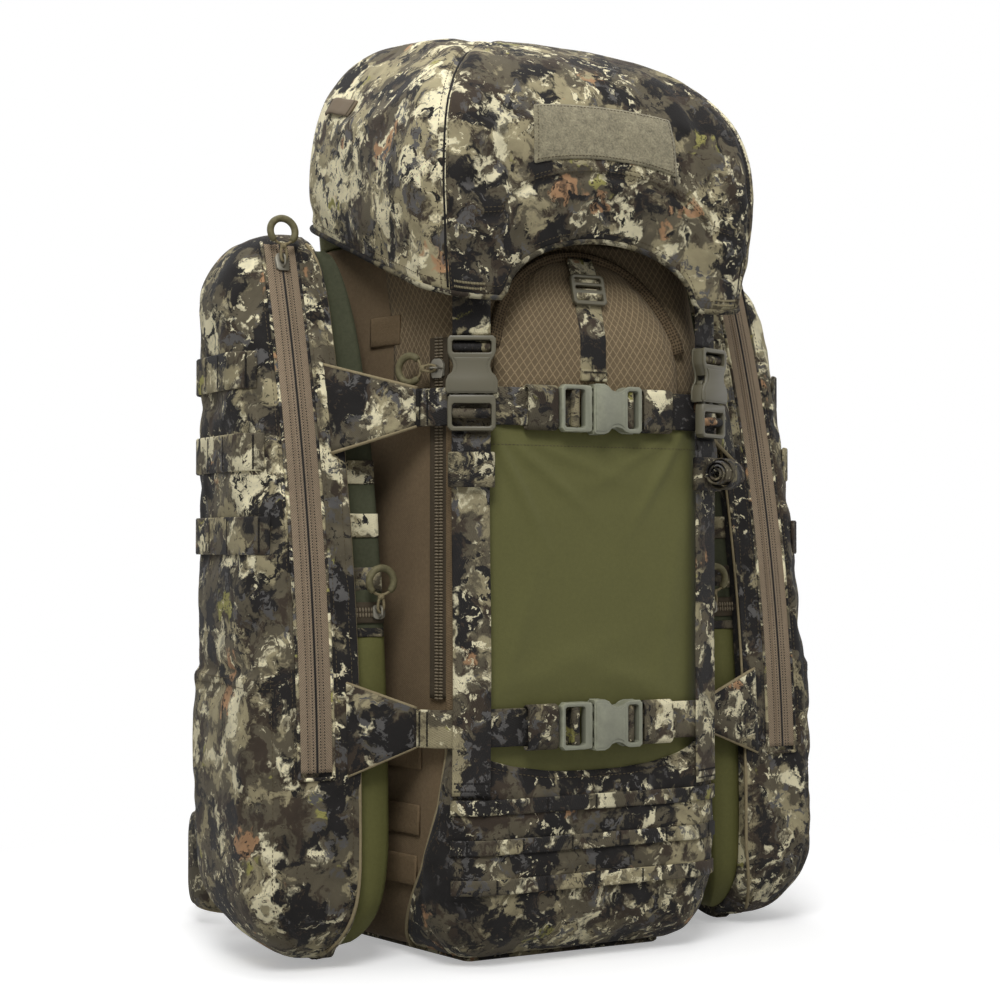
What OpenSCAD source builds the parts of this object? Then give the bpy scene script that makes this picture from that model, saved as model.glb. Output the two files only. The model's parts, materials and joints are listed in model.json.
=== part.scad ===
/* [Main bag] */
// Width of the bag across its back
bag_back_w = 256; // [240:1:270]
// Width of the bag across its front
bag_front_w = 212; // [200:1:224]
// Depth of the bag from back to front
bag_depth = 188; // [176:1:200]
// Height of the bag's rim
bag_h = 488; // [478:1:500]
// Radius of the two front corners
bag_front_r = 36; // [32:1:40]
// Radius of the two back corners
bag_back_r = 38; // [36:1:42]
// Thickness of the lined fabric wall
bag_wall = 3; // [2:0.5:4]
// How far the bag's bottom edge draws in
bag_edge = 28; // [24:1:30]
// Height over which it draws in
bag_edge_h = 72; // [60:1:80]
// Distance from the rim down to where the front starts to lean back
lean_drop = 70; // [60:1:78]
// How far back the front of the rim leans
lean_y = 20; // [16:1:26]
// Thickness of the base panel
base_t = 4; // [3:0.5:6]
// Height of the soft collar above the rim
collar_h = 30; // [24:1:34]
// Thickness of the collar
collar_t = 2; // [1.5:0.5:2.5]
// How far the collar draws in at its top
collar_in = 30; // [24:1:34]

/* [Frame] */
// Width of the frame sheet
sheet_w = 176; // [150:1:178]
// Thickness of the frame sheet
sheet_t = 2; // [1.5:0.5:3]
// Height of the frame sheet
sheet_h = 396; // [380:1:402]
// Width of each stay
stay_w = 20; // [15:1:30]
// Thickness of each stay
stay_t = 4; // [3:0.5:6]
// Distance from the middle to each stay
stay_x = 55; // [40:1:70]

/* [Front panels] */
// Thickness of the boot panel at the foot of the front
boot_t = 11; // [9:0.5:11.5]
// Height of the boot panel's foot edge
boot_foot = 5; // [4.5:0.5:8]
// Height of the boot panel's top edge
boot_top = 141; // [134:1:141]
// Height over which its padding grows from the foot
boot_round = 48; // [40:1:60]
// Angle that its top edge wraps round each corner
boot_wrap_top = 50; // [42:1:56]
// Angle that its foot edge wraps round each corner
boot_wrap_foot = 80; // [66:1:86]
// Height of the lowest row of narrow webbing
row_z = 56; // [52:1:62]
// Distance between the rows
row_step = 26; // [20:1:30]
// Width of the narrow webbing
row_w = 10; // [8:1:14]
// Number of rows
row_n = 3; // [1:1:3]
// Depth of the stretch pocket's slot
pocket_slot = 6.5; // [6:0.25:6.75]
// Thickness of the stretch fabric
pocket_t = 2; // [1.5:0.25:2]
// Height of the stretch pocket's mouth
pocket_top = 356; // [348:1:358]
// Height of the foot of the arched panel
arch_foot = 364; // [362:1:367]
// Distance from the arch's top down from the rim
arch_drop = 14; // [10:1:20]
// Half width of the arched panel
arch_half = 74; // [66:1:76]
// Thickness of the arched panel
arch_t = 8; // [5:0.5:8]

/* [Webbing] */
// Width of the main webbing
web_w = 25; // [22:1:26]
// Thickness of the main webbing
web_t = 1.8; // [1.4:0.1:1.9]
// Distance from the bag's skin to the cinch straps
cinch_off = 9; // [9:0.25:10]
// Gap between the cinch straps and the upright straps that cross them
cross_gap = 0.5; // [0.4:0.1:1]
// Height of the upper cinch strap's middle
upper_z = 370; // [368:1:372]
// Height of the lower cinch strap's middle
lower_z = 159; // [159:1:164]
// Angle of each upright strap round its corner
strap_tilt = 26; // [23:1:28]
// Height where each upright strap is sewn to the boot panel
strap_foot = 116; // [108:1:128]
// Width of the short centre strap
centre_w = 20; // [16:1:22]
// Distance from a lid buckle's split line down to the middle of its strap's keeper
keeper_drop = 49; // [43:1:55]
// Thickness of a keeper above its webbing
keeper_t = 4; // [3:0.5:4.5]

/* [Buckles] */
// Width of a buckle
buckle_w = 34; // [33:0.5:35]
// Length of the female half
female_l = 38; // [37:0.5:40]
// Thickness of the female half
female_t = 10.6; // [10.6:0.1:11.5]
// Length of the male half's frame
male_l = 24; // [23:0.5:25]
// Length of the prongs
prong_l = 15.5; // [14:0.5:16]
// Thickness of the prongs
prong_t = 4.4; // [4:0.1:4.6]
// Room round the prongs inside the female half
prong_room = 1.5; // [1.4:0.1:1.5]
// Radius of a buckle's bars
bar_r = 2; // [1.6:0.1:2.1]
// Place of the cinch buckles' split line across the front
split_x = -5; // [-7:0.5:-3]
// Length of a keeper along its webbing
keeper_l = 23; // [18:0.5:23]

/* [Lid] */
// Width of the lid across its back
lid_back_w = 261; // [256:1:264]
// Width of the lid across its front
lid_front_w = 250; // [248:1:256]
// How far the lid stands out in front of the bag
lid_over = 21; // [20:0.5:24]
// Height of the crown above the bag's rim, at the back of the lid
lid_crown = 152; // [144:1:158]
// Fall of the lid's top from its crown to its front
lid_fall = 27; // [20:1:34]
// Drop of the lid's front flaps below the bag's rim
lid_front_drop = 49; // [47:0.5:52]
// Rise of the lid's back rim above the bag's rim
lid_back_rise = 28; // [24:1:32]
// Rise of the arch cut in the front flap
lid_arch = 42; // [36:1:48]
// Half width of that arch
lid_arch_half = 74; // [66:1:74]
// Thickness of the padded lid wall
lid_wall = 7; // [6:0.5:7]
// Height of the hollow under the lid above the bag's rim
lid_hollow = 66; // [58:1:72]
// Radius of the lid's front corners
lid_front_r = 33; // [32:1:36]
// Radius of the lid's back corners
lid_back_r = 36; // [30:1:42]
// Drop of the hinge line below the bag's rim
hinge_drop = 72; // [70:0.5:74]
// Width of the hinge straps
hinge_w = 20; // [16:1:24]
// Distance from the middle to each hinge strap
hinge_x = 96; // [92:1:98]
// Width of the loop patch
patch_w = 105; // [80:1:110]
// Thickness of the loop patch
patch_t = 2; // [1.5:0.25:3]

/* [Pods] */
// Width of a pod beside its gusset
pod_w = 68; // [64:1:72]
// Extra width of the pod's lower pocket
pod_swell = 3; // [2:1:6]
// Height of the lower pocket's mouth
pod_pocket_z = 195; // [183:1:208]
// Width of the olive gusset
gusset_w = 24; // [22:1:26]
// How far the gusset lies behind the pod's front
gusset_back = 9; // [8:1:12]
// Height of the pod's foot
pod_foot = 3; // [1:0.5:10]
// Height of the pod's top
pod_top = 495; // [492:1:499]
// Place of the pod's back face
pod_back_y = 80; // [76:1:84]
// Front of the pod where it stands furthest forward
pod_front_y = -63; // [-65:0.5:-61]
// Height where the pod stands furthest forward
pod_front_z = 84; // [78:1:92]
// Radius of the front's sweep
sweep_r = 1180; // [1140:10:1240]
// Radius of the pod's upright edges
pod_edge_r = 26; // [20:1:30]
// Height of a pod webbing row
pod_row_z = 285; // [278:1:292]
// Distance between the pod's webbing rows
pod_row_step = 55; // [50:1:57]
// Number of webbing rows on each pod
pod_row_n = 3; // [1:1:3]
// Height of a strap tab where it meets the pod
tab_h = 60; // [50:1:66]
// Thickness of a strap tab
tab_t = 2.4; // [2:0.1:3]

/* [Zips] */
// Width of the pod zip's tape
tape_w = 30; // [26:1:32]
// Thickness of zip tape
tape_t = 1.2; // [1:0.1:1.6]
// Width of the closed teeth
teeth_w = 6; // [5:0.25:6.5]
// Height of the closed teeth above the tape
teeth_t = 1.4; // [1.2:0.1:1.6]
// Height of the pod zip's lower end
pod_zip_foot = 132; // [124:1:138]
// Height of the pod zip's upper end
pod_zip_top = 482; // [476:1:484]
// Length of a zip slider
slider_l = 13; // [12:0.5:15]
// Width of a zip slider
slider_w = 10; // [9.5:0.5:12]
// Radius of the ring on a zip pull
ring_r = 9; // [8:0.5:10]
// Thickness of that ring
ring_t = 2.8; // [2.6:0.1:3]
// Angle of each side zip round its corner
side_zip_angle = 60; // [58:1:62]
// Width of the side zip's tape
side_tape_w = 15; // [14:0.5:16]
// Height of the side zip's lower end
side_zip_foot = 178; // [176:1:184]
// Height of the side zip's upper end
side_zip_top = 416; // [412:1:418]
// Height of the inner pocket's zip
inner_zip_z = 234; // [226:1:242]
// Width of the inner pocket zip's tape
inner_tape_w = 14; // [12:0.5:16]

/* [Harness] */
// Thickness of the back pads
pad_t = 14; // [10:1:18]
// Width of a shoulder strap
shoulder_w = 62; // [56:1:66]
// Thickness of a shoulder strap
shoulder_t = 11; // [9:0.5:13]
// How far a shoulder strap stands out behind the back
shoulder_bow = 58; // [52:1:62]
// Distance from the rim down to the shoulder straps' upper ends
shoulder_drop = 50; // [46:1:54]
// Width of the harness webbing
harness_web_w = 20; // [16:1:24]
// Height of a belt wing at its root
wing_root_h = 86; // [76:1:88]
// Height of a belt wing at its tip
wing_tip_h = 66; // [56:1:70]
// Thickness of a belt wing
wing_t = 14; // [10:1:16]
// Height of the belt's middle
wing_z = 48; // [46:1:54]
// Radius of a belt wing's hinge seam
wing_seam_r = 5; // [4:0.5:6]
// Distance from the middle to each hinge seam
wing_x = 100; // [96:1:102]

/* [Hidden] */

// Clearance between pieces that rest on each other
seat = 0.3;
// Overshoot of a cut past the face that it opens
cut = 1;
LEFT = -1;
RIGHT = 1;
SIDES = [LEFT, RIGHT];

CAMO = "#6d6656";
BROWN = "#5f503d";
OLIVE = "#55572f";
PLASTIC = "#5d5a49";
TAPE = "#6f604d";
METAL = "#8b8b86";

bag_back_y = bag_depth / 2;
bag_front_y = -bag_depth / 2;
lean_z = bag_h - lean_drop;
shoulder_z = bag_h - shoulder_drop;
corner_x = bag_front_w / 2 - bag_front_r;
corner_y = bag_front_y + bag_front_r;
strap_off = cinch_off + web_t + cross_gap;

// Points and surfaces

function mix(a, b, t) = a + (b - a) * t;
function clamp(t) = min(1, max(0, t));
function at(points, z) = [for (p = points) [p.x, p.y, z]];
function arc(c, r, a0, a1, n) =
    [for (i = [0:n]) let (a = mix(a0, a1, i / n)) c + r * [cos(a), sin(a)]];
function between(p, q, n) = n < 2 ? [] : [for (i = [1:n - 1]) mix(p, q, i / n)];

// Angle of the right side's normal, where the side touches both corner circles
function side_angle(cb, cf, rb, rf) =
    let (d = cf - cb) atan2(d.y, d.x) + acos((rb - rf) / norm(d));

// Rounded plan, wider or narrower at the front, grown by off. It runs from the right side
// round the back and the left side to the front. n holds the steps on a corner, a side,
// the back and the front.
function plan(bw, fw, by, fy, br, fr, off, n) =
    let (
        cb = [bw / 2 - br, by - br],
        cf = [fw / 2 - fr, fy + fr],
        a = side_angle(cb, cf, br, fr),
        flip = [-1, 1],
        right_back = arc(cb, br + off, a, 90, n[0]),
        left_back = arc([-cb.x, cb.y], br + off, 90, 180 - a, n[0]),
        left_front = arc([-cf.x, cf.y], fr + off, 180 - a, 270, n[0]),
        right_front = arc(cf, fr + off, 270, 360 + a, n[0])
    )
    concat(
        right_back, between(right_back[n[0]], left_back[0], n[2]),
        left_back, between(left_back[n[0]], left_front[0], n[1]),
        left_front, between(left_front[n[0]], right_front[0], n[3]),
        right_front, between(right_front[n[0]], right_back[0], n[1])
    );

// Front of the bag at a height, and the skin at a place across the front
function front_y(z) = bag_front_y + lean_y * max(0, (z - lean_z) / (bag_h - lean_z));
function skin_y(x, off, z) =
    let (r = bag_front_r + off, over = max(0, abs(x) - corner_x))
    front_y(z) - off + r - sqrt(r * r - over * over);
function bag_plan(off, z) =
    plan(bag_back_w, bag_front_w, bag_back_y, front_y(z), bag_back_r, bag_front_r, off, [6, 1, 1, 1]);
// How far the bottom edge draws the skin in at a height
function bag_draw(z) =
    let (t = clamp((z - base_t) / bag_edge_h)) -bag_edge * (1 - sqrt(1 - pow(1 - t, 2)));
function bag_ring(z, off) = at(bag_plan(off + bag_draw(z), z), z);
edge_levels = [0.03, 0.1, 0.22, 0.42, 0.7, 1];
function edge_z(t) = base_t + t * bag_edge_h;

// Path round the front of the bag, from one wrapped end to the other
function wrap_path(off, wrap, z) =
    let (c = [corner_x, front_y(z) + bag_front_r], r = bag_front_r + off)
    at(concat(arc([-c.x, c.y], r, 270 - wrap, 270, 6), arc(c, r, 270, 270 + wrap, 6)), z);

// Solid through a stack of closed rings, with flat ends
module loft(rings) {
    n = len(rings[0]);
    last = len(rings) - 1;
    sides = [for (i = [0:last - 1], j = [0:n - 1])
        let (a = i * n + j, b = i * n + (j + 1) % n, c = b + n, d = a + n)
        each [[a, c, b], [a, d, c]]];
    foot = [for (j = [0:n - 1]) j];
    head = [for (j = [n - 1:-1:0]) last * n + j];
    polyhedron(points = [for (r = rings) each r], faces = concat(sides, [foot, head]), convexity = 6);
}

// Solid ring through closed rings, whose last ring joins the first
module tube(rings) {
    n = len(rings[0]);
    m = len(rings);
    faces = [for (i = [0:m - 1], j = [0:n - 1])
        let (i2 = (i + 1) % m, j2 = (j + 1) % n,
             a = i * n + j, b = i * n + j2, c = i2 * n + j2, d = i2 * n + j)
        each [[a, c, b], [a, d, c]]];
    polyhedron(points = [for (r = rings) each r], faces = faces, convexity = 6);
}

// Solid sheet between an outer and an inner grid of points
module sheet(outer, inner) {
    m = len(outer);
    k = len(outer[0]);
    o = m * k;
    faces = concat(
        [for (i = [0:m - 2], j = [0:k - 2])
            let (a = i * k + j, b = a + 1, c = b + k, d = a + k)
            each [[a, c, b], [a, d, c], [o + a, o + b, o + c], [o + a, o + c, o + d]]],
        [for (j = [0:k - 2]) let (a = j, b = j + 1) each [[a, b, o + b], [a, o + b, o + a]]],
        [for (j = [0:k - 2])
            let (d = (m - 1) * k + j, c = d + 1) each [[c, d, o + d], [c, o + d, o + c]]],
        [for (i = [0:m - 2])
            let (a = i * k, d = a + k) each [[d, a, o + a], [d, o + a, o + d]]],
        [for (i = [0:m - 2])
            let (b = i * k + k - 1, c = b + k) each [[b, c, o + c], [b, o + c, o + b]]]
    );
    points = concat([for (r = outer) each r], [for (r = inner) each r]);
    polyhedron(points = points, faces = faces, convexity = 6);
}

module on_side(side) {
    mirror([side == LEFT ? 1 : 0, 0, 0]) children();
}

module box(lo, hi) {
    translate(lo) cube(hi - lo);
}

// Main bag

module main_bag() {
    floor_z = base_t + bag_wall;
    floor_in = 0.75;
    outside = [for (t = concat([0], edge_levels)) bag_ring(edge_z(t), 0)];
    walls = [for (off = [0, -bag_wall], z = off == 0 ? [lean_z, bag_h] : [bag_h, lean_z]) bag_ring(z, off)];
    inside = [for (t = [1, 0.7, 0.42, 0.22]) bag_ring(edge_z(t), -bag_wall)];
    floor = at(bag_plan(-bag_wall - floor_in * bag_edge, floor_z), floor_z);
    color(BROWN) loft(concat(outside, walls, inside, [floor]));
}

module base_panel() {
    color(CAMO) linear_extrude(base_t) polygon(bag_plan(-bag_edge, base_t));
}

module collar() {
    turn_h = 3;
    turn_in = 7;
    top = bag_h + collar_h;
    seam_in = bag_wall / 2 - collar_t / 2;
    color(OLIVE) tube([
        bag_ring(bag_h + seat, -seam_in),
        bag_ring(bag_h + turn_h, -turn_in),
        bag_ring(top, -collar_in),
        bag_ring(top, -collar_in - collar_t),
        bag_ring(bag_h + turn_h, -turn_in - collar_t),
        bag_ring(bag_h + seat, -seam_in - collar_t)
    ]);
}

sheet_front = bag_back_y - bag_wall - seat - sheet_t;
sheet_foot = base_t + bag_edge_h + bag_wall;

module frame_sheet() {
    color("#2b2b2b")
        translate([-sheet_w / 2, sheet_front, sheet_foot]) cube([sheet_w, sheet_t, sheet_h]);
}

module frame_stays() {
    back = sheet_front;
    color(METAL) for (side = SIDES)
        translate([side * stay_x - stay_w / 2, back - stay_t, sheet_foot]) cube([stay_w, stay_t, sheet_h]);
}

// Front panels

boot_rim = 1.2;
// Outer skin of the padded boot panel at a height
function boot_off(z) =
    let (t = clamp((z - boot_foot) / boot_round))
    bag_draw(z) + mix(seat + boot_rim, boot_t, sqrt(1 - pow(1 - t, 2)));
function boot_wrap(z) = mix(boot_wrap_foot, boot_wrap_top, clamp((z - boot_foot) / (boot_top - boot_foot)));
function boot_zs() =
    concat([boot_foot], [for (t = edge_levels) edge_z(t)], [mix(edge_z(1), boot_top, 0.5), boot_top]);

module boot_panel() {
    outer = [for (z = boot_zs()) wrap_path(boot_off(z), boot_wrap(z), z)];
    inner = [for (z = boot_zs()) wrap_path(bag_draw(z) + seat, boot_wrap(z), z)];
    color(CAMO) sheet(outer, inner);
}

module boot_webbing() {
    wrap = boot_wrap_top - 8;
    color(CAMO) for (i = [0:row_n - 1]) {
        z0 = row_z - row_w / 2 + i * row_step;
        zs = [z0, z0 + row_w / 2, z0 + row_w];
        sheet([for (z = zs) wrap_path(boot_off(z) + seat + web_t, wrap, z)],
              [for (z = zs) wrap_path(boot_off(z) + seat, wrap, z)]);
    }
}

module stretch_pocket() {
    foot = boot_top + seat;
    front = bag_front_y - pocket_slot - pocket_t;
    back = bag_front_y - seat;
    color(OLIVE) {
        box([-corner_x, front, foot], [corner_x, front + pocket_t, pocket_top]);
        box([-corner_x, front, foot], [corner_x, back, foot + pocket_t]);
        for (x = [-corner_x, corner_x - pocket_t])
            box([x, front, foot], [x + pocket_t, back, pocket_top]);
    }
}

arch_top = bag_h - arch_drop;
function arch_w(z) =
    let (t = (z - arch_foot) / (arch_top - arch_foot)) arch_half * max(0.12, pow(1 - pow(t, 2.6), 0.5));
function arch_point(z, u, off) = let (x = u * arch_w(z)) [x, skin_y(x, off, z), z];
function arch_swell(z, u) =
    let (t = (z - arch_foot) / (arch_top - arch_foot)) 1 - 0.7 * max(pow(abs(u), 6), pow(t, 5));

module arch_panel() {
    zs = [for (i = [0:10]) mix(arch_foot, arch_top, i / 10)];
    us = [for (j = [0:14]) mix(-1, 1, j / 14)];
    outer = [for (z = zs) [for (u = us) arch_point(z, u, seat + (arch_t - seat) * arch_swell(z, u))]];
    inner = [for (z = zs) [for (u = us) arch_point(z, u, seat)]];
    color(BROWN) sheet(outer, inner);
}

// Webbing and buckles. A buckle's own frame has its width along X, its mating way along +Y
// from the split line at Y 0, and its outward side along +Z, with its back plane at Z 0.

web_lift = 0.4;
male_z = web_lift + web_t + 0.5;
female_back = male_z - prong_room;
prong_out = buckle_w / 2 - 4;
cavity_w = 2 * (prong_out + 0.8);
cavity_l = prong_l + 2.5;
female_arm = 3.4;
female_bar_y = female_l - bar_r;
female_slot = 2 * bar_r + 6.6;
eye_wall = 1.6;
eye_r = bar_r + seat;
eye_out = eye_r + eye_wall;
female_bar_z = female_t / 2;
male_top = male_z + 6.7;
male_bar_y = -male_l / 2 - 0.5;
male_bar_z = male_z + 3.5;
male_rail = 3;
male_block = 6;

module female_plan() {
    w = buckle_w / 2;
    waist = w - 5;
    right = [[w, 0], [w, 0.28 * female_l], [waist, 0.4 * female_l], [waist, 0.58 * female_l],
             [w, 0.68 * female_l], [w, female_l]];
    polygon(concat(right, [for (i = [len(right) - 1:-1:0]) [-right[i].x, right[i].y]]));
}

module crossbar(w, y, z) {
    translate([-w / 2, y, z]) rotate([0, 90, 0]) cylinder(h = w, r = bar_r, $fn = 32);
}

module buckle_female() {
    slot_w = buckle_w - 2 * female_arm;
    color(PLASTIC) {
        difference() {
            linear_extrude(female_t) female_plan();
            box([-cavity_w / 2, -cut, female_back],
                [cavity_w / 2, cavity_l, female_back + prong_t + 2 * prong_room]);
            box([-slot_w / 2, female_l - female_slot, -cut], [slot_w / 2, female_l + cut, female_t + cut]);
        }
        crossbar(slot_w + 2, female_bar_y, female_bar_z);
    }
}

module buckle_male() {
    w = buckle_w / 2;
    slot_w = buckle_w - 2 * female_arm;
    arm_w = 3.8;
    color(PLASTIC) {
        difference() {
            box([-w, -male_l, male_z], [w, 0, male_top]);
            box([-slot_w / 2, -male_l + male_rail, male_z - cut],
                [slot_w / 2, -male_block, male_top + cut]);
        }
        crossbar(slot_w + 2, male_bar_y, male_bar_z);
        for (side = SIDES) on_side(side)
            box([prong_out - arm_w, -cut, male_z], [prong_out, prong_l, male_z + prong_t]);
        box([-2.5, -cut, male_z], [2.5, prong_l - 2, male_z + prong_t]);
    }
}

// Webbing that wraps a male half's bar, drawn across the buckle's width
module bar_fold(w) {
    leg = male_bar_z - male_z - seat;
    translate([-w / 2, male_bar_y, male_bar_z]) rotate([90, 0, 90]) linear_extrude(w) difference() {
        union() {
            circle(r = eye_out, $fn = 48);
            translate([-eye_out, -leg]) square([2 * eye_out, leg]);
        }
        circle(r = eye_r, $fn = 48);
        translate([-eye_r, -male_bar_z]) square([2 * eye_r, male_bar_z]);
    }
}

// Keeper that rides over its webbing, from y0 to y1 along it
module keeper(w, y0, y1) {
    inner = w / 2 + seat;
    wall = 1.8;
    base = web_lift + web_t + seat;
    difference() {
        box([-inner - wall, y0, web_lift], [inner + wall, y1, base + keeper_t]);
        box([-inner, y0 - cut, web_lift - cut], [inner, y1 + cut, base]);
    }
}

// Frame of the upright strap on one corner, with its outward side along -Y
module at_strap(side) {
    on_side(side) translate([corner_x, corner_y, 0]) rotate([0, 0, strap_tilt])
        translate([0, -bag_front_r, 0]) children();
}
module at_strap_buckle(side, z) {
    at_strap(side) translate([0, -strap_off + web_lift, z]) rotate([90, 0, 0]) children();
}
module at_cinch_buckle(z) {
    translate([split_x, bag_front_y - cinch_off + web_lift, z])
        rotate([90, 0, 0]) rotate([0, 0, -90]) children();
}

flap_z = bag_h - lid_front_drop;
lid_pin_z = flap_z + 4;
split_z = flap_z - 62;
keeper_z = split_z - keeper_drop;

module centre_strap() {
    near = arch_t + seat;
    zs = [upper_z + buckle_w / 2 + 1.5, lean_z, lean_z + 32];
    xs = [-centre_w / 2, centre_w / 2];
    sheet([for (z = zs) [for (x = xs) [x, skin_y(x, near + web_t, z), z]]],
          [for (z = zs) [for (x = xs) [x, skin_y(x, near, z), z]]]);
}

module front_straps() {
    color(CAMO) {
        for (side = SIDES) at_strap(side)
            box([-web_w / 2, -strap_off - web_t, strap_foot],
                [web_w / 2, -strap_off, split_z - male_l + male_rail + 5]);
        centre_strap();
    }
}

module strap_keepers() {
    right_keeper = female_l + 3.5;
    color(CAMO) {
        for (side = SIDES) at_strap_buckle(side, keeper_z) keeper(web_w, -keeper_l / 2, keeper_l / 2);
        for (z = [upper_z, lower_z])
            at_cinch_buckle(z) keeper(web_w, right_keeper, right_keeper + keeper_l);
    }
}

module centre_ladder_lock() {
    h = 22;
    t = 4.5;
    frame_w = centre_w + 6;
    lean = atan(lean_y / (bag_h - lean_z));
    near = arch_t + web_t + 2 * seat;
    z0 = lean_z + 22;
    color(PLASTIC) translate([0, skin_y(0, near, z0), z0]) rotate([-lean, 0, 0]) difference() {
        box([-frame_w / 2, -t, 0], [frame_w / 2, 0, h]);
        for (z = [4, 12.5]) box([-centre_w / 2, -t - cut, z], [centre_w / 2, cut, z + 5.5]);
    }
}

module lid_buckle_males() {
    for (side = SIDES) at_strap_buckle(side, split_z) {
        buckle_male();
        color(CAMO) bar_fold(web_w);
    }
}

// Cinch strap from a place across the front to its end beside the pod's tab
tail_angle = 60;
tail_l = 12;
function tail_end(off) =
    [corner_x, corner_y] + (bag_front_r + off) * [sin(tail_angle), -cos(tail_angle)]
    + tail_l * [cos(tail_angle), sin(tail_angle)];

module cinch_strap(x0, z) {
    far = cinch_off + web_t;
    c = [corner_x, corner_y];
    outer = concat([[x0, bag_front_y - far]], arc(c, bag_front_r + far, 270, 270 + tail_angle, 8),
                   [tail_end(far)]);
    inner = concat([tail_end(cinch_off)], arc(c, bag_front_r + cinch_off, 270 + tail_angle, 270, 8),
                   [[x0, bag_front_y - cinch_off]]);
    translate([0, 0, z - web_w / 2]) linear_extrude(web_w) polygon(concat(outer, inner));
}

// Side view of the webbing at the female half's bar
module at_female_bar() {
    translate([-web_w / 2, female_bar_y, female_bar_z]) rotate([90, 0, 90]) children();
}

// Loop of the right strap round the female half's bar
module female_eye() {
    reach = 5;
    at_female_bar() linear_extrude(web_w) difference() {
        union() {
            circle(r = eye_out, $fn = 48);
            translate([0, -eye_out]) square([reach, eye_out - eye_r]);
        }
        circle(r = eye_r, $fn = 48);
    }
}

module cinch_straps() {
    male_end = -split_x + male_l - male_rail - 6;
    female_end = split_x + female_bar_y + eye_out + 1;
    color(CAMO) for (z = [upper_z, lower_z]) {
        on_side(LEFT) cinch_strap(male_end, z);
        cinch_strap(female_end, z);
        at_cinch_buckle(z) {
            female_eye();
            box([-web_w / 2, female_bar_y + 4, web_lift],
                [web_w / 2, female_bar_y + eye_out + 1, female_bar_z - eye_r]);
        }
    }
}

module cinch_tail(z) {
    y1 = -male_l - 1.5;
    color(CAMO) at_cinch_buckle(z) {
        keeper(web_w, y1 - keeper_l, y1);
        bar_fold(web_w);
        box([-web_w / 2, y1 - 1, male_top + seat], [web_w / 2, male_bar_y + 2, male_top + seat + web_t]);
        box([-web_w / 2, y1 - 2, web_lift + web_t + seat + keeper_t - 1],
            [web_w / 2, y1, male_top + seat + web_t]);
        box([-web_w / 2, male_bar_y - 1, male_bar_z + eye_r],
            [web_w / 2, male_bar_y + 1, male_top + seat + 1]);
    }
}

module upper_buckle_female() { at_cinch_buckle(upper_z) buckle_female(); }
module lower_buckle_female() { at_cinch_buckle(lower_z) buckle_female(); }
module upper_buckle_male() { at_cinch_buckle(upper_z) buckle_male(); }
module lower_buckle_male() { at_cinch_buckle(lower_z) buckle_male(); }
module upper_tail() { cinch_tail(upper_z); }
module lower_tail() { cinch_tail(lower_z); }

// Zips. A slider's own frame has the tape's outward side along +Z and the zip along Y.

pin_r = 0.9;
pin_lift = 2.3;
slider_plate = 1.3;
slider_top = teeth_t + seat + slider_plate;
pin_z = slider_top + pin_lift;
pull_eye_r = 1.95;
pull_w = 3.4;
pull_stem = 9;

// Body of a slider, l long, with the channel that rides on the teeth
module slider_body(l) {
    difference() {
        box([-slider_w / 2, -l / 2, seat], [slider_w / 2, l / 2, slider_top]);
        box([-teeth_w / 2 - seat, -l / 2 - cut, -cut], [teeth_w / 2 + seat, l / 2 + cut, teeth_t + seat]);
    }
}

// Posts and pin that carry a pull, with the pin along X
module slider_bail() {
    post_w = 1.6;
    post_in = pull_w / 2 + seat;
    for (side = SIDES) on_side(side)
        box([post_in, -pin_r - 1, slider_top - 0.5], [post_in + post_w, pin_r + 1, pin_z + pin_r + 0.4]);
    translate([0, 0, pin_z]) rotate([0, 90, 0])
        cylinder(h = 2 * post_in + 2, r = pin_r, center = true, $fn = 32);
}

// Slider whose pull lies along the zip, and one whose pull lies across it
module zip_slider() {
    color(METAL) {
        slider_body(slider_l);
        slider_bail();
    }
}
module cross_slider(l) {
    color(METAL) {
        slider_body(l);
        rotate([0, 0, -90]) slider_bail();
    }
}

// Pull with its eye on the slider's pin and its ring along +Y, raised by an angle
module zip_pull(rise) {
    y_ring = pull_eye_r + pull_stem + ring_r;
    stem_t = ring_t - 0.8;
    color(TAPE) translate([0, 0, pin_z]) rotate([rise, 0, 0]) {
        difference() {
            union() {
                rotate([0, 90, 0]) cylinder(h = pull_w, r = pull_eye_r, center = true, $fn = 48);
                box([-pull_w / 2, 0, -stem_t / 2], [pull_w / 2, y_ring - ring_r, stem_t / 2]);
            }
            rotate([0, 90, 0]) cylinder(h = 2 * pull_w, r = pin_r + seat, center = true, $fn = 48);
        }
        translate([0, y_ring, 0]) rotate_extrude($fn = 48)
            translate([ring_r, 0]) circle(d = ring_t, $fn = 24);
    }
}

// Tape with its closed teeth, straight along Y from y0 to y1
module straight_zip(w, y0, y1) {
    color(TAPE) {
        box([-w / 2, y0, -tape_t], [w / 2, y1, 0]);
        box([-teeth_w / 2, y0, -tape_t / 2], [teeth_w / 2, y1, teeth_t]);
    }
}

module at_side_zip(side, z) {
    on_side(side) translate([corner_x, corner_y, z]) rotate([0, 0, side_zip_angle])
        translate([0, -bag_front_r - seat - tape_t, 0]) rotate([90, 0, 0]) children();
}
side_slider_z = upper_z + web_w / 2 + slider_l;

module side_zips() {
    for (side = SIDES) at_side_zip(side, 0) straight_zip(side_tape_w, side_zip_foot, side_zip_top);
}
module side_slider(side) { at_side_zip(side, side_slider_z) cross_slider(slider_l); }
module side_pull(side) { at_side_zip(side, side_slider_z) rotate([0, 0, -90]) zip_pull(0); }

// Pods

gusset_in = bag_back_w / 2 + seat;
gusset_out = gusset_in + gusset_w;
pod_in = gusset_out + seat;
zip_x = pod_in + tape_w / 2 + 16;
sweep_y = pod_front_y + sweep_r;
zip_r = sweep_r + seat;

function pod_y(z) = sweep_y - sqrt(sweep_r * sweep_r - pow(z - pod_front_z, 2));
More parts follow.
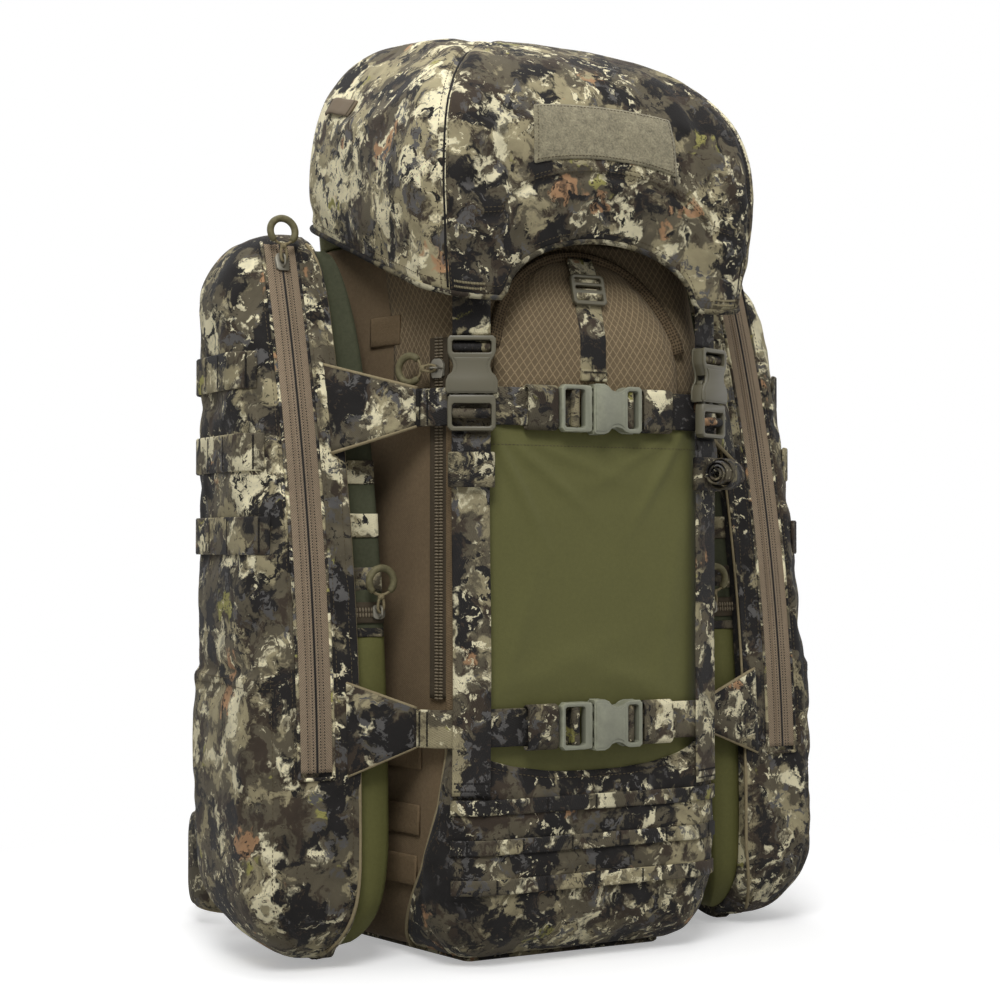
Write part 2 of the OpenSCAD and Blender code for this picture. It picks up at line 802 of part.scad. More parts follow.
// How far an end draws in at a height, as a quarter round of radius r that stops short by rest
function draw_in(h, r, rest) = let (t = clamp(h / r)) (r - rest) * (1 - sqrt(1 - pow(1 - t, 2)));
function pod_out(z) =
    pod_in + pod_w + pod_swell * clamp((pod_pocket_z - z) / 30 + 0.5)
    - draw_in(z - pod_foot, 40, 2) - draw_in(pod_top - z, 54, 8);
function pod_fore(z) = pod_y(z) + draw_in(z - pod_foot, 48, 2) + draw_in(pod_top - z, 24, 2);
function pod_aft(z) = pod_back_y - draw_in(z - pod_foot, 84, 2) - draw_in(pod_top - z, 26, 2);
function pod_ring(z) =
    let (
        x1 = pod_out(z), y0 = pod_fore(z), y1 = pod_aft(z),
        r = min(pod_edge_r, 0.45 * (y1 - y0), 0.45 * (x1 - pod_in))
    )
    at(concat(
        [[pod_in, y0]],
        arc([x1 - r, y0 + r], r, 270, 360, 6),
        arc([x1 - r, y1 - r], r, 0, 90, 6),
        [[pod_in, y1]]
    ), z);
pod_steps = [0, 1.5, 6, 14, 26, 40, 58, 84];
function pod_zs() =
    concat(
        [for (h = pod_steps) pod_foot + h],
        [for (i = [1:4]) mix(pod_foot + 84, pod_pocket_z - 15, i / 4)],
        [for (i = [1:8]) mix(pod_pocket_z + 15, pod_top - 54, (i - 1) / 7)],
        [for (h = [36, 22, 12, 5, 1, 0]) pod_top - h]
    );

module pod(side) {
    color(CAMO) on_side(side) loft([for (z = pod_zs()) pod_ring(z)]);
}

gusset_foot = pod_foot + 8;
gusset_top = pod_top - 12;
function gusset_fore(z) = pod_fore(z) + gusset_back;
function gusset_ring(z) =
    let (y0 = gusset_fore(z), y1 = pod_aft(z) - 4)
    at([[gusset_in, y0], [gusset_out, y0], [gusset_out, y1], [gusset_in, y1]], z);

module pod_gussets() {
    low = [for (h = [0, 6, 16, 30, 50, 76]) gusset_foot + h];
    mid = [for (i = [1:9]) mix(gusset_foot + 76, gusset_top - 16, i / 9)];
    high = [gusset_top - 8, gusset_top];
    color(OLIVE) for (side = SIDES) on_side(side) loft([for (z = concat(low, mid, high)) gusset_ring(z)]);
}

// Tab from a cinch strap's end to the front edge of the pod
module pod_tab(z) {
    over = pod_in + 10;
    tip_outer = tail_end(cinch_off + web_t);
    tip_inner = tail_end(cinch_off);
    vs = [for (i = [0:4]) i / 4 - 0.5];
    us = [for (j = [0:4]) j / 4];
    function row(v, tip, lift) = [for (u = us)
        let (h = mix(web_w, tab_h, u), zz = z + v * h, p = mix(tip, [over, pod_y(z + v * tab_h) - lift], u))
        [p.x, p.y, zz]];
    sheet([for (v = vs) row(v, tip_outer, seat + tab_t)], [for (v = vs) row(v, tip_inner, seat)]);
}

module pod_tabs() {
    color(CAMO) for (side = SIDES, z = [upper_z, lower_z]) on_side(side) pod_tab(z);
}

// Webbing rows round a pod's outer side, from its front edge to its back edge
module pod_webbing() {
    function path(z, off) =
        let (x1 = pod_out(z), y0 = pod_fore(z), y1 = pod_aft(z), r = pod_edge_r)
        at(concat(
            arc([x1 - r, y0 + r], r + off, 300, 360, 4),
            arc([x1 - r, y1 - r], r + off, 0, 60, 4)
        ), z);
    near = 2 * seat;
    color(CAMO) for (side = SIDES, i = [0:pod_row_n - 1]) on_side(side) {
        z0 = pod_row_z + i * pod_row_step - web_w / 2;
        zs = [z0, z0 + web_w / 2, z0 + web_w];
        sheet([for (z = zs) path(z, near + web_t)], [for (z = zs) path(z, near)]);
    }
}

function sweep_angle(z) = asin((z - pod_front_z) / sweep_r);
module at_sweep(side) {
    on_side(side) translate([zip_x, sweep_y, pod_front_z]) children();
}

module pod_zips() {
    a0 = sweep_angle(pod_zip_foot);
    a1 = sweep_angle(pod_zip_top);
    color(TAPE) for (side = SIDES) at_sweep(side)
        rotate([0, 0, -90]) rotate([90, 0, 0]) rotate([0, 0, a0])
        rotate_extrude(angle = a1 - a0, $fn = 360) {
            translate([zip_r, -tape_w / 2]) square([tape_t, tape_w]);
            translate([zip_r + tape_t / 2, -teeth_w / 2]) square([teeth_t + tape_t / 2, teeth_w]);
        }
}

module at_pod_slider(side) {
    at_sweep(side) rotate([-sweep_angle(pod_zip_top - slider_l), 0, 0])
        translate([0, -zip_r - tape_t, 0]) rotate([90, 0, 0]) children();
}
module pod_slider(side) { at_pod_slider(side) zip_slider(); }
module pod_pull(side) { at_pod_slider(side) zip_pull(12); }

// Short zip across the gusset's front, with its zip along X
inner_mid = (gusset_in + gusset_out) / 2;
module at_inner_zip(side) {
    lean = sweep_angle(inner_zip_z);
    on_side(side) translate([inner_mid, gusset_fore(inner_zip_z), inner_zip_z]) rotate([-lean, 0, 0])
        translate([0, -seat - tape_t, 0]) rotate([90, 0, 0]) rotate([0, 0, 90]) children();
}
inner_half = gusset_w / 2 - 1;
inner_slider_l = 9;

module inner_zips() {
    for (side = SIDES) at_inner_zip(side) straight_zip(inner_tape_w, -inner_half, inner_half);
}

module at_inner_slider(side) {
    at_inner_zip(side) translate([0, inner_half - inner_slider_l / 2, 0]) children();
}
module inner_slider(side) { at_inner_slider(side) cross_slider(inner_slider_l); }
module inner_pull(side) { at_inner_slider(side) rotate([0, 0, -90]) zip_pull(10); }

// Lid

hinge_y = bag_back_y + 6;
hinge_z = bag_h - hinge_drop;
hinge_pin_r = 2;
hinge_eye_r = hinge_pin_r + seat;
lid_back_y = hinge_y + hinge_eye_r - seat;
lid_front_y = bag_front_y - lid_over;
lid_mid = [0, mix(lid_front_y, lid_back_y, 0.62)];
lid_top = bag_h + lid_crown;
lid_crest_y = mix(lid_front_y, lid_back_y, 0.78);

function lid_plan(off) =
    plan(lid_back_w, lid_front_w, lid_back_y, lid_front_y, lid_back_r, lid_front_r, off, [6, 4, 4, 16]);
function lid_rim(p) =
    let (
        base = bag_h + mix(-lid_front_drop, lid_back_rise, lid_depth(p)),
        on_front = p.y < lid_front_y + 2 * lid_wall ? 1 : 0,
        u = clamp(1 - pow(p.x / lid_arch_half, 2))
    )
    base + on_front * lid_arch * sqrt(u);
// How far back a point of the rim lies, from 0 at the front to 1 at the back
function lid_depth(p) = clamp((p.y - lid_front_y) / (lid_back_y - lid_front_y));
// How the dome closes over a point of the rim, with a bulge above the front flap
function lid_shrink(p, t) =
    let (w = lid_depth(p), bulge = 1 + 0.068 * sin(180 * t) * (1 - w))
    bulge * pow(1 - pow(t, mix(7, 2.1, w)), mix(0.43, 0.13, w));
// Height of the lid's sloping top
function lid_crown_z(y) =
    lid_top - lid_fall * pow(max(0, lid_crest_y - y) / (lid_crest_y - lid_front_y), 1.75);
// Place on the dome over a point of the rim
function lid_place(p, t) =
    let (q = lid_mid + (p - lid_mid) * lid_shrink(p, t)) [q.x, q.y, mix(lid_rim(p), lid_crown_z(q.y), t)];
function lid_ring(off, t) = [for (p = lid_plan(off)) lid_place(p, t)];

module lid_shell() {
    hollow_z = bag_h + lid_hollow;
    rise = [0.2, 0.4, 0.56, 0.69, 0.79, 0.87, 0.93, 0.97, 0.99];
    rings = concat(
        [at(lid_plan(-2 * lid_wall - 8), hollow_z), at(lid_plan(-lid_wall - 3), hollow_z - 14)],
        [lid_ring(-lid_wall, 0)],
        [lid_ring(0, 0)],
        [for (t = rise) lid_ring(0, t)],
        [at(lid_ring(0, 0.9995), lid_top - 1)]
    );
    color(CAMO) loft(rings);
}

module lid_floor() {
    floor_t = 1.6;
    color(OLIVE) translate([0, 0, bag_h + lid_hollow - floor_t])
        linear_extrude(floor_t) polygon(lid_plan(-2 * lid_wall - 10));
}

// Sheet lying on the dome, over rim points xs and heights ts
module on_dome(points, ts, t) {
    function lifted(p, h, lift) =
        let (
            up = lid_place(p, h + 0.02) - lid_place(p, h - 0.02),
            n = cross([p.y - lid_mid.y, lid_mid.x - p.x, 0], up)
        )
        lid_place(p, h) - lift * n / norm(n);
    sheet([for (h = ts) [for (p = points) lifted(p, h, seat + t)]],
          [for (h = ts) [for (p = points) lifted(p, h, seat)]]);
}

module lid_patch() {
    reach = patch_w / 2 / lid_shrink([0, lid_front_y], 0.55);
    points = [for (i = [0:8]) [mix(-reach, reach, i / 8), lid_front_y]];
    color(TAPE) on_dome(points, [for (i = [0:6]) mix(0.42, 0.70, i / 6)], patch_t);
}

module lid_loops() {
    loop_t = 2.5;
    side_bow = 0.9;
    points = [for (y = [24, 32, 40]) [mix(lid_front_w, lid_back_w, lid_depth([0, y])) / 2 + side_bow, y]];
    color(TAPE) for (side = SIDES) on_side(side) on_dome(points, [0.60, 0.65, 0.70], loop_t);
}

module lid_hinge_straps() {
    top = bag_h + lid_back_rise + 34;
    w0 = hinge_x - hinge_w / 2;
    color(CAMO) for (side = SIDES) on_side(side) translate([w0, hinge_y, hinge_z]) rotate([90, 0, 90])
        linear_extrude(hinge_w) difference() {
            union() {
                circle(r = hinge_eye_r + eye_wall, $fn = 48);
                translate([hinge_eye_r, 0]) square([eye_wall, top - hinge_z]);
            }
            circle(r = hinge_eye_r, $fn = 48);
        }
}

module lid_hinge_anchors() {
    ear = 3;
    w1 = hinge_x + hinge_w / 2 + seat;
    w0 = hinge_x - hinge_w / 2 - seat;
    plate_t = 1.2;
    y0 = bag_back_y + seat;
    color(METAL) for (side = SIDES) on_side(side) {
        box([w0 - ear, y0, hinge_z - 14], [w1 + ear, y0 + plate_t, hinge_z - 5]);
        for (x = [w0 - ear, w1])
            box([x, y0, hinge_z - 14], [x + ear, hinge_y + hinge_pin_r, hinge_z + hinge_pin_r]);
        translate([w0 - 1, hinge_y, hinge_z]) rotate([0, 90, 0])
            cylinder(h = w1 - w0 + 2, r = hinge_pin_r, $fn = 48);
    }
}

// Lid straps. Each hangs from a pin inside the lid's front flap.
strap_mid = bag_front_r + strap_off + web_t / 2;
pin_x = corner_x + strap_mid * sin(strap_tilt);
pin_y = corner_y - strap_mid * cos(strap_tilt);
strap_pin_r = 1.5;
strap_eye_r = strap_pin_r + seat;
strap_eye_out = strap_eye_r + 1.6;
strap_eye_w = 16;

module lid_strap_pins() {
    ear = 2;
    inside = lid_front_y + lid_wall + 2.2;
    color(METAL) for (side = SIDES) on_side(side) {
        for (x = [pin_x - strap_eye_w / 2 - seat - ear, pin_x + strap_eye_w / 2 + seat])
            box([x, inside, lid_pin_z - 2.5], [x + ear, pin_y + 2.5, lid_pin_z + 2.5]);
        translate([pin_x - strap_eye_w / 2 - 1, pin_y, lid_pin_z]) rotate([0, 90, 0])
            cylinder(h = strap_eye_w + 2, r = strap_pin_r, $fn = 32);
    }
}

module lid_strap(side) {
    foot = split_z + female_bar_y;
    color(CAMO) difference() {
        union() {
            at_strap(side)
                box([-web_w / 2, -strap_off - web_t, foot + eye_r], [web_w / 2, -strap_off, lid_pin_z]);
            at_strap_buckle(side, split_z) female_eye_upright();
            on_side(side) translate([pin_x - strap_eye_w / 2, pin_y, lid_pin_z]) rotate([0, 90, 0])
                cylinder(h = strap_eye_w, r = strap_eye_out, $fn = 48);
        }
        on_side(side) translate([pin_x - web_w, pin_y, lid_pin_z]) rotate([0, 90, 0])
            cylinder(h = 2 * web_w, r = strap_eye_r, $fn = 48);
        on_side(side) for (x = [pin_x - strap_eye_w / 2 - 8, pin_x + strap_eye_w / 2])
            box([x, pin_y - 9, lid_pin_z - 5], [x + 8, pin_y + 9, lid_pin_z + 5]);
    }
}

// Loop round the female half's bar, with a run down to the strap's plane
module female_eye_upright() {
    at_female_bar() linear_extrude(web_w) difference() {
        union() {
            circle(r = eye_out, $fn = 48);
            translate([eye_r, web_lift - female_bar_z]) square([eye_wall, female_bar_z - web_lift]);
        }
        circle(r = eye_r, $fn = 48);
    }
}

module lid_buckle_female(side) { at_strap_buckle(side, split_z) buckle_female(); }

// Harness

module pillow(x0, x1, z0, z1, y, t) {
    draw = 0.35 * t;
    function ring(inset, yy) = [
        [x0 + inset, yy, z0 + 2 * inset], [x1 - inset, yy, z0 + inset], [x1 - inset, yy, z1 - inset],
        [x0 + inset, yy, z1 - 2 * inset]];
    loft([for (v = [[0, 0], [0, 0.6], [0.25, 0.85], [1, 1]]) let (r = ring(v[0] * draw, y + v[1] * t))
        [for (i = [3:-1:0]) r[i]]]);
}

lumbar_half = wing_x - wing_seam_r - seat;
lumbar_foot = 20;
lumbar_top = wing_z + wing_root_h / 2 + 9;

module back_pads() {
    y = bag_back_y + seat;
    color("#3a382f") {
        for (side = SIDES) on_side(side) pillow(14, 70, 168, shoulder_z - 42, y, pad_t);
        pillow(-lumbar_half, lumbar_half, lumbar_foot, lumbar_top, y, pad_t);
    }
}

// Places along a shoulder strap: share of its bow, height over its upper end, distance from the middle
shoulder_path = [
    [0, -12, 46], [0.06, 0, 46], [0.28, 7, 47], [0.54, 1, 49], [0.78, -20, 53], [0.94, -54, 60],
    [1, -96, 68], [0.97, -140, 76], [0.86, -184, 84], [0.7, -224, 90], [0.54, -256, 94]];
shoulder_last = len(shoulder_path) - 1;
function shoulder_at(i) =
    let (p = shoulder_path[i])
    [p[2], bag_back_y + seat + shoulder_t / 2 + p[0] * shoulder_bow, shoulder_z + p[1]];
function shoulder_dir(i) =
    let (d = shoulder_at(min(i + 1, shoulder_last)) - shoulder_at(max(i - 1, 0)), flat = [0, d.y, d.z])
    flat / norm(flat);

module shoulder_strap(side) {
    edge_t = 0.45;
    us = [-1, -0.9, -0.5, 0, 0.5, 0.9, 1];
    function row(i, way) =
        let (c = shoulder_at(i), d = shoulder_dir(i), n = [0, -d.z, d.y])
        [for (u = us)
            c + [u * shoulder_w / 2, 0, 0] + way * n * shoulder_t / 2 * (abs(u) > 0.95 ? edge_t : 1)];
    rows = [for (i = [shoulder_last:-1:0]) i];
    color("#3f3c31") on_side(side) sheet([for (i = rows) row(i, -1)], [for (i = rows) row(i, 1)]);
}

// Strip of webbing through places in the plane of a side view, w wide along X
module strip(x, w, path, t) {
    last = len(path) - 1;
    function dir(i) = let (d = path[min(i + 1, last)] - path[max(i - 1, 0)]) d / norm(d);
    function row(i, way) =
        let (n = [dir(i).y, -dir(i).x], p = path[i] + way * n * t / 2)
        [[x - w / 2, p.x, p.y], [x + w / 2, p.x, p.y]];
    rows = [for (i = [0:last]) i];
    sheet([for (i = rows) row(i, -1)], [for (i = rows) row(i, 1)]);
}

module harness_webbing() {
    y = bag_back_y + seat + web_t / 2;
    foot = shoulder_at(shoulder_last);
    d = shoulder_dir(shoulder_last);
    start = foot + d * (seat + 0.2);
    top = shoulder_at(3);
    n = [0, -shoulder_dir(3).z, shoulder_dir(3).y];
    lift = top + n * (shoulder_t / 2 + web_t / 2 + seat);
    color(CAMO) for (side = SIDES) on_side(side) {
        strip(foot.x, harness_web_w, [[y, lumbar_top + 5], [y + 3, lumbar_top + 15],
            [start.y, start.z]], web_t);
        strip(top.x, harness_web_w, [[lift.y, lift.z], [y + 6, shoulder_z + 30], [y, shoulder_z + 36],
            [y, shoulder_z + 46]], web_t);
    }
}

module haul_handle() {
    reach = 24;
    half = 26;
    z0 = shoulder_z + 18;
    y = bag_back_y + seat;
    function path(t) = [[-half - 12, y + t], [-half, y + 2 + t], [-half + 8, y + reach * 0.75 + t / 2],
        [-half + 18, y + reach + t], [half - 18, y + reach + t], [half - 8, y + reach * 0.75 + t / 2],
        [half, y + 2 + t], [half + 12, y + t]];
    inner = [[half + 12, y], [half - 1, y], [half - 12, y + reach * 0.7], [half - 20, y + reach - 3],
        [-half + 20, y + reach - 3], [-half + 12, y + reach * 0.7], [-half + 1, y], [-half - 12, y]];
    color(CAMO) translate([0, 0, z0]) linear_extrude(harness_web_w + 4) polygon(concat(path(3), inner));
}

// Hip belt. Each wing swings on an upright seam beside the lumbar pad's edge.
wing_y = bag_back_y + seat + wing_seam_r + 2;
wing_path = [for (p = [[1, 1], [16, 5], [40, 13], [62, 22], [78, 36], [82, 54], [75, 70]])
    [wing_x + wing_seam_r + p.x, wing_y + p.y]];
wing_last = len(wing_path) - 1;
function wing_dir(i) =
    let (d = wing_path[min(i + 1, wing_last)] - wing_path[max(i - 1, 0)]) d / norm(d);

module belt_wing(side) {
    end_t = 0.6;
    edge_t = 0.5;
    web_in = 2;
    function column(i, v, way) =
        let (h = mix(wing_root_h, wing_tip_h, i / wing_last), n = [wing_dir(i).y, -wing_dir(i).x],
             t = wing_t * (i == 0 || i == wing_last ? end_t : 1) * (abs(v) > 0.49 ? edge_t : 1),
             p = wing_path[i] + way * n * t / 2)
        [p.x, p.y, wing_z + v * h];
    vs = [-0.5, -0.4, 0, 0.4, 0.5];
    is = [for (i = [0:wing_last]) i];
    color(CAMO) on_side(side) {
        sheet([for (v = vs) [for (i = is) column(i, v, 1)]],
              [for (v = vs) [for (i = is) column(i, v, -1)]]);
        translate([wing_x, wing_y, wing_z])
            cylinder(h = wing_root_h, r = wing_seam_r, center = true, $fn = 48);
        translate([wing_x, wing_y - web_in, wing_z - wing_root_h / 2 + 2 * web_in])
            cube([wing_seam_r + web_in, 2 * web_in + 1, wing_root_h - 4 * web_in]);
    }
}

// Frame of the webbing that leaves a wing's tip, along +Y, with its outward side along +X
module at_wing_tip(side) {
    tip = wing_path[wing_last];
    d = wing_dir(wing_last);
    on_side(side) translate([tip.x, tip.y, wing_z]) rotate([0, 0, atan2(d.y, d.x) - 90]) children();
}
belt_gap = 16;

// Frames of the two belt buckle halves, whose webbing leaves the wing's tip
module at_belt_female() {
    at_wing_tip(LEFT) translate([-web_lift - web_t / 2, belt_gap + female_bar_y, 0])
        rotate([0, 90, 0]) rotate([0, 0, 180]) children();
}
module at_belt_male() {
    at_wing_tip(RIGHT) translate([-web_lift - web_t / 2, belt_gap - male_bar_y, 0])
        rotate([0, 90, 0]) children();
}

module belt_buckle_female() {
    at_belt_female() {
        buckle_female();
        color(CAMO) {
            female_eye();
            box([-web_w / 2, female_bar_y + eye_r, web_lift],
                [web_w / 2, female_bar_y + belt_gap - seat, web_lift + web_t]);
            box([-web_w / 2, female_bar_y + eye_r, web_lift],
                [web_w / 2, female_bar_y + eye_out, female_bar_z - eye_r]);
        }
    }
}
module belt_buckle_male() {
    at_belt_male() {
        buckle_male();
        color(CAMO) {
            bar_fold(web_w);
            box([-web_w / 2, male_bar_y - belt_gap + seat, web_lift],
                [web_w / 2, male_bar_y + eye_out, web_lift + web_t]);
            for (y = [-eye_out, eye_r])
                box([-web_w / 2, male_bar_y + y, web_lift],
                    [web_w / 2, male_bar_y + y + eye_wall, male_bar_z]);
        }
    }
}

main_bag();
base_panel();
collar();
frame_sheet();
frame_stays();
boot_panel();
boot_webbing();
stretch_pocket();
arch_panel();
front_straps();
strap_keepers();
centre_ladder_lock();
lid_buckle_males();
cinch_straps();
upper_buckle_female();
upper_buckle_male();
upper_tail();
lower_buckle_female();
lower_buckle_male();
lower_tail();
side_zips();
side_slider(LEFT);  // side_slider_left
side_slider(RIGHT);  // side_slider_right
side_pull(LEFT);  // side_pull_left
side_pull(RIGHT);  // side_pull_right
pod(LEFT);  // pod_left
pod(RIGHT);  // pod_right
pod_gussets();
pod_tabs();
pod_webbing();
pod_zips();
pod_slider(LEFT);  // pod_slider_left
pod_slider(RIGHT);  // pod_slider_right
pod_pull(LEFT);  // pod_pull_left
pod_pull(RIGHT);  // pod_pull_right
inner_zips();
inner_slider(LEFT);  // inner_slider_left
inner_slider(RIGHT);  // inner_slider_right
inner_pull(LEFT);  // inner_pull_left
inner_pull(RIGHT);  // inner_pull_right
lid_shell();
lid_floor();
lid_patch();
lid_loops();
lid_hinge_straps();
lid_hinge_anchors();
lid_strap_pins();
lid_strap(LEFT);  // lid_strap_left
lid_strap(RIGHT);  // lid_strap_right
lid_buckle_female(LEFT);  // lid_buckle_female_left
lid_buckle_female(RIGHT);  // lid_buckle_female_right
back_pads();
shoulder_strap(LEFT);  // shoulder_strap_left
shoulder_strap(RIGHT);  // shoulder_strap_right
harness_webbing();
haul_handle();
belt_wing(LEFT);  // belt_wing_left
belt_wing(RIGHT);  // belt_wing_right
belt_buckle_female();
belt_buckle_male();
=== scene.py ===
"""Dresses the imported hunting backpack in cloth, padding, webbing, zips and buckles over its fixed frame."""
import json
import logging
import math
from dataclasses import dataclass
from enum import Enum
from functools import cache
from typing import Sequence

import bmesh
import bpy
import numpy as np
from mathutils import Matrix, Vector, noise
from mathutils.bvhtree import BVHTree
from mathutils.kdtree import KDTree

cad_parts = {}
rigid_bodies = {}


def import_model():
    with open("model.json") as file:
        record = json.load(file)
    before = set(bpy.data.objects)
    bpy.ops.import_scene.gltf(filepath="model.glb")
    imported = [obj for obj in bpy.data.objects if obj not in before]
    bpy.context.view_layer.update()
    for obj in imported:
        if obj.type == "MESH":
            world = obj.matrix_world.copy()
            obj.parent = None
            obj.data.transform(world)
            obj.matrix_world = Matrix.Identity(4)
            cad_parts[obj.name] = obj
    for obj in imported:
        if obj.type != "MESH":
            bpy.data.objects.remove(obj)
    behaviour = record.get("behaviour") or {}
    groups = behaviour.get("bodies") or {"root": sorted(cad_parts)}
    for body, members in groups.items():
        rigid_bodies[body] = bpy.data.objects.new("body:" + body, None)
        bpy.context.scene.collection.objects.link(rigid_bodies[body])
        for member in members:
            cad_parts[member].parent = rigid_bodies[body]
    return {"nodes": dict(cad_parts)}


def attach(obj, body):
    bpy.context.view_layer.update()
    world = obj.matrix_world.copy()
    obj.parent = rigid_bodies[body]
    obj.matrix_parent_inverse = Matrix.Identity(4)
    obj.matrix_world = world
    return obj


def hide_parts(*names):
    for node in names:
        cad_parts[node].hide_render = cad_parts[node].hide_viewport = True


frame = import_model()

LOG = logging.getLogger("backpack")
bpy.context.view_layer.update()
MM = 0.001  # metres in a millimetre, the unit of the sizes below
SEAT = 0.3  # gap under what lies on the skin
LEFT, RIGHT = -1, 1
SIDES = (LEFT, RIGHT)
PACK, TOP = "pack", "lid"  # bodies that carry most pieces
Array = np.ndarray
Value = float | Array
Pair = tuple[float, float]
Triple = tuple[float, float, float]
Floats = tuple[float, ...]
Line = tuple[Array, Array]
Parts = list[tuple[bpy.types.Mesh, Matrix]]
Node, Socket, Tree, Piece = bpy.types.Node, bpy.types.NodeSocket, bpy.types.NodeTree, bpy.types.Object
Paint = Socket | Sequence[float] | float
ACROSS, UPRIGHT = np.array([1.0, 0, 0]), np.array([0, 0, 1.0])


def hand(side: int) -> str:
    """Name of a side."""
    return "left" if side == LEFT else "right"


def mix(a: Value, b: Value, t: Value) -> Value:
    """Value that lies the share t of the way from a to b."""
    return a + (b - a) * t


def ease(t: Value) -> Value:
    """Smooth step of t from 0 to 1."""
    t = np.clip(t, 0, 1)
    return t * t * (3 - 2 * t)


def points(x: Value, y: Value, z: Value) -> Array:
    """Points whose coordinates are arrays or single numbers."""
    return np.stack(np.broadcast_arrays(x, y, z), -1)


def arc(centre: Sequence[float], r: float, a0: float, a1: float, n: int) -> Array:
    """Points of an arc of n steps in a plane, between two angles in degrees."""
    a = np.radians(np.linspace(a0, a1, n + 1))
    return np.stack([centre[0] + r * np.cos(a), centre[1] + r * np.sin(a)], -1)


def between(a: Array, b: Array, n: int) -> Array:
    """Points that part the way from a to b into n steps, without its ends."""
    return mix(a, b, np.linspace(0, 1, n + 1)[1:-1, None])


def smooth_path(through: Sequence[Sequence[float]], n: int) -> Array:
    """Even steps along a smooth curve.

    Args:
        through: points that the curve passes.
        n: number of points to return.

    Returns:
        The points of the curve.
    """
    p = np.asarray(through, float)
    q = np.concatenate([[2 * p[0] - p[1]], p, [2 * p[-1] - p[-2]]])
    t = np.linspace(0, 1, 12, endpoint=False)[:, None]
    runs = [0.5 * (2 * b + (c - a) * t + (2 * a - 5 * b + 4 * c - d) * t ** 2 + (3 * b - a - 3 * c + d) * t ** 3)
            for a, b, c, d in zip(q, q[1:], q[2:], q[3:])]
    dense = np.concatenate([*runs, p[-1:]])
    run = np.concatenate([[0], np.cumsum(np.linalg.norm(np.diff(dense, axis=0), axis=1))])
    at = np.linspace(0, run[-1], n)
    return np.stack([np.interp(at, run, axis) for axis in dense.T], -1)


def mirrored(right: Array, side: int) -> Array:
    """Points of the right side, moved to a side."""
    return np.asarray(right, float) * (side, 1, 1)


def unit(v: Array) -> Array:
    """Vectors scaled to length 1."""
    return v / np.maximum(np.linalg.norm(v, axis=-1, keepdims=True), 1e-9)


def rolling(at: Array, scale: float, seed: float) -> Array:
    """Smooth noise from -1 to 1 at points, with a wavelength of about scale millimetres."""
    q = np.asarray(at, float).reshape(-1, 3) / scale + (seed, 1.7 * seed, -2.3 * seed)
    return np.array([noise.noise(Vector(x)) for x in q]).reshape(np.shape(at)[:-1])


def bar(centre: Array, across: Array, out: Array, half: float, n: int) -> Line:
    """Straight row of n points across a spot, and the direction out of the cloth at each."""
    return centre + np.linspace(-half, half, n)[:, None] * across, np.broadcast_to(out, (n, 3))


class Place:
    """Matrices that set a small part, modelled about its own origin, on the pack."""

    @staticmethod
    def move(x: float, y: float, z: float) -> Matrix:
        """Shift in millimetres."""
        return Matrix.Translation((x, y, z))

    @staticmethod
    def turn(axis: str, degrees: float) -> Matrix:
        """Turn about an axis."""
        return Matrix.Rotation(math.radians(degrees), 4, axis)

    @staticmethod
    def on(side: int) -> Matrix:
        """Mirror that takes the right side's parts to a side."""
        return Matrix.Diagonal((side, 1, 1, 1))

    @staticmethod
    def put(at: Array, matrix: Matrix) -> Array:
        """Points moved by a matrix."""
        m = np.array(matrix)
        return np.asarray(at, float) @ m[:3, :3].T + m[:3, 3]

    @staticmethod
    def way(matrix: Matrix, *axis: float) -> Array:
        """Direction turned by a matrix."""
        return np.array(matrix.to_3x3() @ Vector(axis))


# Shapes of the pack


def rounded_plan(wide: Pair, deep: Pair, r: Pair, off: float, n: Sequence[int]) -> Array:
    """Rounded plan, wider or narrower at its front.

    Args:
        wide: width across the back and across the front.
        deep: place of the back and of the front.
        r: radius of the back corners and of the front ones.
        off: distance that the plan is grown by.
        n: steps on a corner, a side, the back and the front.

    Returns:
        Points from the right side round the back and the left side to the front.
    """
    cb, cf = np.array([wide[0] / 2 - r[0], deep[0] - r[0]]), np.array([wide[1] / 2 - r[1], deep[1] + r[1]])
    d = cf - cb
    a = math.degrees(math.atan2(d[1], d[0]) + math.acos((r[0] - r[1]) / np.linalg.norm(d)))
    corners = [arc((x, c[1]), rc + off, a0, a1, n[0])
               for x, c, rc, a0, a1 in ((cb[0], cb, r[0], a, 90), (-cb[0], cb, r[0], 90, 180 - a),
                                        (-cf[0], cf, r[1], 180 - a, 270), (cf[0], cf, r[1], 270, 360 + a))]
    runs = []
    for c, nxt, k in zip(corners, corners[1:] + corners[:1], (n[2], n[1], n[3], n[1])):
        runs += [c, between(c[-1], nxt[0], k)]
    return np.concatenate(runs)


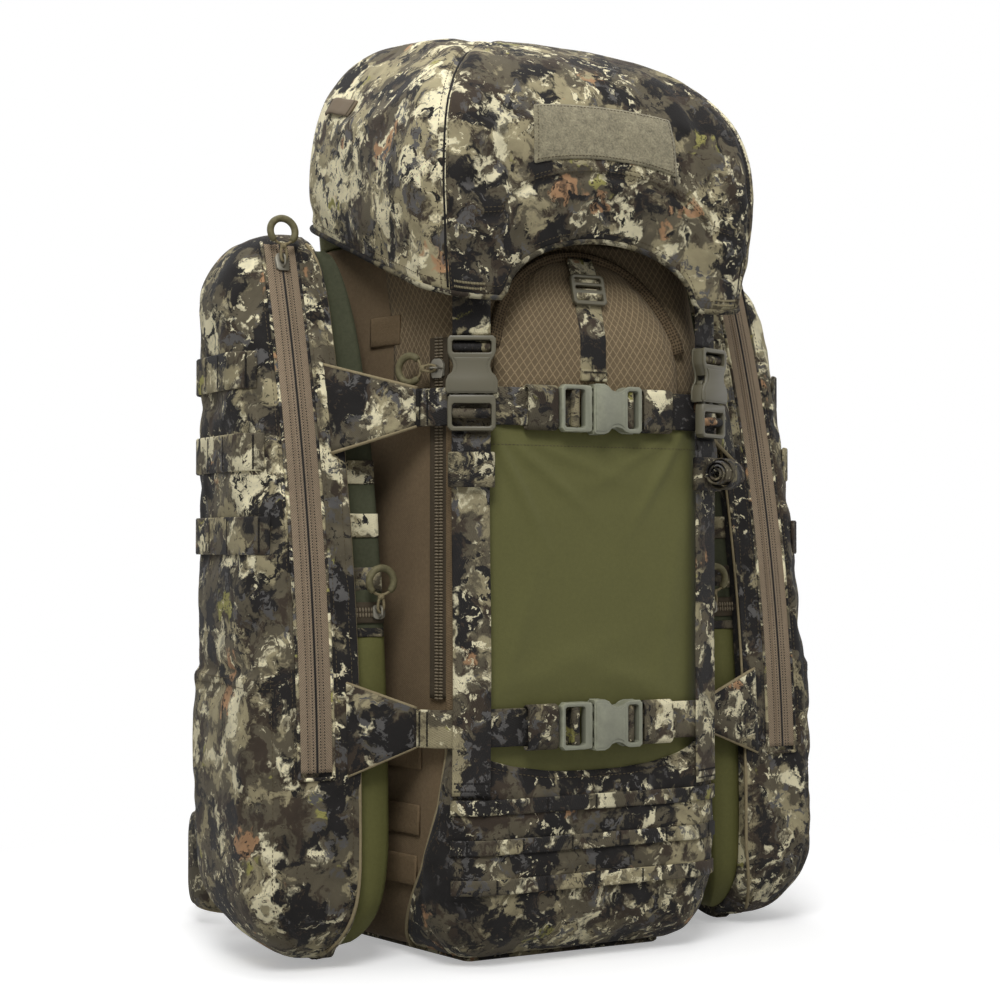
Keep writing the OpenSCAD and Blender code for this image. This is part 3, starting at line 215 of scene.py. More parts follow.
@dataclass(frozen=True)
class BagForm:
    """Sizes and skin of the main bag, in millimetres."""

    wide: Pair = (256, 212)
    depth: float = 188
    height: float = 488
    back_r: float = 38
    front_r: float = 36
    wrap_r: float = 44
    wall: float = 3
    edge: float = 28
    edge_h: float = 72
    lean_z: float = 418
    lean_y: float = 20
    base_t: float = 4
    side_turn: float = 79.05

    @property
    def corner_x(self) -> float:
        """Distance from the middle to a front corner's centre."""
        return self.wide[1] / 2 - self.front_r

    @property
    def face_y(self) -> float:
        """Place of the front, below where it leans back."""
        return -self.depth / 2

    def front_y(self, z: Value) -> Value:
        """Place of the front at a height."""
        return self.face_y + self.lean_y * np.maximum(0, (z - self.lean_z) / (self.height - self.lean_z))

    def draw(self, z: Value) -> Value:
        """How far the bottom edge draws the skin in at a height."""
        t = np.clip((z - self.base_t) / self.edge_h, 0, 1)
        return -self.edge * (1 - np.sqrt(1 - (1 - t) ** 2))

    def ring(self, z: float, off: float, n: Sequence[int]) -> Array:
        """Closed ring of the skin at a height.

        Args:
            z: height.
            off: distance out from the skin.
            n: steps on a corner, a side, the back and the front.

        Returns:
            Points from the right side round the back to the front.
        """
        flat = rounded_plan(self.wide, (self.depth / 2, float(self.front_y(z))), (self.back_r, self.front_r),
                            off + float(self.draw(z)), n)
        return points(*flat.T, z)

    def front(self, s: Value, z: Value, off: Value) -> Array:
        """Points on the front and round its corners.

        Args:
            s: distance across from the middle, along the skin.
            z: height.
            off: distance out from the skin.

        Returns:
            Points with one row for each s, z and off.
        """
        s, z, off = np.broadcast_arrays(*(np.asarray(v, float) for v in (s, z, off)))
        a = np.maximum(0, np.abs(s) - self.corner_x) / self.wrap_r
        turn = np.minimum(a, math.radians(self.side_turn))
        flat, run = np.minimum(np.abs(s), self.corner_x), (a - turn) * self.wrap_r
        r = self.front_r + off
        x = np.sign(s) * (flat + r * np.sin(turn) + run * np.cos(turn))
        return points(x, self.front_y(z) + self.front_r - r * np.cos(turn) + run * np.sin(turn), z)

    def corner_s(self, degrees: Value) -> Value:
        """Distance across the front to an angle round its right corner."""
        return self.corner_x + np.radians(degrees) * self.wrap_r

    def corner(self, side: int, z: float, degrees: float, off: float) -> Matrix:
        """Frame at an angle round a front corner and a distance out from its skin: X across, -Y outwards."""
        return (Place.on(side) @ Place.move(self.corner_x, self.face_y + self.front_r, z)
                @ Place.turn("Z", degrees) @ Place.move(0, -self.front_r - off, 0))


@dataclass(frozen=True)
class LidForm:
    """Sizes and dome of the lid, in millimetres."""

    wide: Pair = (261, 250)
    front_y: float = -115
    back_y: float = 102
    front_r: float = 33
    back_r: float = 36
    top: float = 640
    fall: float = 27
    rim_z: float = 488
    drop: float = 49
    rise: float = 28
    arch: float = 42
    arch_half: float = 74
    wall: float = 7
    bulge: float = 0.068
    middle_at: float = 0.62
    crest_at: float = 0.78
    flank: tuple[Pair, Pair] = ((7, 2.1), (0.43, 0.13))
    steps: tuple[int, int, int, int] = (10, 30, 34, 50)

    @property
    def middle(self) -> Array:
        """Point that the dome closes over."""
        return np.array([0, mix(self.front_y, self.back_y, self.middle_at)])

    def plan(self, off: float) -> Array:
        """Plan of the rim, grown by off."""
        return rounded_plan(self.wide, (self.back_y, self.front_y), (self.back_r, self.front_r), off, self.steps)

    def depth(self, p: Array) -> Array:
        """How far back points of the rim lie, from 0 at the front to 1 at the back."""
        return np.clip((p[..., 1] - self.front_y) / (self.back_y - self.front_y), 0, 1)

    def powers(self, p: Array) -> list[Array]:
        """Powers that shape the dome's flank over points of the plan."""
        return [mix(*ends, self.depth(p)) for ends in self.flank]

    def rim(self, p: Array) -> Array:
        """Height of the rim under points of the plan.

        Args:
            p: points of the plan.

        Returns:
            The heights.
        """
        u = np.clip(1 - (p[..., 0] / self.arch_half) ** 2, 0, 1)
        cut = np.where(p[..., 1] < self.front_y + 2 * self.wall, self.arch * np.sqrt(u), 0)
        return self.rim_z + mix(-self.drop, self.rise, self.depth(p)) + cut

    def place(self, p: Array, t: Value) -> Array:
        """Points of the dome.

        Args:
            p: points of the rim's plan.
            t: share of the way from the rim to the crown.

        Returns:
            Points in space.
        """
        high, low = self.powers(p)
        bulge = 1 + self.bulge * np.sin(np.pi * t) * (1 - self.depth(p))
        shrink = bulge * np.power(np.clip(1 - np.power(t, high), 0, 1), low)
        q = self.middle + (p - self.middle) * shrink[..., None]
        crest = mix(self.front_y, self.back_y, self.crest_at)
        crown = self.top - self.fall * (np.maximum(0, crest - q[..., 1]) / (crest - self.front_y)) ** 1.75
        return np.concatenate([q, mix(self.rim(p), crown, t)[..., None]], -1)


@dataclass(frozen=True)
class PodForm:
    """Sizes and skin of the right pod, in millimetres. The pairs of radii belong to its foot and its top."""

    inner_x: float = 152.6
    width: float = 68
    swell: float = 3
    pocket_z: float = 195
    gusset_in: float = 128.3
    gusset_out: float = 152.3
    gusset_back: float = 9
    foot: float = 3
    top: float = 495
    back_y: float = 80
    front_y: float = -63
    front_z: float = 84
    sweep_r: float = 1180
    edge_r: float = 26
    zip_x: float = 183.6
    zip_half: float = 11.5
    zip_foot: float = 132
    zip_top: float = 482
    out_r: Pair = (62, 54)
    fore_r: Pair = (48, 24)
    aft_r: Pair = (104, 26)
    inset_r: Pair = (68, 60)

    @property
    def sweep_y(self) -> float:
        """Place of the centre of the front's sweep."""
        return self.front_y + self.sweep_r

    def sweep(self, z: Value) -> Value:
        """Front of the pod's sweep at a height."""
        return self.sweep_y - np.sqrt(self.sweep_r ** 2 - (z - self.front_z) ** 2)

    def angle(self, z: float) -> float:
        """Angle along the sweep, in degrees, of a height."""
        return math.degrees(math.asin((z - self.front_z) / self.sweep_r))

    @staticmethod
    def draw_in(h: Value, r: float, rest: float) -> Value:
        """How far an end draws in at a distance h from it."""
        t = np.clip(h / r, 0, 1)
        return (r - rest) * (1 - np.sqrt(1 - (1 - t) ** 2))

    def ends(self, z: Value, r: Pair, rest: Pair = (2, 2), share: Pair = (1, 1)) -> Value:
        """How far the foot and the top draw the skin in at a height."""
        return (share[0] * self.draw_in(z - self.foot, r[0], rest[0])
                + share[1] * self.draw_in(self.top - z, r[1], rest[1]))

    def out(self, z: Value) -> Value:
        """Place of the outer side at a height."""
        pocket = self.swell * ease((self.pocket_z - z) / 6 + 0.5)
        return self.inner_x + self.width + pocket - self.ends(z, self.out_r, (2, 8))

    def fore(self, z: Value) -> Value:
        """Place of the front at a height."""
        return self.sweep(z) + self.ends(z, self.fore_r)

    def aft(self, z: Value) -> Value:
        """Place of the back at a height."""
        return self.back_y - self.ends(z, self.aft_r)

    def inset(self, z: Value) -> Value:
        """How far the front's inner edge curves away from the bag at a height."""
        return self.ends(z, self.inset_r, (4, 6), (0.45, 0.3))

    def box(self, z: float) -> Triple:
        """Place of the outer side, the front and the back at a height."""
        return float(self.out(z)), float(self.fore(z)), float(self.aft(z))

    def ring(self, z: float) -> Array:
        """Ring of the pod at a height, from its inner front edge round its outer side.

        Args:
            z: height.

        Returns:
            The ring's points.
        """
        x1, y0, y1 = self.box(z)
        wide, deep = x1 - self.inner_x, y1 - y0
        r = min(self.edge_r, 0.45 * deep, 0.45 * wide)
        inset = min(float(self.inset(z)), 0.4 * wide, 0.3 * deep)
        start, end = np.array([self.inner_x + inset, y0]), np.array([self.inner_x, y1])
        turn = np.array([self.inner_x, y0 + 0.9 * inset + 0.6])
        fore, aft = arc((x1 - r, y0 + r), r, 270, 360, 8), arc((x1 - r, y1 - r), r, 0, 90, 8)
        flat = np.concatenate([start[None], between(start, fore[0], 12), fore, between(fore[-1], aft[0], 19), aft,
                               between(aft[-1], end, 6), end[None], between(end, turn, 15), turn[None],
                               between(turn, start, 4)])
        return points(*flat.T, z)


BAG, LID, POD = BagForm(), LidForm(), PodForm()


# Finishes


def tone(r: int, g: int, b: int) -> tuple[float, float, float, float]:
    """Linear colour of an sRGB one with parts from 0 to 255."""
    c = [v / 255 for v in (r, g, b)]
    return (*(v / 12.92 if v <= 0.04045 else ((v + 0.055) / 1.055) ** 2.4 for v in c), 1.0)


class Tone(Enum):
    """Colours of the pack's materials."""

    STONE = tone(94, 87, 71)
    KHAKI = tone(158, 148, 117)
    CREAM = tone(228, 219, 184)
    TAN = tone(168, 132, 98)
    MOSS = tone(150, 145, 86)
    UMBER = tone(62, 53, 44)
    CHARCOAL = tone(32, 30, 29)
    BROWN = tone(104, 88, 66)
    OLIVE = tone(97, 96, 55)
    SLATE = tone(92, 90, 88)
    SAGE = tone(66, 68, 51)
    SHADE = tone(66, 58, 46)
    TAPE = tone(158, 140, 117)
    TEETH = tone(132, 120, 99)
    RIPSTOP = tone(120, 104, 80)
    CLASP = tone(134, 135, 117)
    EDGE = tone(138, 126, 98)
    BUCKLE = tone(116, 114, 93)
    PATCH = tone(156, 148, 122)
    CORD = tone(138, 126, 96)
    SLEEVE = tone(112, 106, 78)
    METAL = tone(120, 116, 104)
    PAD = tone(58, 55, 46)
    THREAD = tone(90, 80, 62)
    SHEET = tone(34, 34, 34)


class Graph:
    """Adds linked nodes to a tree."""

    def __init__(self, tree: Tree) -> None:
        """Starts on a tree."""
        self.tree = tree

    def add(self, kind: str, feeds: dict | None = None, **settings) -> Node:
        """Adds a node.

        Args:
            kind: Blender's name of the node type.
            feeds: values or output sockets for its inputs, by name or number.
            settings: properties of the node.

        Returns:
            The node.
        """
        node = self.tree.nodes.new(kind)
        for key, value in settings.items():
            setattr(node, key, value)
        for key, value in (feeds or {}).items():
            if isinstance(value, Socket):
                self.tree.links.new(value, node.inputs[key])
            else:
                node.inputs[key].default_value = value
        return node

    def out(self, kind: str, feeds: dict | None = None, **settings) -> Socket:
        """First output of a new node."""
        return self.add(kind, feeds, **settings).outputs[0]

    def math(self, how: str, a: Socket | float, b: Socket | float = 0.0, c: Socket | float = 0.5) -> Socket:
        """Result of a sum on values or sockets."""
        return self.out("ShaderNodeMath", {0: a, 1: b, 2: c}, operation=how)

    def step(self, value: Socket, low: float, high: float) -> Socket:
        """Smooth mask that goes from 0 at low to 1 at high."""
        feeds = {"Value": value, "From Min": low, "From Max": high}
        return self.out("ShaderNodeMapRange", feeds, interpolation_type="SMOOTHSTEP")

    def scaled(self, value: Socket, low: float, high: float, start: float = 0.0, end: float = 1.0) -> Socket:
        """Value that goes evenly from low to high between start and end."""
        feeds = {"Value": value, "From Min": start, "From Max": end, "To Min": low, "To Max": high}
        return self.out("ShaderNodeMapRange", feeds)

    def blend(self, mask: Socket | float, a: Paint, b: Paint, how: str = "MIX") -> Socket:
        """Colour that goes from a to b with a mask."""
        return self.add("ShaderNodeMix", {0: mask, 6: a, 7: b}, data_type="RGBA", blend_type=how).outputs[2]

    def tint(self, colour: Paint, by: Paint) -> Socket:
        """Colour multiplied by a colour or a value."""
        return self.blend(1.0, colour, by, "MULTIPLY")

    def noise(self, vector: Socket, scale: float, detail: float = 2, rough: float = 0.5, shift: float = 0) -> Socket:
        """Value of a noise of a scale, shifted so that two of them differ."""
        if shift:
            vector = self.out("ShaderNodeVectorMath", {0: vector, 1: (shift, 1.3 * shift, -0.7 * shift)})
        return self.out("ShaderNodeTexNoise", {"Vector": vector, "Scale": scale, "Detail": detail, "Roughness": rough})


class Effects:
    """Shader groups that several finishes share."""

    # Colour, scale, detail, level, softness and pull of the clusters of each blotch
    BLOTCHES = ((Tone.UMBER, 40, 4, 0.50, 0.07, 0), (Tone.KHAKI, 33, 5, 0.52, 0.07, 1),
                (Tone.CREAM, 38, 5, 0.56, 0.06, 1), (Tone.TAN, 22, 3, 0.65, 0.03, 0),
                (Tone.MOSS, 25, 3, 0.65, 0.03, 0), (Tone.CHARCOAL, 30, 5, 0.515, 0.05, -1))
    # Colour, scale and level of each kind of fleck
    FLECKS = ((Tone.CHARCOAL, 105, 0.55), (Tone.CREAM, 120, 0.585), (Tone.SLATE, 90, 0.56), (Tone.UMBER, 240, 0.58))

    @staticmethod
    def start(name: str, inputs: dict[str, str], output: tuple[str, str]) -> tuple[Graph, dict]:
        """Starts a group.

        Args:
            name: name of the group.
            inputs: kind of each input socket.
            output: name and kind of its output socket.

        Returns:
            The group's graph and its input sockets.
        """
        tree = bpy.data.node_groups.new(name, "ShaderNodeTree")
        for key, kind in inputs.items():
            tree.interface.new_socket(key, in_out="INPUT", socket_type=f"NodeSocket{kind}")
        tree.interface.new_socket(output[0], in_out="OUTPUT", socket_type=f"NodeSocket{output[1]}")
        feed = tree.nodes.new("NodeGroupInput").outputs
        return Graph(tree), {key: feed[key] for key in inputs}

    @staticmethod
    @cache
    def camo() -> Tree:
        """Group with the camouflage print: soft-edged blotches with scattered flecks."""
        g, feed = Effects.start("CamoPrint", {"Vector": "Vector", "Bias": "Float"}, ("Color", "Color"))
        v = feed["Vector"]
        drift = g.add("ShaderNodeTexNoise", {"Vector": v, "Scale": 55.0, "Detail": 4.0}).outputs["Color"]
        drift = g.out("ShaderNodeVectorMath", {0: drift, 1: (0.5, 0.5, 0.5)}, operation="SUBTRACT")
        drift = g.out("ShaderNodeVectorMath", {0: drift, "Scale": 0.028}, operation="SCALE")
        v = g.out("ShaderNodeVectorMath", {0: v, 1: drift})
        cluster = g.math("MULTIPLY", g.math("SUBTRACT", g.noise(v, 9, 2, 0.5, 57.0), 0.5), 0.35)
        cluster = g.math("ADD", cluster, feed["Bias"])
        colour = Tone.STONE.value
        for i, (shade, scale, detail, level, soft, pull) in enumerate(Effects.BLOTCHES):
            value = g.noise(v, scale, detail, 0.6, 3.1 * (i + 1))
            if pull:
                value = g.math("ADD" if pull > 0 else "SUBTRACT", value, cluster)
            colour = g.blend(g.step(value, level, level + soft), colour, shade.value)
        for i, (shade, scale, level) in enumerate(Effects.FLECKS):
            patch = g.step(g.noise(v, 15, 2, 0.5, 23.0 + 5 * i), 0.48, 0.55)
            fleck = g.step(g.noise(v, scale, 4, 0.65, 41.0 + 3 * i), level, level + 0.045)
            colour = g.blend(g.math("MULTIPLY", patch, fleck), colour, shade.value)
        worn = g.scaled(g.noise(v, 70, 4), 0.55, 1.42)
        g.add("NodeGroupOutput", {"Color": g.tint(colour, worn)})
        return g.tree

    @staticmethod
    @cache
    def weave() -> Tree:
        """Group with the height of a woven cloth from 0 to 1."""
        g, feed = Effects.start("Weave", {"Vector": "Vector", "Across": "Float", "Along": "Float"},
                                ("Height", "Float"))
        xyz = g.add("ShaderNodeSeparateXYZ", {0: feed["Vector"]}).outputs
        waves = [g.math("SINE", g.math("DIVIDE", xyz[i], g.math("DIVIDE", feed[key], math.tau)))
                 for i, key in enumerate(("Across", "Along"))]
        basket = g.math("MULTIPLY_ADD", g.math("MULTIPLY", *waves), 0.3)
        g.add("NodeGroupOutput", {"Height": g.math("ADD", basket, g.noise(feed["Vector"], 900, 3))})
        return g.tree

    @staticmethod
    @cache
    def fade() -> Tree:
        """Group that mottles a colour a little, as use and light do."""
        g, feed = Effects.start("Fade", {"Color": "Color", "Vector": "Vector", "Amount": "Float"}, ("Color", "Color"))
        patches = g.math("ADD", g.noise(feed["Vector"], 16, 4, 0.6), g.noise(feed["Vector"], 420, 2, 0.6, 7.0))
        share = g.math("MULTIPLY_ADD", g.math("SUBTRACT", patches, 1.0), feed["Amount"], 1.0)
        g.add("NodeGroupOutput", {"Color": g.tint(feed["Color"], share)})
        return g.tree


class Coat(Graph):
    """Graph of a material with its principled shader."""

    def __init__(self, made: bpy.types.Material) -> None:
        """Starts on a new material.

        Args:
            made: the material.
        """
        made.use_nodes = True
        super().__init__(made.node_tree)
        self.shader = made.node_tree.nodes["Principled BSDF"]

    def objects(self) -> Socket:
        """Coordinates in the pack's frame."""
        return self.add("ShaderNodeTexCoord").outputs["Object"]

    def cloth(self) -> Socket:
        """Coordinates along the cloth, in metres."""
        return self.out("ShaderNodeUVMap", uv_map="cloth")

    def group(self, tree: Tree, feeds: dict) -> Socket:
        """Output of a shared group with its own values."""
        return self.out("ShaderNodeGroup", feeds, node_tree=tree)

    def weave(self, across: float, along: float) -> Socket:
        """Height of a weave with two pitches in metres."""
        return self.group(Effects.weave(), {"Vector": self.cloth(), "Across": across, "Along": along})

    def dyed(self, colour: Tone, amount: float) -> Socket:
        """Colour that is mottled by an amount."""
        return self.group(Effects.fade(), {"Color": colour.value, "Vector": self.objects(), "Amount": amount})

    def feed(self, key: str, value: Socket) -> None:
        """Links a socket to an input of the shader."""
        self.tree.links.new(value, self.shader.inputs[key])

    def dress(self, colour: Socket, height: Socket, depth: float, strength: float) -> None:
        """Gives the shader its colour and relief.

        Args:
            colour: its colour.
            height: height of its relief from 0 to 1.
            depth: metres that a height of 1 stands for.
            strength: share of the relief that shows.
        """
        self.feed("Base Color", colour)
        self.feed("Normal", self.out("ShaderNodeBump", {"Height": height, "Distance": depth, "Strength": strength}))


@dataclass(frozen=True)
class Finish:
    """Base of the finishes: a named material with a principled shader."""

    name: str
    rough: float = 0.85
    sheen: float = 0.0
    shine: float = 0.2

    def material(self) -> bpy.types.Material:
        """Material of this finish, made once."""
        made = bpy.data.materials.get(self.name)
        if not made:
            made = bpy.data.materials.new(self.name)
            g = Coat(made)
            for key, value in (("Roughness", self.rough), ("Specular IOR Level", self.shine),
                               ("Sheen Weight", self.sheen), ("Sheen Roughness", 0.5)):
                g.shader.inputs[key].default_value = value
            self.paint(g)
        return made

    def paint(self, g: Coat) -> None:
        """Feeds the shader's colour and relief.

        Args:
            g: graph of the material.
        """


@dataclass(frozen=True)
class Camo(Finish):
    """Printed cloth or webbing."""

    turn: Triple = (0.0, 0.0, 0.0)
    shift: Triple = (0.0, 0.0, 0.0)
    stretch: Triple = (1.0, 1.0, 1.0)
    across: float = 0.0011
    along: float = 0.0011
    depth: float = 0.0005
    shade: float = 1.0
    # Darkest share that the print falls to in the weave's dips: painted shade of the threads.
    rib: float = 0.8
    pale: float = 0.0

    def paint(self, g: Coat) -> None:
        """Feeds the print and the weave, whose low threads are darkened and high ones lightened as painted shade and
        highlight.

        Args:
            g: graph of the material.
        """
        feeds = {"Vector": g.objects(), "Location": self.shift, "Rotation": self.turn, "Scale": self.stretch}
        colour = g.group(Effects.camo(), {"Vector": g.out("ShaderNodeMapping", feeds), "Bias": self.pale})
        weave = g.weave(self.across, self.along)
        # The print is darkened where the weave dips and lightened on its crests, as painted shade and highlight of the
        # threads, and scaled as a whole by shade.
        weave_shade = g.scaled(weave, self.rib * self.shade, 1.1 * self.shade, 0.2, 0.8)
        g.dress(g.tint(colour, weave_shade), weave, self.depth, 0.5)


@dataclass(frozen=True)
class Woven(Finish):
    """Plain dyed cloth, tape or webbing."""

    colour: Tone = Tone.BROWN
    across: float = 0.0012
    along: float = 0.0012
    depth: float = 0.0005
    mottle: float = 0.5
    # Strength of the painted shade in the weave's dips and the painted highlight on its crests.
    contrast: float = 0.25

    def paint(self, g: Coat) -> None:
        """Feeds the dye and the weave, whose low threads are darkened and high ones lightened as painted shade and
        highlight.

        Args:
            g: graph of the material.
        """
        weave = g.weave(self.across, self.along)
        # The dye is darkened where the weave dips and lightened on its crests: painted shade and highlight of the
        # threads.
        weave_shade = g.scaled(weave, 1 - self.contrast, 1 + self.contrast, 0.2, 0.8)
        g.dress(g.tint(g.dyed(self.colour, self.mottle), weave_shade), weave, self.depth, 0.55)


@dataclass(frozen=True)
class Herringbone(Finish):
    """Zip tape whose ribs slant away from its middle."""

    colour: Tone = Tone.TAPE
    middle: float = 0.0144
    pitch: float = 0.0016

    def paint(self, g: Coat) -> None:
        """Feeds the ribs.

        Args:
            g: graph of the material.
        """
        xyz = g.add("ShaderNodeSeparateXYZ", {0: g.cloth()}).outputs
        run = g.math("ADD", g.math("ABSOLUTE", g.math("SUBTRACT", xyz[0], self.middle)), xyz[1])
        rib = g.math("PINGPONG", g.math("ADD", run, 1.0), self.pitch / 2)
        rib = g.step(rib, 0.1 * self.pitch, 0.42 * self.pitch)
        g.dress(g.tint(g.dyed(self.colour, 0.4), g.scaled(rib, 0.62, 1.18)), rib, 0.0006, 0.6)


@dataclass(frozen=True)
class Ripstop(Finish):
    """Brown cloth with a raised diamond grid of lighter threads."""

    colour: Tone = Tone.RIPSTOP
    pitch: float = 0.0046
    slant: float = 0.62

    def paint(self, g: Coat) -> None:
        """Feeds the grid and its relief.

        Args:
            g: graph of the material.
        """
        xyz = g.add("ShaderNodeSeparateXYZ", {0: g.cloth()}).outputs
        lines = []
        for slant in (self.slant, -self.slant):
            run = g.math("ADD", xyz[0], g.math("MULTIPLY", xyz[1], slant))
            gap = g.math("PINGPONG", g.math("ADD", run, 1.0), self.pitch / 2)
            lines.append(g.step(gap, 0.00055, 0.0002))
        grid = g.math("MAXIMUM", *lines)
        colour = g.dyed(self.colour, 0.5)
        light = g.tint(colour, (1.85, 1.9, 1.9, 1))
        height = g.math("MULTIPLY_ADD", grid, 1.2, g.weave(0.0009, 0.0009))
        g.dress(g.blend(grid, colour, light), height, 0.0005, 0.6)


@dataclass(frozen=True)
class Mesh3D(Finish):
    """Spacer mesh: a dark cloth with rows of small open cells."""

    colour: Tone = Tone.SHADE
    cell: float = 0.0034

    def paint(self, g: Coat) -> None:
        """Feeds the cells, darkened as painted shade inside their holes.

        Args:
            g: graph of the material.
        """
        feeds = {"Vector": g.cloth(), "Scale": 1 / self.cell, "Randomness": 0.25}
        gap = g.add("ShaderNodeTexVoronoi", feeds, voronoi_dimensions="2D").outputs["Distance"]
        cell = g.step(gap, 0.42, 0.2)
        colour = g.dyed(self.colour, 0.5)
        # The open cells are darkened to a third of the cloth's colour: painted shade inside the holes.
        dark = g.tint(colour, (0.35, 0.35, 0.35, 1))
        g.dress(g.blend(cell, colour, dark), g.math("SUBTRACT", 1.0, cell), 0.001, 0.7)


@dataclass(frozen=True)
class Pile(Finish):
    """Fuzzy loop pile of a fastening patch."""

    colour: Tone = Tone.PATCH

    def paint(self, g: Coat) -> None:
        """Feeds the loops' colour and relief.

        Args:
            g: graph of the material.
        """
        at = g.objects()
        loops = g.math("MULTIPLY", g.noise(at, 700, 3, 0.7), 0.75)
        tufts = g.math("ADD", loops, g.math("MULTIPLY", g.noise(at, 180, 2, 0.5, 3.0), 0.4))
        g.dress(g.tint(self.colour.value, g.scaled(tufts, 0.45, 1.35, 0.35, 0.8)), tufts, 0.0012, 0.9)


@dataclass(frozen=True)
class Hard(Finish):
    """Moulded plastic or painted metal with a fine grain and paler edges, partly worn and partly a painted highlight.
    """

    colour: Tone = Tone.BUCKLE
    shine: float = 0.5
    metal: float = 0.0
    grain: float = 900
    # Share by which sharp edges are made paler: partly wear, partly painted highlight.
    wear_and_highlight: float = 0.35

    def paint(self, g: Coat) -> None:
        """Feeds the colour, the paler edges, partly wear and partly painted highlight, and the grain.

        Args:
            g: graph of the material.
        """
        g.shader.inputs["Metallic"].default_value = self.metal
        at = g.objects()
        colour = g.dyed(self.colour, 0.25)
        # Sharp edges, found by pointiness, are made paler in patches: partly rubbed wear, partly a painted highlight
        # on the edges.
        edge = g.step(g.add("ShaderNodeNewGeometry").outputs["Pointiness"], 0.52, 0.6)
        scuff_and_highlight = g.math("MULTIPLY", g.math("MULTIPLY", edge, g.step(g.noise(at, 120, 3), 0.35, 0.6)), self.wear_and_highlight)
        pale = g.tint(colour, (1.7, 1.7, 1.65, 1))
        g.feed("Roughness", g.scaled(g.noise(at, 60, 3), self.rough - 0.1, self.rough + 0.1))
        g.dress(g.blend(scuff_and_highlight, colour, pale), g.noise(at, self.grain, 2, 0.6), 0.0002, 0.25)


@dataclass(frozen=True)
class Braid(Finish):
    """Twisted cord or thread, or a rubbed sleeve."""

    colour: Tone = Tone.CORD
    pitch: float = 900

    def paint(self, g: Coat) -> None:
        """Feeds the strands.

        Args:
            g: graph of the material.
        """
        strands = g.noise(g.objects(), self.pitch, 3, 0.6)
        g.dress(g.tint(self.colour.value, g.scaled(strands, 0.7, 1.2, 0.3, 0.7)), strands, 0.0003, 0.5)


LID_CAMO = Camo("lid_camo", sheen=0.05, pale=-0.012, shift=(0.31, 0.07, 0.02), turn=(0.3, 0.0, 0.2))
RIM_CAMO = Camo("rim_camo", shift=(0.5, 0.1, 0.3), shade=0.55)
LID_SIDE_CAMO = Camo("lid_side_camo", sheen=0.05, shade=1.15, pale=0.035, shift=(1.31, 0.47, 0.12),
                     turn=(0.0, 0.6, 0.2))
POD_CAMO = Camo("pod_camo", sheen=0.05, shift=(0.83, 0.55, 0.11), turn=(0.0, 0.2, 0.0))
BOOT_CAMO = Camo("boot_camo", sheen=0.05, pale=-0.012, shift=(0.12, 0.91, 0.43))
TAB_CAMO = Camo("tab_camo", sheen=0.05, shift=(0.62, 0.21, 0.33))
BELT_CAMO = Camo("belt_camo", sheen=0.05, shift=(0.22, 0.71, 0.93), shade=0.8)
LIP_CAMO = Camo("lip_camo", shift=(0.4, 0.5, 0.9), stretch=(2.0, 2.0, 2.0), shade=1.15)
WEB_CAMO = Camo("webbing_camo", rough=0.7, shift=(0.47, 0.13, 0.77), turn=(0.5, 0.3, 0.0), across=0.0016,
                along=0.0034, depth=0.0008, shade=0.97, rib=0.5, pale=-0.004)
KEEPER_CAMO = Camo("keeper_camo", rough=0.7, shift=(0.9, 0.2, 0.6), across=0.0016, along=0.0034, depth=0.0008,
                   shade=0.75)
ROW_CAMO = Camo("row_camo", rough=0.7, shift=(0.07, 0.93, 0.17), turn=(0.0, 0.3, 0.6), across=0.0034,
                along=0.0016, depth=0.0008, rib=0.55)
BROWN_CLOTH = Woven("brown_packcloth", across=0.0022, along=0.0013, sheen=0.05, contrast=0.4)
BROWN_WEB = Woven("brown_webbing", across=0.0034, along=0.0016, depth=0.0009, contrast=0.35)
OLIVE_CLOTH = Woven("olive_cloth", colour=Tone.OLIVE, rough=0.75, across=0.0009, along=0.0009, depth=0.0003,
                    mottle=0.25, contrast=0.1)
OLIVE_STRETCH = Woven("olive_stretch", colour=Tone.OLIVE, rough=0.62, sheen=0.1, across=0.0008, along=0.0008,
                      depth=0.0002, mottle=0.2, contrast=0.08)
GUSSET_CLOTH = Woven("gusset_cloth", colour=Tone.SAGE, rough=0.8, depth=0.0004)
DARK_TAPE = Woven("dark_tape", colour=Tone.SHADE, across=0.0014, along=0.0014)
PAD_CLOTH = Woven("pad_cloth", colour=Tone.PAD)
PIPING = Woven("tan_piping", colour=Tone.EDGE)
TAN_WEB = Woven("tan_webbing", colour=Tone.PATCH, across=0.0034, along=0.0016, depth=0.0009, contrast=0.3)
PAD_MESH = Mesh3D("pad_mesh", colour=Tone.PAD)
EDGE_MESH = Mesh3D("edge_mesh", colour=Tone.BROWN, cell=0.0022)
RIPSTOP = Ripstop("brown_ripstop", sheen=0.05)
LOOP_PILE = Pile("loop_pile", rough=0.95, sheen=0.3)
ZIP_TAPE = Herringbone("zip_tape_weave", rough=0.8)
ZIP_COIL = Braid("zip_coil", colour=Tone.CHARCOAL, rough=0.5)
ZIP_DASH = Braid("zip_dash", colour=Tone.CHARCOAL, rough=0.8)
ZIP_TEETH = Braid("zip_teeth", colour=Tone.TEETH, rough=0.4)
CORD = Braid("pull_cord_braid", rough=0.85)
SLEEVE = Braid("pull_sleeve", colour=Tone.SLEEVE, rough=0.6, pitch=300)
THREAD = Braid("seam_thread", colour=Tone.THREAD, rough=0.8)
DARK_THREAD = Braid("dark_thread", colour=Tone.CHARCOAL, rough=0.8)
PALE_THREAD = Braid("pale_thread", colour=Tone.KHAKI, rough=0.8)
BUCKLE = Hard("buckle_plastic", rough=0.4, wear_and_highlight=0.7)
CLASP = Hard("clasp_plastic", rough=0.4, colour=Tone.CLASP, wear_and_highlight=0.7)
SLIDER = Hard("slider_paint", rough=0.4, colour=Tone.METAL, metal=0.6, wear_and_highlight=0.5)
ALLOY = Hard("stay_alloy_finish", rough=0.35, colour=Tone.METAL, metal=0.9, wear_and_highlight=0.2)
SHEET = Hard("frame_sheet_plastic", rough=0.5, colour=Tone.SHEET)


# Making pieces


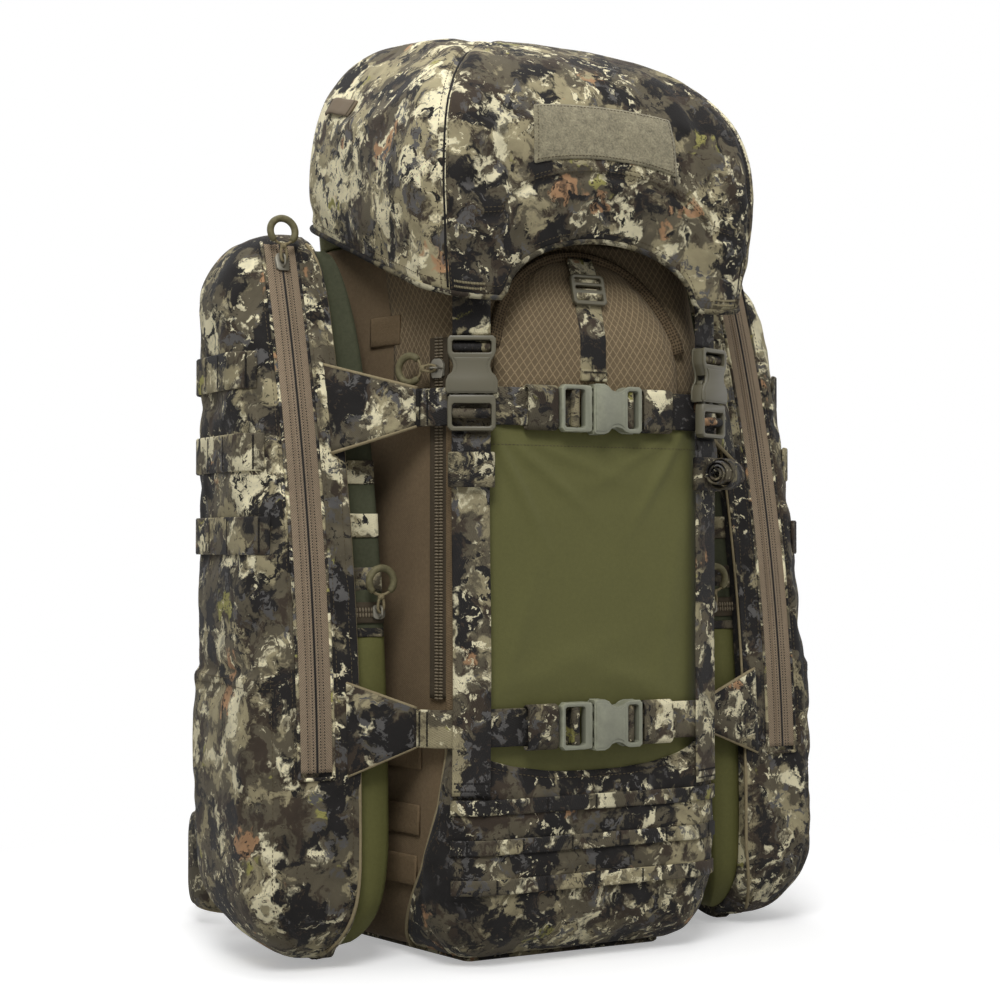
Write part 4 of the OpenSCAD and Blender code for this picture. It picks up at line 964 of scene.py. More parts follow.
class Sewn:
    """A mesh of quads while it is put together, with coordinates along its cloth."""

    def __init__(self, name: str) -> None:
        """Starts an empty mesh.

        Args:
            name: name of the piece.
        """
        self.name, self.count = name, 0
        self.points: list[Array] = []
        self.faces: list[list[int]] = []
        self.cloth: list[list[Pair]] = []

    def grid(self, p: Array, loop: bool = False, capped: bool = False) -> Array:
        """Adds a grid of points joined by quads.

        Args:
            p: rows of points.
            loop: whether the last column joins the first.
            capped: whether the first and the last row are closed by a face.

        Returns:
            The points' numbers, in rows.
        """
        m, k, _ = p.shape
        ids = self.count + np.arange(m * k).reshape(m, k)
        self.points.append(p.reshape(-1, 3))
        self.count += m * k
        q, c = (np.concatenate([rows, rows[:, :1]], 1) if loop else rows for rows in (p, ids))
        u, v = (np.concatenate([[0], np.cumsum(np.linalg.norm(np.diff(q, axis=axis), axis=2).mean(1 - axis))]) * MM
                for axis in (1, 0))
        for i in range(m - 1):
            for j in range(c.shape[1] - 1):
                self.faces.append([c[i, j], c[i, j + 1], c[i + 1, j + 1], c[i + 1, j]])
                self.cloth.append([(u[j], v[i]), (u[j + 1], v[i]), (u[j + 1], v[i + 1]), (u[j], v[i + 1])])
        if capped:
            self.cap(ids[0])
            self.cap(ids[-1])
        return ids

    def join(self, a: Array, b: Array, loop: bool = False) -> None:
        """Joins two rows of points by quads.

        Args:
            a: numbers of the first row.
            b: numbers of the second row.
            loop: whether the rows are closed.
        """
        n = len(a)
        for j in range(n if loop else n - 1):
            k = (j + 1) % n
            self.faces.append([a[j], a[k], b[k], b[j]])
            self.cloth.append([(MM * j, 0), (MM * k, 0), (MM * k, MM), (MM * j, MM)])

    def cap(self, ring: Array) -> None:
        """Closes a ring by one face."""
        self.faces.append([int(i) for i in ring])
        self.cloth.append([(x, z) for x, _, z in np.concatenate(self.points)[ring] * MM])

    def slab(self, outer: Array, inner: Array, loop: bool = False) -> Array:
        """Adds a closed sheet between an outer and an inner grid.

        Args:
            outer: rows of points of the outer face.
            inner: rows of points of the inner face.
            loop: whether the sheet closes round its columns.

        Returns:
            The outer points' numbers.
        """
        a, b = self.grid(outer, loop), self.grid(inner, loop)
        for r in (0, -1):
            self.join(a[r], b[r], loop)
            if not loop:
                self.join(a[:, r], b[:, r])
        return a

    def strip(self, path: Array, across: Array, width: float, thick: float) -> None:
        """Adds a flat strip of webbing with rounded edges.

        Args:
            path: points of its middle line.
            across: direction of its width at each point, or one for all.
            width: width.
            thick: thickness.
        """
        way = unit(np.gradient(path, axis=0))
        wide = unit(np.broadcast_to(across, path.shape) + 0.0)
        out = unit(np.cross(wide, way))
        a, b = width / 2, thick / 2
        face = np.array([(-a + b, b), (-a / 2, b), (0, b), (a / 2, b), (a - b, b), (a, 0.4 * b), (a, -0.4 * b)])
        section = np.concatenate([face, -face])[None]
        self.grid(path[:, None] + section[..., :1] * wide[:, None] + section[..., 1:] * out[:, None], True, True)

    def tube(self, path: Array, r: Value, sides: int = 8, loop: bool = False) -> None:
        """Adds a round tube along a path.

        Args:
            path: points of its middle line.
            r: radius, or one for each point.
            sides: number of sides.
            loop: whether the path is closed.
        """
        path = np.asarray(path, float)
        ends = np.concatenate([path[-1:], path, path[:1]]) if loop else path
        way = unit(np.gradient(ends, axis=0))
        way = way[1:-1] if loop else way
        side = np.cross(way[0], (0.31, 0.77, 0.55))
        frames = []
        for w in way:
            side = unit(side - w * (side @ w))
            frames.append((side, np.cross(w, side)))
        f = np.array(frames)[:, None]
        a = np.linspace(0, math.tau, sides, endpoint=False)[None, :, None]
        r = np.broadcast_to(r, len(path))[:, None, None]
        ids = self.grid(path[:, None] + r * (np.cos(a) * f[:, :, 0] + np.sin(a) * f[:, :, 1]), True, not loop)
        if loop:
            self.join(ids[-1], ids[0], True)

    def build(self) -> Piece:
        """Object with this mesh, in metres, its faces pointing outwards."""
        mesh = bpy.data.meshes.new(self.name)
        mesh.from_pydata((np.concatenate(self.points) * MM).tolist(), [], self.faces)
        layer = mesh.uv_layers.new(name="cloth")
        layer.data.foreach_set("uv", np.array([c for face in self.cloth for c in face], np.float32).ravel())
        obj = Shop.add(self.name, mesh)
        Shop.face_out(obj)
        return obj

    def loose(self) -> bpy.types.Mesh:
        """Mesh without an object, in millimetres."""
        obj = self.build()
        mesh = obj.data
        bpy.data.objects.remove(obj)
        mesh.transform(Matrix.Scale(1 / MM, 4))
        return mesh

    def piece(self, finish: Finish, body: str = PACK, node: str = "", slot: str = "") -> Piece:
        """Builds the piece and dresses it as Shop.finish does."""
        return Shop.finish(self.build(), finish, body, node, slot)


class Shop:
    """Steps that turn a mesh into a finished piece of the pack."""

    @staticmethod
    def add(name: str, data: bpy.types.ID) -> Piece:
        """New object in the scene.

        Args:
            name: its name.
            data: its mesh, camera or lamp.

        Returns:
            The object.
        """
        obj = bpy.data.objects.new(name, data)
        bpy.context.scene.collection.objects.link(obj)
        return obj

    @staticmethod
    def face_out(obj: Piece) -> None:
        """Turns a mesh's faces outwards and shades them smooth.

        Args:
            obj: the object that has it.
        """
        bm = bmesh.new()
        bm.from_mesh(obj.data)
        bmesh.ops.recalc_face_normals(bm, faces=bm.faces)
        for f in bm.faces:
            f.smooth = True
        bm.to_mesh(obj.data)
        bm.free()

    @staticmethod
    def evaluated(obj: Piece) -> Piece:
        """Object as its modifiers leave it."""
        return obj.evaluated_get(bpy.context.evaluated_depsgraph_get())

    @classmethod
    def bake(cls, obj: Piece) -> None:
        """Turns an object's modifiers into plain mesh.

        Args:
            obj: the object.
        """
        mesh = bpy.data.meshes.new_from_object(cls.evaluated(obj))
        obj.modifiers.clear()
        obj.data = mesh

    @classmethod
    def refine(cls, obj: Piece, levels: int = 1) -> None:
        """Subdivides a mesh smoothly.

        Args:
            obj: the object that has it.
            levels: times that it is divided.
        """
        mod = obj.modifiers.new("smooth", "SUBSURF")
        mod.levels = mod.render_levels = levels
        mod.boundary_smooth = "PRESERVE_CORNERS"
        cls.bake(obj)

    @staticmethod
    def read(obj: Piece, key: str) -> Array:
        """Vector of each point of a mesh.

        Args:
            obj: the object that has it.
            key: name of the vector.

        Returns:
            The vectors.
        """
        found = np.zeros(len(obj.data.vertices) * 3, np.float32)
        obj.data.vertices.foreach_get(key, found)
        return found.reshape(-1, 3).astype(float)

    @classmethod
    def coords(cls, obj: Piece) -> Array:
        """Places of a mesh's points, in millimetres."""
        return cls.read(obj, "co") / MM

    @staticmethod
    def place(obj: Piece, p: Array) -> None:
        """Sets the places of a mesh's points, in millimetres."""
        obj.data.vertices.foreach_set("co", (p * MM).astype(np.float32).ravel())
        obj.data.update()

    @classmethod
    def swell(cls, obj: Piece, p: Array, out: Array) -> None:
        """Moves a mesh's points out along its normals."""
        cls.place(obj, p + cls.read(obj, "normal") * out[:, None])

    @staticmethod
    def distance(p: Array, lines: Sequence[Array]) -> Array:
        """Distance from each point to the nearest point of some lines.

        Args:
            p: the points.
            lines: points of the lines.

        Returns:
            The distances.
        """
        every = np.concatenate(lines)
        tree = KDTree(len(every))
        for i, q in enumerate(every):
            tree.insert(q, i)
        tree.balance()
        return np.array([tree.find(q)[2] for q in p])

    @classmethod
    def pinch(cls, obj: Piece, lines: Sequence[Array], depth: float, reach: float) -> None:
        """Draws a mesh in along its seams.

        Args:
            obj: the piece.
            lines: points of the seams, close together.
            depth: how deep a seam lies.
            reach: half width of the valley.
        """
        p = cls.coords(obj)
        cls.swell(obj, p, -depth * np.exp(-(cls.distance(p, lines) / reach) ** 2))

    @classmethod
    def rumple(cls, obj: Piece, depth: float, scale: float, seed: float, squeeze: Triple = (1, 1, 1)) -> None:
        """Gives a mesh soft uneven swells.

        Args:
            obj: the piece.
            depth: height of the swells.
            scale: their wavelength.
            seed: number that makes this piece's swells its own.
            squeeze: factors on the axes, so that swells run one way.
        """
        p = cls.coords(obj)
        cls.swell(obj, p, depth * (rolling(p * squeeze, scale, seed)
                                   + 0.5 * rolling(p * squeeze, 0.45 * scale, seed + 5)))

    @classmethod
    def puff(cls, obj: Piece, pinned: Array, pressure: float, cap: float, slack: float = 0.01) -> None:
        """Swells a mesh as stuffed cloth, by simulation.

        Args:
            obj: the piece.
            pinned: which points are sewn down.
            pressure: push of the filling.
            cap: the most that a point may move.
            slack: share by which the cloth is larger than its form.
        """
        rest = cls.coords(obj)
        group = obj.vertex_groups.new(name="sewn")
        group.add([int(i) for i in np.flatnonzero(pinned)], 1.0, "REPLACE")
        mod = obj.modifiers.new("cloth", "CLOTH")
        s = mod.settings
        s.quality, s.mass, s.vertex_group_mass = 4, 0.25, "sewn"
        s.tension_stiffness = s.compression_stiffness = 18
        s.shear_stiffness, s.bending_stiffness = 6, 0.4
        s.use_pressure, s.uniform_pressure_force, s.shrink_min = True, pressure, -slack
        s.effector_weights.gravity = 0
        mod.collision_settings.use_collision = False
        scene = bpy.context.scene
        for step in range(1, 15):
            scene.frame_set(step)
        shift = cls.coords(cls.evaluated(obj)) - rest
        far = np.linalg.norm(shift, axis=1, keepdims=True)
        shift *= np.minimum(1, cap / np.maximum(far, 1e-6))
        obj.modifiers.clear()
        obj.vertex_groups.clear()
        scene.frame_set(1)
        cls.place(obj, rest + np.nan_to_num(shift))

    @staticmethod
    def lay(obj: Piece, p: Array, lift: float) -> Line:
        """Lays a line on a piece.

        Args:
            obj: the piece.
            p: points near it.
            lift: height of the line above its surface.

        Returns:
            Points on the surface and the directions out of it.
        """
        tree = BVHTree.FromObject(obj, bpy.context.evaluated_depsgraph_get())
        found = [tree.find_nearest(Vector(q) * MM) for q in p]
        ups = np.array([f[1] for f in found])
        return np.array([f[0] / MM for f in found]) + lift * ups, ups

    @staticmethod
    def split(obj: Piece, finishes: Sequence[Finish], index: Array) -> None:
        """Gives a piece several finishes.

        Args:
            obj: the piece.
            finishes: its finishes.
            index: number of the finish of each face.
        """
        for finish in finishes:
            obj.data.materials.append(finish.material())
        obj.data.polygons.foreach_set("material_index", np.asarray(index[:len(obj.data.polygons)], np.int32))

    @staticmethod
    def dress(node: str, finish: Finish) -> None:
        """Gives a node of the frame a finish.

        Args:
            node: the node.
            finish: its finish.
        """
        mesh = frame["nodes"][node].data
        mesh.materials.clear()
        mesh.materials.append(finish.material())
        LOG.info("%s keeps its shape", node)

    @staticmethod
    def finish(obj: Piece, finish: Finish, body: str = PACK, node: str = "", slot: str = "") -> Piece:
        """Dresses a piece and sets it on its body.

        Args:
            obj: the piece.
            finish: its finish.
            body: body that it moves with.
            node: frame node that it stands for.
            slot: material slot of the record; not used.

        Returns:
            The piece.
        """
        if not obj.data.materials:
            obj.data.materials.append(finish.material())
        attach(obj, body)
        if node:
            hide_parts(node)
        LOG.info("%s rides on %s: %d faces", obj.name, body, len(obj.data.polygons))
        return obj

    @classmethod
    def plate(cls, outline: Sequence, holes: Sequence[Sequence], thick: float, bevel: float) -> bpy.types.Mesh:
        """Flat moulded plate with rounded edges, its back on the plane Z 0.

        Args:
            outline: corners of its outline.
            holes: corners of each hole.
            thick: thickness.
            bevel: radius of its edges.

        Returns:
            The mesh, in millimetres.
        """
        curve = bpy.data.curves.new("plate", "CURVE")
        curve.dimensions, curve.fill_mode = "2D", "BOTH"
        curve.extrude, curve.bevel_depth, curve.bevel_resolution = thick / 2 - bevel, bevel, 1
        curve.offset = -bevel
        for ring in (outline, *holes):
            line = curve.splines.new("POLY")
            line.points.add(len(ring) - 1)
            for point, (x, y) in zip(line.points, ring):
                point.co = (x, y, 0, 1)
            line.use_cyclic_u = True
        obj = cls.add("plate", curve)
        bpy.context.view_layer.update()
        mesh = bpy.data.meshes.new_from_object(cls.evaluated(obj))
        bpy.data.objects.remove(obj)
        mesh.transform(Matrix.Translation((0, 0, thick / 2)))
        return mesh

    @classmethod
    def gather(cls, name: str, parts: Parts) -> Piece:
        """Joins small meshes into one piece.

        Args:
            name: name of the piece.
            parts: meshes in millimetres and where each goes.

        Returns:
            The piece.
        """
        bm = bmesh.new()
        for mesh, matrix in parts:
            copy = mesh.copy()
            copy.transform(matrix)
            bm.from_mesh(copy)
            bpy.data.meshes.remove(copy)
        bmesh.ops.remove_doubles(bm, verts=bm.verts, dist=0.01)
        bmesh.ops.scale(bm, vec=(MM, MM, MM), verts=bm.verts)
        mesh = bpy.data.meshes.new(name)
        bm.to_mesh(mesh)
        bm.free()
        obj = cls.add(name, mesh)
        cls.face_out(obj)
        mesh.set_sharp_from_angle(angle=math.radians(38))
        return obj


@dataclass(frozen=True)
class Stitch:
    """Bead that geometry nodes repeat along lines, as stitches, bar tacks, knit and zip coils."""

    pitch: float
    size: Triple
    finish: Finish

    @staticmethod
    @cache
    def tree() -> Tree:
        """Tree that sets one bead at each step of every line."""
        tree = bpy.data.node_groups.new("BeadRow", "GeometryNodeTree")
        kinds = {"Geometry": "Geometry", "Pitch": "Float", "Long": "Float", "Wide": "Float", "High": "Float",
                 "Finish": "Material"}
        for key, kind in kinds.items():
            tree.interface.new_socket(key, in_out="INPUT", socket_type=f"NodeSocket{kind}")
        tree.interface.new_socket("Geometry", in_out="OUTPUT", socket_type="NodeSocketGeometry")
        g = Graph(tree)
        feed = tree.nodes.new("NodeGroupInput").outputs
        line = g.out("GeometryNodeMeshToCurve", {"Mesh": feed["Geometry"]})
        line = g.out("GeometryNodeResampleCurve", {"Curve": line, "Length": feed["Pitch"]}, mode="LENGTH")
        up = g.out("GeometryNodeInputNamedAttribute", {"Name": "up"}, data_type="FLOAT_VECTOR")
        axes = {"Primary Axis": g.out("GeometryNodeInputTangent"), "Secondary Axis": up}
        turn = g.out("FunctionNodeAxesToRotation", axes, primary_axis="X", secondary_axis="Z")
        size = g.out("ShaderNodeCombineXYZ", {0: feed["Long"], 1: feed["Wide"], 2: feed["High"]})
        bead = g.out("GeometryNodeMeshUVSphere", {"Segments": 6, "Rings": 4, "Radius": 0.5})
        rows = g.out("GeometryNodeInstanceOnPoints",
                     {"Points": line, "Instance": bead, "Rotation": turn, "Scale": size})
        real = g.out("GeometryNodeRealizeInstances", {"Geometry": rows})
        done = g.out("GeometryNodeSetMaterial", {"Geometry": real, "Material": feed["Finish"]})
        g.add("NodeGroupOutput", {"Geometry": done})
        return tree

    def sew(self, name: str, lines: Sequence[Line], body: str = PACK) -> None:
        """Makes rows of beads and sets them on a body.

        Args:
            name: name of the piece.
            lines: points of each row, and the directions out of the cloth or one for all.
            body: body that they move with.
        """
        edges, start = [], 0
        for spots, _ in lines:
            edges += [(start + i, start + i + 1) for i in range(len(spots) - 1)]
            start += len(spots)
        mesh = bpy.data.meshes.new(name)
        mesh.from_pydata((np.concatenate([spots for spots, _ in lines]) * MM).tolist(), edges, [])
        ups = np.concatenate([np.broadcast_to(up, spots.shape) for spots, up in lines])
        mesh.attributes.new("up", "FLOAT_VECTOR", "POINT").data.foreach_set("vector", ups.astype(np.float32).ravel())
        obj = Shop.add(name, mesh)
        mod = obj.modifiers.new("rows", "NODES")
        mod.node_group = self.tree()
        values = {key: size * MM for key, size in zip(("Pitch", "Long", "Wide", "High"), (self.pitch, *self.size))}
        values["Finish"] = self.finish.material()
        for item in mod.node_group.interface.items_tree:
            if item.in_out == "INPUT" and item.name in values:
                mod[item.identifier] = values[item.name]
        Shop.bake(obj)
        Shop.finish(obj, self.finish, body)


SEAM = Stitch(3.0, (2.2, 0.65, 0.5), THREAD)
BOOT_SEAM = Stitch(3.2, (2.3, 0.7, 0.5), THREAD)
POCKET_SEAM = Stitch(2.8, (2.0, 0.6, 0.4), THREAD)
PATCH_SEAM = Stitch(2.6, (2.0, 0.6, 0.5), THREAD)
TACK = Stitch(0.9, (0.8, 1.8, 0.6), DARK_THREAD)
BOOT_TACK = Stitch(0.9, (0.8, 1.9, 0.6), DARK_THREAD)
CENTRE_TACK = Stitch(0.9, (0.8, 1.6, 0.5), DARK_THREAD)
LOOP_TACK = Stitch(0.9, (0.8, 1.8, 0.6), THREAD)
FLAP_TACK = Stitch(1.0, (0.9, 1.8, 0.6), PALE_THREAD)
KNIT = Stitch(2.0, (1.15, 0.9, 0.5), ZIP_DASH)
COIL = Stitch(2.1, (1.5, 3.6, 1.6), ZIP_TEETH)


# Main bag, front, lid and pods


@dataclass(frozen=True)
class MainBag:
    """Main bag with its base, yoke and collar, and the frame in its back."""

    steps: tuple[int, ...] = (10, 18, 26, 24)
    base_rings: tuple[Pair, ...] = ((3.9, -0.6), (1.4, -0.9), (0.3, -2.5), (0.0, -7.0))
    yoke_z: Pair = (363, 486)
    yoke_turn: Pair = (45, 128)
    yoke_step: float = 381
    collar_top: float = 518
    row_w: float = 20
    row_spots: tuple[Triple, ...] = ((62, -30, 24), (96, -34, 24), (140, -37, 24), (425, -18, 18))

    def build(self) -> None:
        """Makes every piece of the bag."""
        self.shell()
        rings = np.stack([BAG.ring(z, off, self.steps) for z, off in self.base_rings])
        base = Sewn("base_cloth")
        base.grid(rings, True, True)
        base.piece(BOOT_CAMO, PACK, "base_panel", "camo_fabric")
        self.yoke()
        self.collar()
        self.side_rows()
        Shop.dress("frame_sheet", SHEET)
        Shop.dress("frame_stays", ALLOY)

    def shell(self) -> None:
        """Makes the bag's skin with its lining and floor."""
        low = BAG.base_t + BAG.edge_h * np.linspace(0, 1, 14) ** 1.7
        zs = np.concatenate([low, np.arange(84, BAG.height - 2, 8), [BAG.height]])
        sewn = Sewn("bag_shell")
        a, b = (sewn.grid(np.stack([BAG.ring(z, off, self.steps) for z in heights]), True)
                for heights, off in ((zs, -0.8), (zs[:2:-1], -BAG.wall - 0.3)))
        sewn.join(a[-1], b[0], True)
        sewn.cap(a[0])
        sewn.cap(b[-1])
        obj = sewn.build()
        Shop.rumple(obj, 0.5, 55, 3.0, (1, 1, 0.5))
        Shop.finish(obj, BROWN_CLOTH, PACK, "main_bag", "brown_fabric")

    def yoke(self) -> None:
        """Makes the ripstop panel under the lid's front and round its corners."""
        z = np.linspace(*self.yoke_z, 42)[:, None]
        s = np.linspace(-1, 1, 81) * BAG.corner_s(mix(*self.yoke_turn, ease((z - self.yoke_step) / 5)))
        sewn = Sewn("yoke")
        sewn.slab(BAG.front(s, z, 0.25), BAG.front(s, z, -0.6))
        sewn.piece(RIPSTOP, slot="brown_fabric")

    def collar(self) -> None:
        """Makes the gathered collar round the bag's mouth."""
        zs = np.linspace(BAG.height + 0.4, self.collar_top, 12)
        rows = []
        for t, z in zip((zs - zs[0]) / (zs[-1] - zs[0]), zs):
            off = np.interp(z, (zs[0], zs[0] + 3, zs[-1]), (-3.2, -8, -30))
            ring = BAG.ring(z, float(off), [3 * n for n in self.steps])
            run = np.arange(len(ring))
            fold = 1.6 * t * (np.sin(run * 0.9) + 0.5 * np.sin(run * 0.37 + 1))
            rows.append(ring - unit(ring * (1, 1, 0)) * fold[:, None])
        outer = np.stack(rows)
        sewn = Sewn("collar_cloth")
        sewn.slab(outer, outer - unit(outer * (1, 1, 0)), True)
        obj = sewn.piece(OLIVE_CLOTH, PACK, "collar", "olive_fabric")

    def side_rows(self) -> None:
        """Makes the brown webbing across the bag's sides."""
        sewn = Sewn("side_rows")
        for side in SIDES:
            for z, y, half in self.row_spots:
                ring = BAG.ring(z, 0.6, (24, 60, 4, 4))
                keep = ring[(ring[:, 0] > BAG.corner_x + 10) & (np.abs(ring[:, 1] - y) < half)]
                sewn.strip(mirrored(keep[np.argsort(keep[:, 1])], side), UPRIGHT, self.row_w, 1.4)
        sewn.piece(BROWN_WEB, slot="brown_fabric")


@dataclass(frozen=True)
class FrontPanels:
    """Boot, stretch pocket and arch on the bag's front."""

    boot_foot: float = 5
    boot_thick: float = 11
    boot_round: float = 48
    boot_dip: float = 128
    boot_rise: float = 24
    # Heights, and the angles round the corners that the boot reaches there
    boot_wrap: tuple[Floats, ...] = ((5, 15, 44, 65, 88, 107, 141), (134, 127, 101, 82, 69, 59, 50))
    row_z: Floats = (56, 82, 108)
    row_w: float = 10
    row_turn: float = 42
    tack_gap: float = 37
    tack_half: float = 4.2
    pocket_wrap: float = 43
    pocket_foot: float = 122
    pocket_top: float = 360
    pocket_hem: float = 345
    # Heights, and how far the pocket's middle stands out there
    pocket_full: tuple[Floats, ...] = ((122, 150, 190, 300, 345, 360), (1.8, 4.6, 8.4, 9.4, 8.2, 7.0))
    # Place across and height, turn, length, width and rise of each fold of the pocket
    folds: tuple[Floats, ...] = (
        (-64, 330, -62, 44, 4, 3.0), (-46, 334, -38, 42, 4, 2.6), (-22, 338, -20, 42, 4, 1.8),
        (58, 334, 58, 42, 4, 2.6), (38, 340, 30, 36, 4, 1.7), (-20, 200, 20, 60, 9, 1.1),
        (35, 186, -18, 55, 8, 1.3), (-58, 215, 72, 60, 7, 1.3), (62, 240, 80, 70, 7, 1.1),
        (10, 322, 5, 60, 7, 0.8))
    arch_foot: float = 364
    arch_top: float = 474
    arch_half: float = 74
    arch_thick: float = 8
    arch_power: float = 2.6

    def build(self) -> None:
        """Makes every panel of the front."""
        self.boot()
        self.boot_rows()
        self.pocket()
        self.arch()

    def boot_top(self, u: Value) -> Value:
        """Height of the boot's upper edge at a share u of its half width."""
        return self.boot_dip + self.boot_rise * np.abs(u) ** 2.4

    def boot_wide(self, z: Value) -> Value:
        """Distance from the middle to the boot's edge at a height."""
        return BAG.corner_s(np.interp(z, *self.boot_wrap))

    def boot_off(self, z: Value, u: Value) -> Value:
        """How far the boot's face stands out.

        Args:
            z: height.
            u: share of its half width.

        Returns:
            Distance from the bag's skin, which is drawn in at its bottom edge.
        """
        t = np.clip((z - self.boot_foot) / self.boot_round, 0, 1)
        full = mix(1.8, self.boot_thick, np.sqrt(1 - (1 - t) ** 2))
        top = 1 - 0.5 * ease((z - self.boot_top(u) + 20) / 20)
        edge = 1 - 0.6 * ease((np.abs(u) - 0.92) / 0.08)
        round_side = 1 - 0.7 * ease((np.abs(u) * self.boot_wide(z) - BAG.corner_s(52)) / 26)
        return BAG.draw(z) + full * top * np.minimum(edge, round_side)

    def boot(self) -> None:
        """Makes the padded boot with its piped edges."""
        u, v = np.linspace(-1, 1, 75), np.linspace(0, 1, 34)[:, None]
        z = mix(self.boot_foot, self.boot_top(u), v ** 1.15)
        s = u * self.boot_wide(z)
        sewn = Sewn("boot_cloth")
        ids = sewn.slab(BAG.front(s, z, self.boot_off(z, u)), BAG.front(s, z, BAG.draw(z) + 0.35))
        pinned = np.ones(sewn.count, bool)
        near_row = np.min(np.abs(z[..., None] - self.row_z), -1) < 4
        pinned[ids] = near_row | (np.abs(u) > 0.97) | (v < 0.03) | (v > 0.96)
        obj = sewn.build()
        Shop.puff(obj, pinned, 4, 2.6, 0.03)
        Shop.refine(obj)
        Shop.rumple(obj, 0.6, 26, 8.0)
        Shop.finish(obj, BOOT_CAMO, PACK, "boot_panel", "camo_fabric")
        pipe, lines = Sewn("boot_piping"), []
        h = np.linspace(self.boot_foot + 1, float(self.boot_top(1.0)), 60)
        for side in SIDES:
            pipe.tube(BAG.front(side * (self.boot_wide(h) + 0.5), h, BAG.draw(h) + 2.2), 1.3)
            lines.append(Shop.lay(obj, BAG.front(side * (self.boot_wide(h) - 6), h, self.boot_off(h, 0.94)), 0.15))
        across = np.linspace(-0.97, 0.97, 120)
        top = self.boot_top(across) - 4
        lines.append(Shop.lay(obj, BAG.front(across * self.boot_wide(top), top, 8), 0.15))
        pipe.piece(PIPING, slot="camo_fabric")
        BOOT_SEAM.sew("boot_stitches", lines)

    def boot_rows(self) -> None:
        """Makes the narrow webbing rows and their bar tacks."""
        sewn, tacks, reach = Sewn("boot_rows"), [], BAG.corner_s(self.row_turn)
        s = np.linspace(-reach, reach, 90)
        for i, z in enumerate(self.row_z):
            start = 0.5 * self.tack_gap * (i % 2)
            lift = self.boot_off(z, s / self.boot_wide(z)) + 1.3
            hump = 0.8 * np.abs(np.sin(np.pi * (s + start) / self.tack_gap))
            sewn.strip(BAG.front(s, z, lift + hump), UPRIGHT, self.row_w, 1.7)
            h = np.linspace(z - self.tack_half, z + self.tack_half, 12)
            for at in np.arange(-3, 4) * self.tack_gap + start:
                if abs(at) < reach - 4:
                    out = float(self.boot_off(z, at / self.boot_wide(z))) + 2.4
                    spots = BAG.front(at, h, out)
                    tacks.append((spots, unit(BAG.front(at, h, out + 1) - spots)))
        sewn.piece(ROW_CAMO, PACK, "boot_webbing", "camo_webbing")
        BOOT_TACK.sew("boot_tacks", tacks)

    def pocket_off(self, s: Value, z: Value) -> Value:
        """How far the stretch pocket stands out.

        Args:
            s: distance across from the middle.
            z: height.

        Returns:
            Distance from the bag's skin.
        """
        share = np.clip(np.abs(s) / BAG.corner_s(self.pocket_wrap), 0, 1)
        off = 1.6 + (np.interp(z, *self.pocket_full) - 1.6) * (1 - share ** 6)
        for s0, z0, turn, long, wide, high in self.folds:
            c, d = math.cos(math.radians(turn)), math.sin(math.radians(turn))
            run, gap = (s - s0) * c + (z - z0) * d, (z - z0) * c - (s - s0) * d
            off = off + high * np.exp(-(gap / wide) ** 2 - (run / long) ** 2) * np.where(gap > 0, 1, 0.9)
        return off

    def pocket(self) -> None:
        """Makes the olive stretch pocket with its hem and bound edges."""
        wide = BAG.corner_s(self.pocket_wrap)
        s, z = np.linspace(-wide, wide, 70), np.linspace(self.pocket_foot, self.pocket_top, 80)[:, None]
        off = self.pocket_off(s, z)
        sewn = Sewn("stretch_cloth")
        sewn.slab(BAG.front(s, z, off), BAG.front(s, z, np.maximum(off - 1.5, 0.35)))
        obj = sewn.build()
        Shop.refine(obj)
        Shop.finish(obj, OLIVE_STRETCH, PACK, "stretch_pocket", "olive_fabric")
        bind, lines = Sewn("pocket_binding"), []
        h = np.linspace(145, 362, 50)
        for side in SIDES:
            edge = BAG.front(side * (wide + 1), h, 2.6)
            bind.strip(edge, BAG.front(side * (wide + 2), h, 2.6) - edge, 9, 1.6)
            at = side * (wide - 5)
            lines.append(Shop.lay(obj, BAG.front(at, h, self.pocket_off(at, h)), 0.1))
        hem = np.linspace(-0.95 * wide, 0.95 * wide, 90)
        on_hem = BAG.front(hem, self.pocket_hem, self.pocket_off(hem, self.pocket_hem))
        lines.append(Shop.lay(obj, on_hem, 0.1))
        bind.piece(BROWN_WEB, slot="brown_fabric")
        POCKET_SEAM.sew("pocket_stitches", lines)

    def arch(self) -> None:
        """Makes the padded arch and the mesh edging round it."""
        u, t = np.linspace(-1, 1, 50), np.linspace(0, 1, 34)[:, None]
        z = mix(self.arch_foot, self.arch_top, t)
        s = u * (self.arch_half * np.maximum(0.12, np.sqrt(1 - t ** self.arch_power)))
        fall = np.maximum(np.abs(u) ** 6, t ** 5)
        off = 0.6 + (self.arch_thick - 0.6) * (1 - 0.75 * fall) * ease(0.35 + t * 6)
        sewn = Sewn("arch_cloth")
        ids = sewn.slab(BAG.front(s, z, off), BAG.front(s, z, 0.3))
        pinned = np.ones(sewn.count, bool)
        pinned[ids] = (np.abs(u) > 0.95) | (t < 0.04) | (t > 0.95)
        obj = sewn.build()
        Shop.puff(obj, pinned, 3, 1.6, 0.015)
        Shop.refine(obj)
        Shop.finish(obj, RIPSTOP, PACK, "arch_panel", "brown_fabric")
        t = np.concatenate([np.linspace(0.42, 0.9, 30), 1 - 0.1 * (1 - np.linspace(0, 1, 12)) ** 2])
        half = self.arch_half * np.sqrt(1 - np.minimum(t, 1) ** self.arch_power)
        z = mix(self.arch_foot, self.arch_top, t)
        x, h = np.concatenate([-half, half[-2::-1]]), np.concatenate([z, z[-2::-1]]) + 1
        path = smooth_path(np.column_stack([x * 1.04, h]), 90)
        way = np.gradient(path, axis=0)
        edging = Sewn("arch_edging")
        edging.strip(BAG.front(*path.T, 3.0), points(way[:, 1], 0, -way[:, 0]), 9, 3.0)
        edging.piece(EDGE_MESH, slot="brown_fabric")


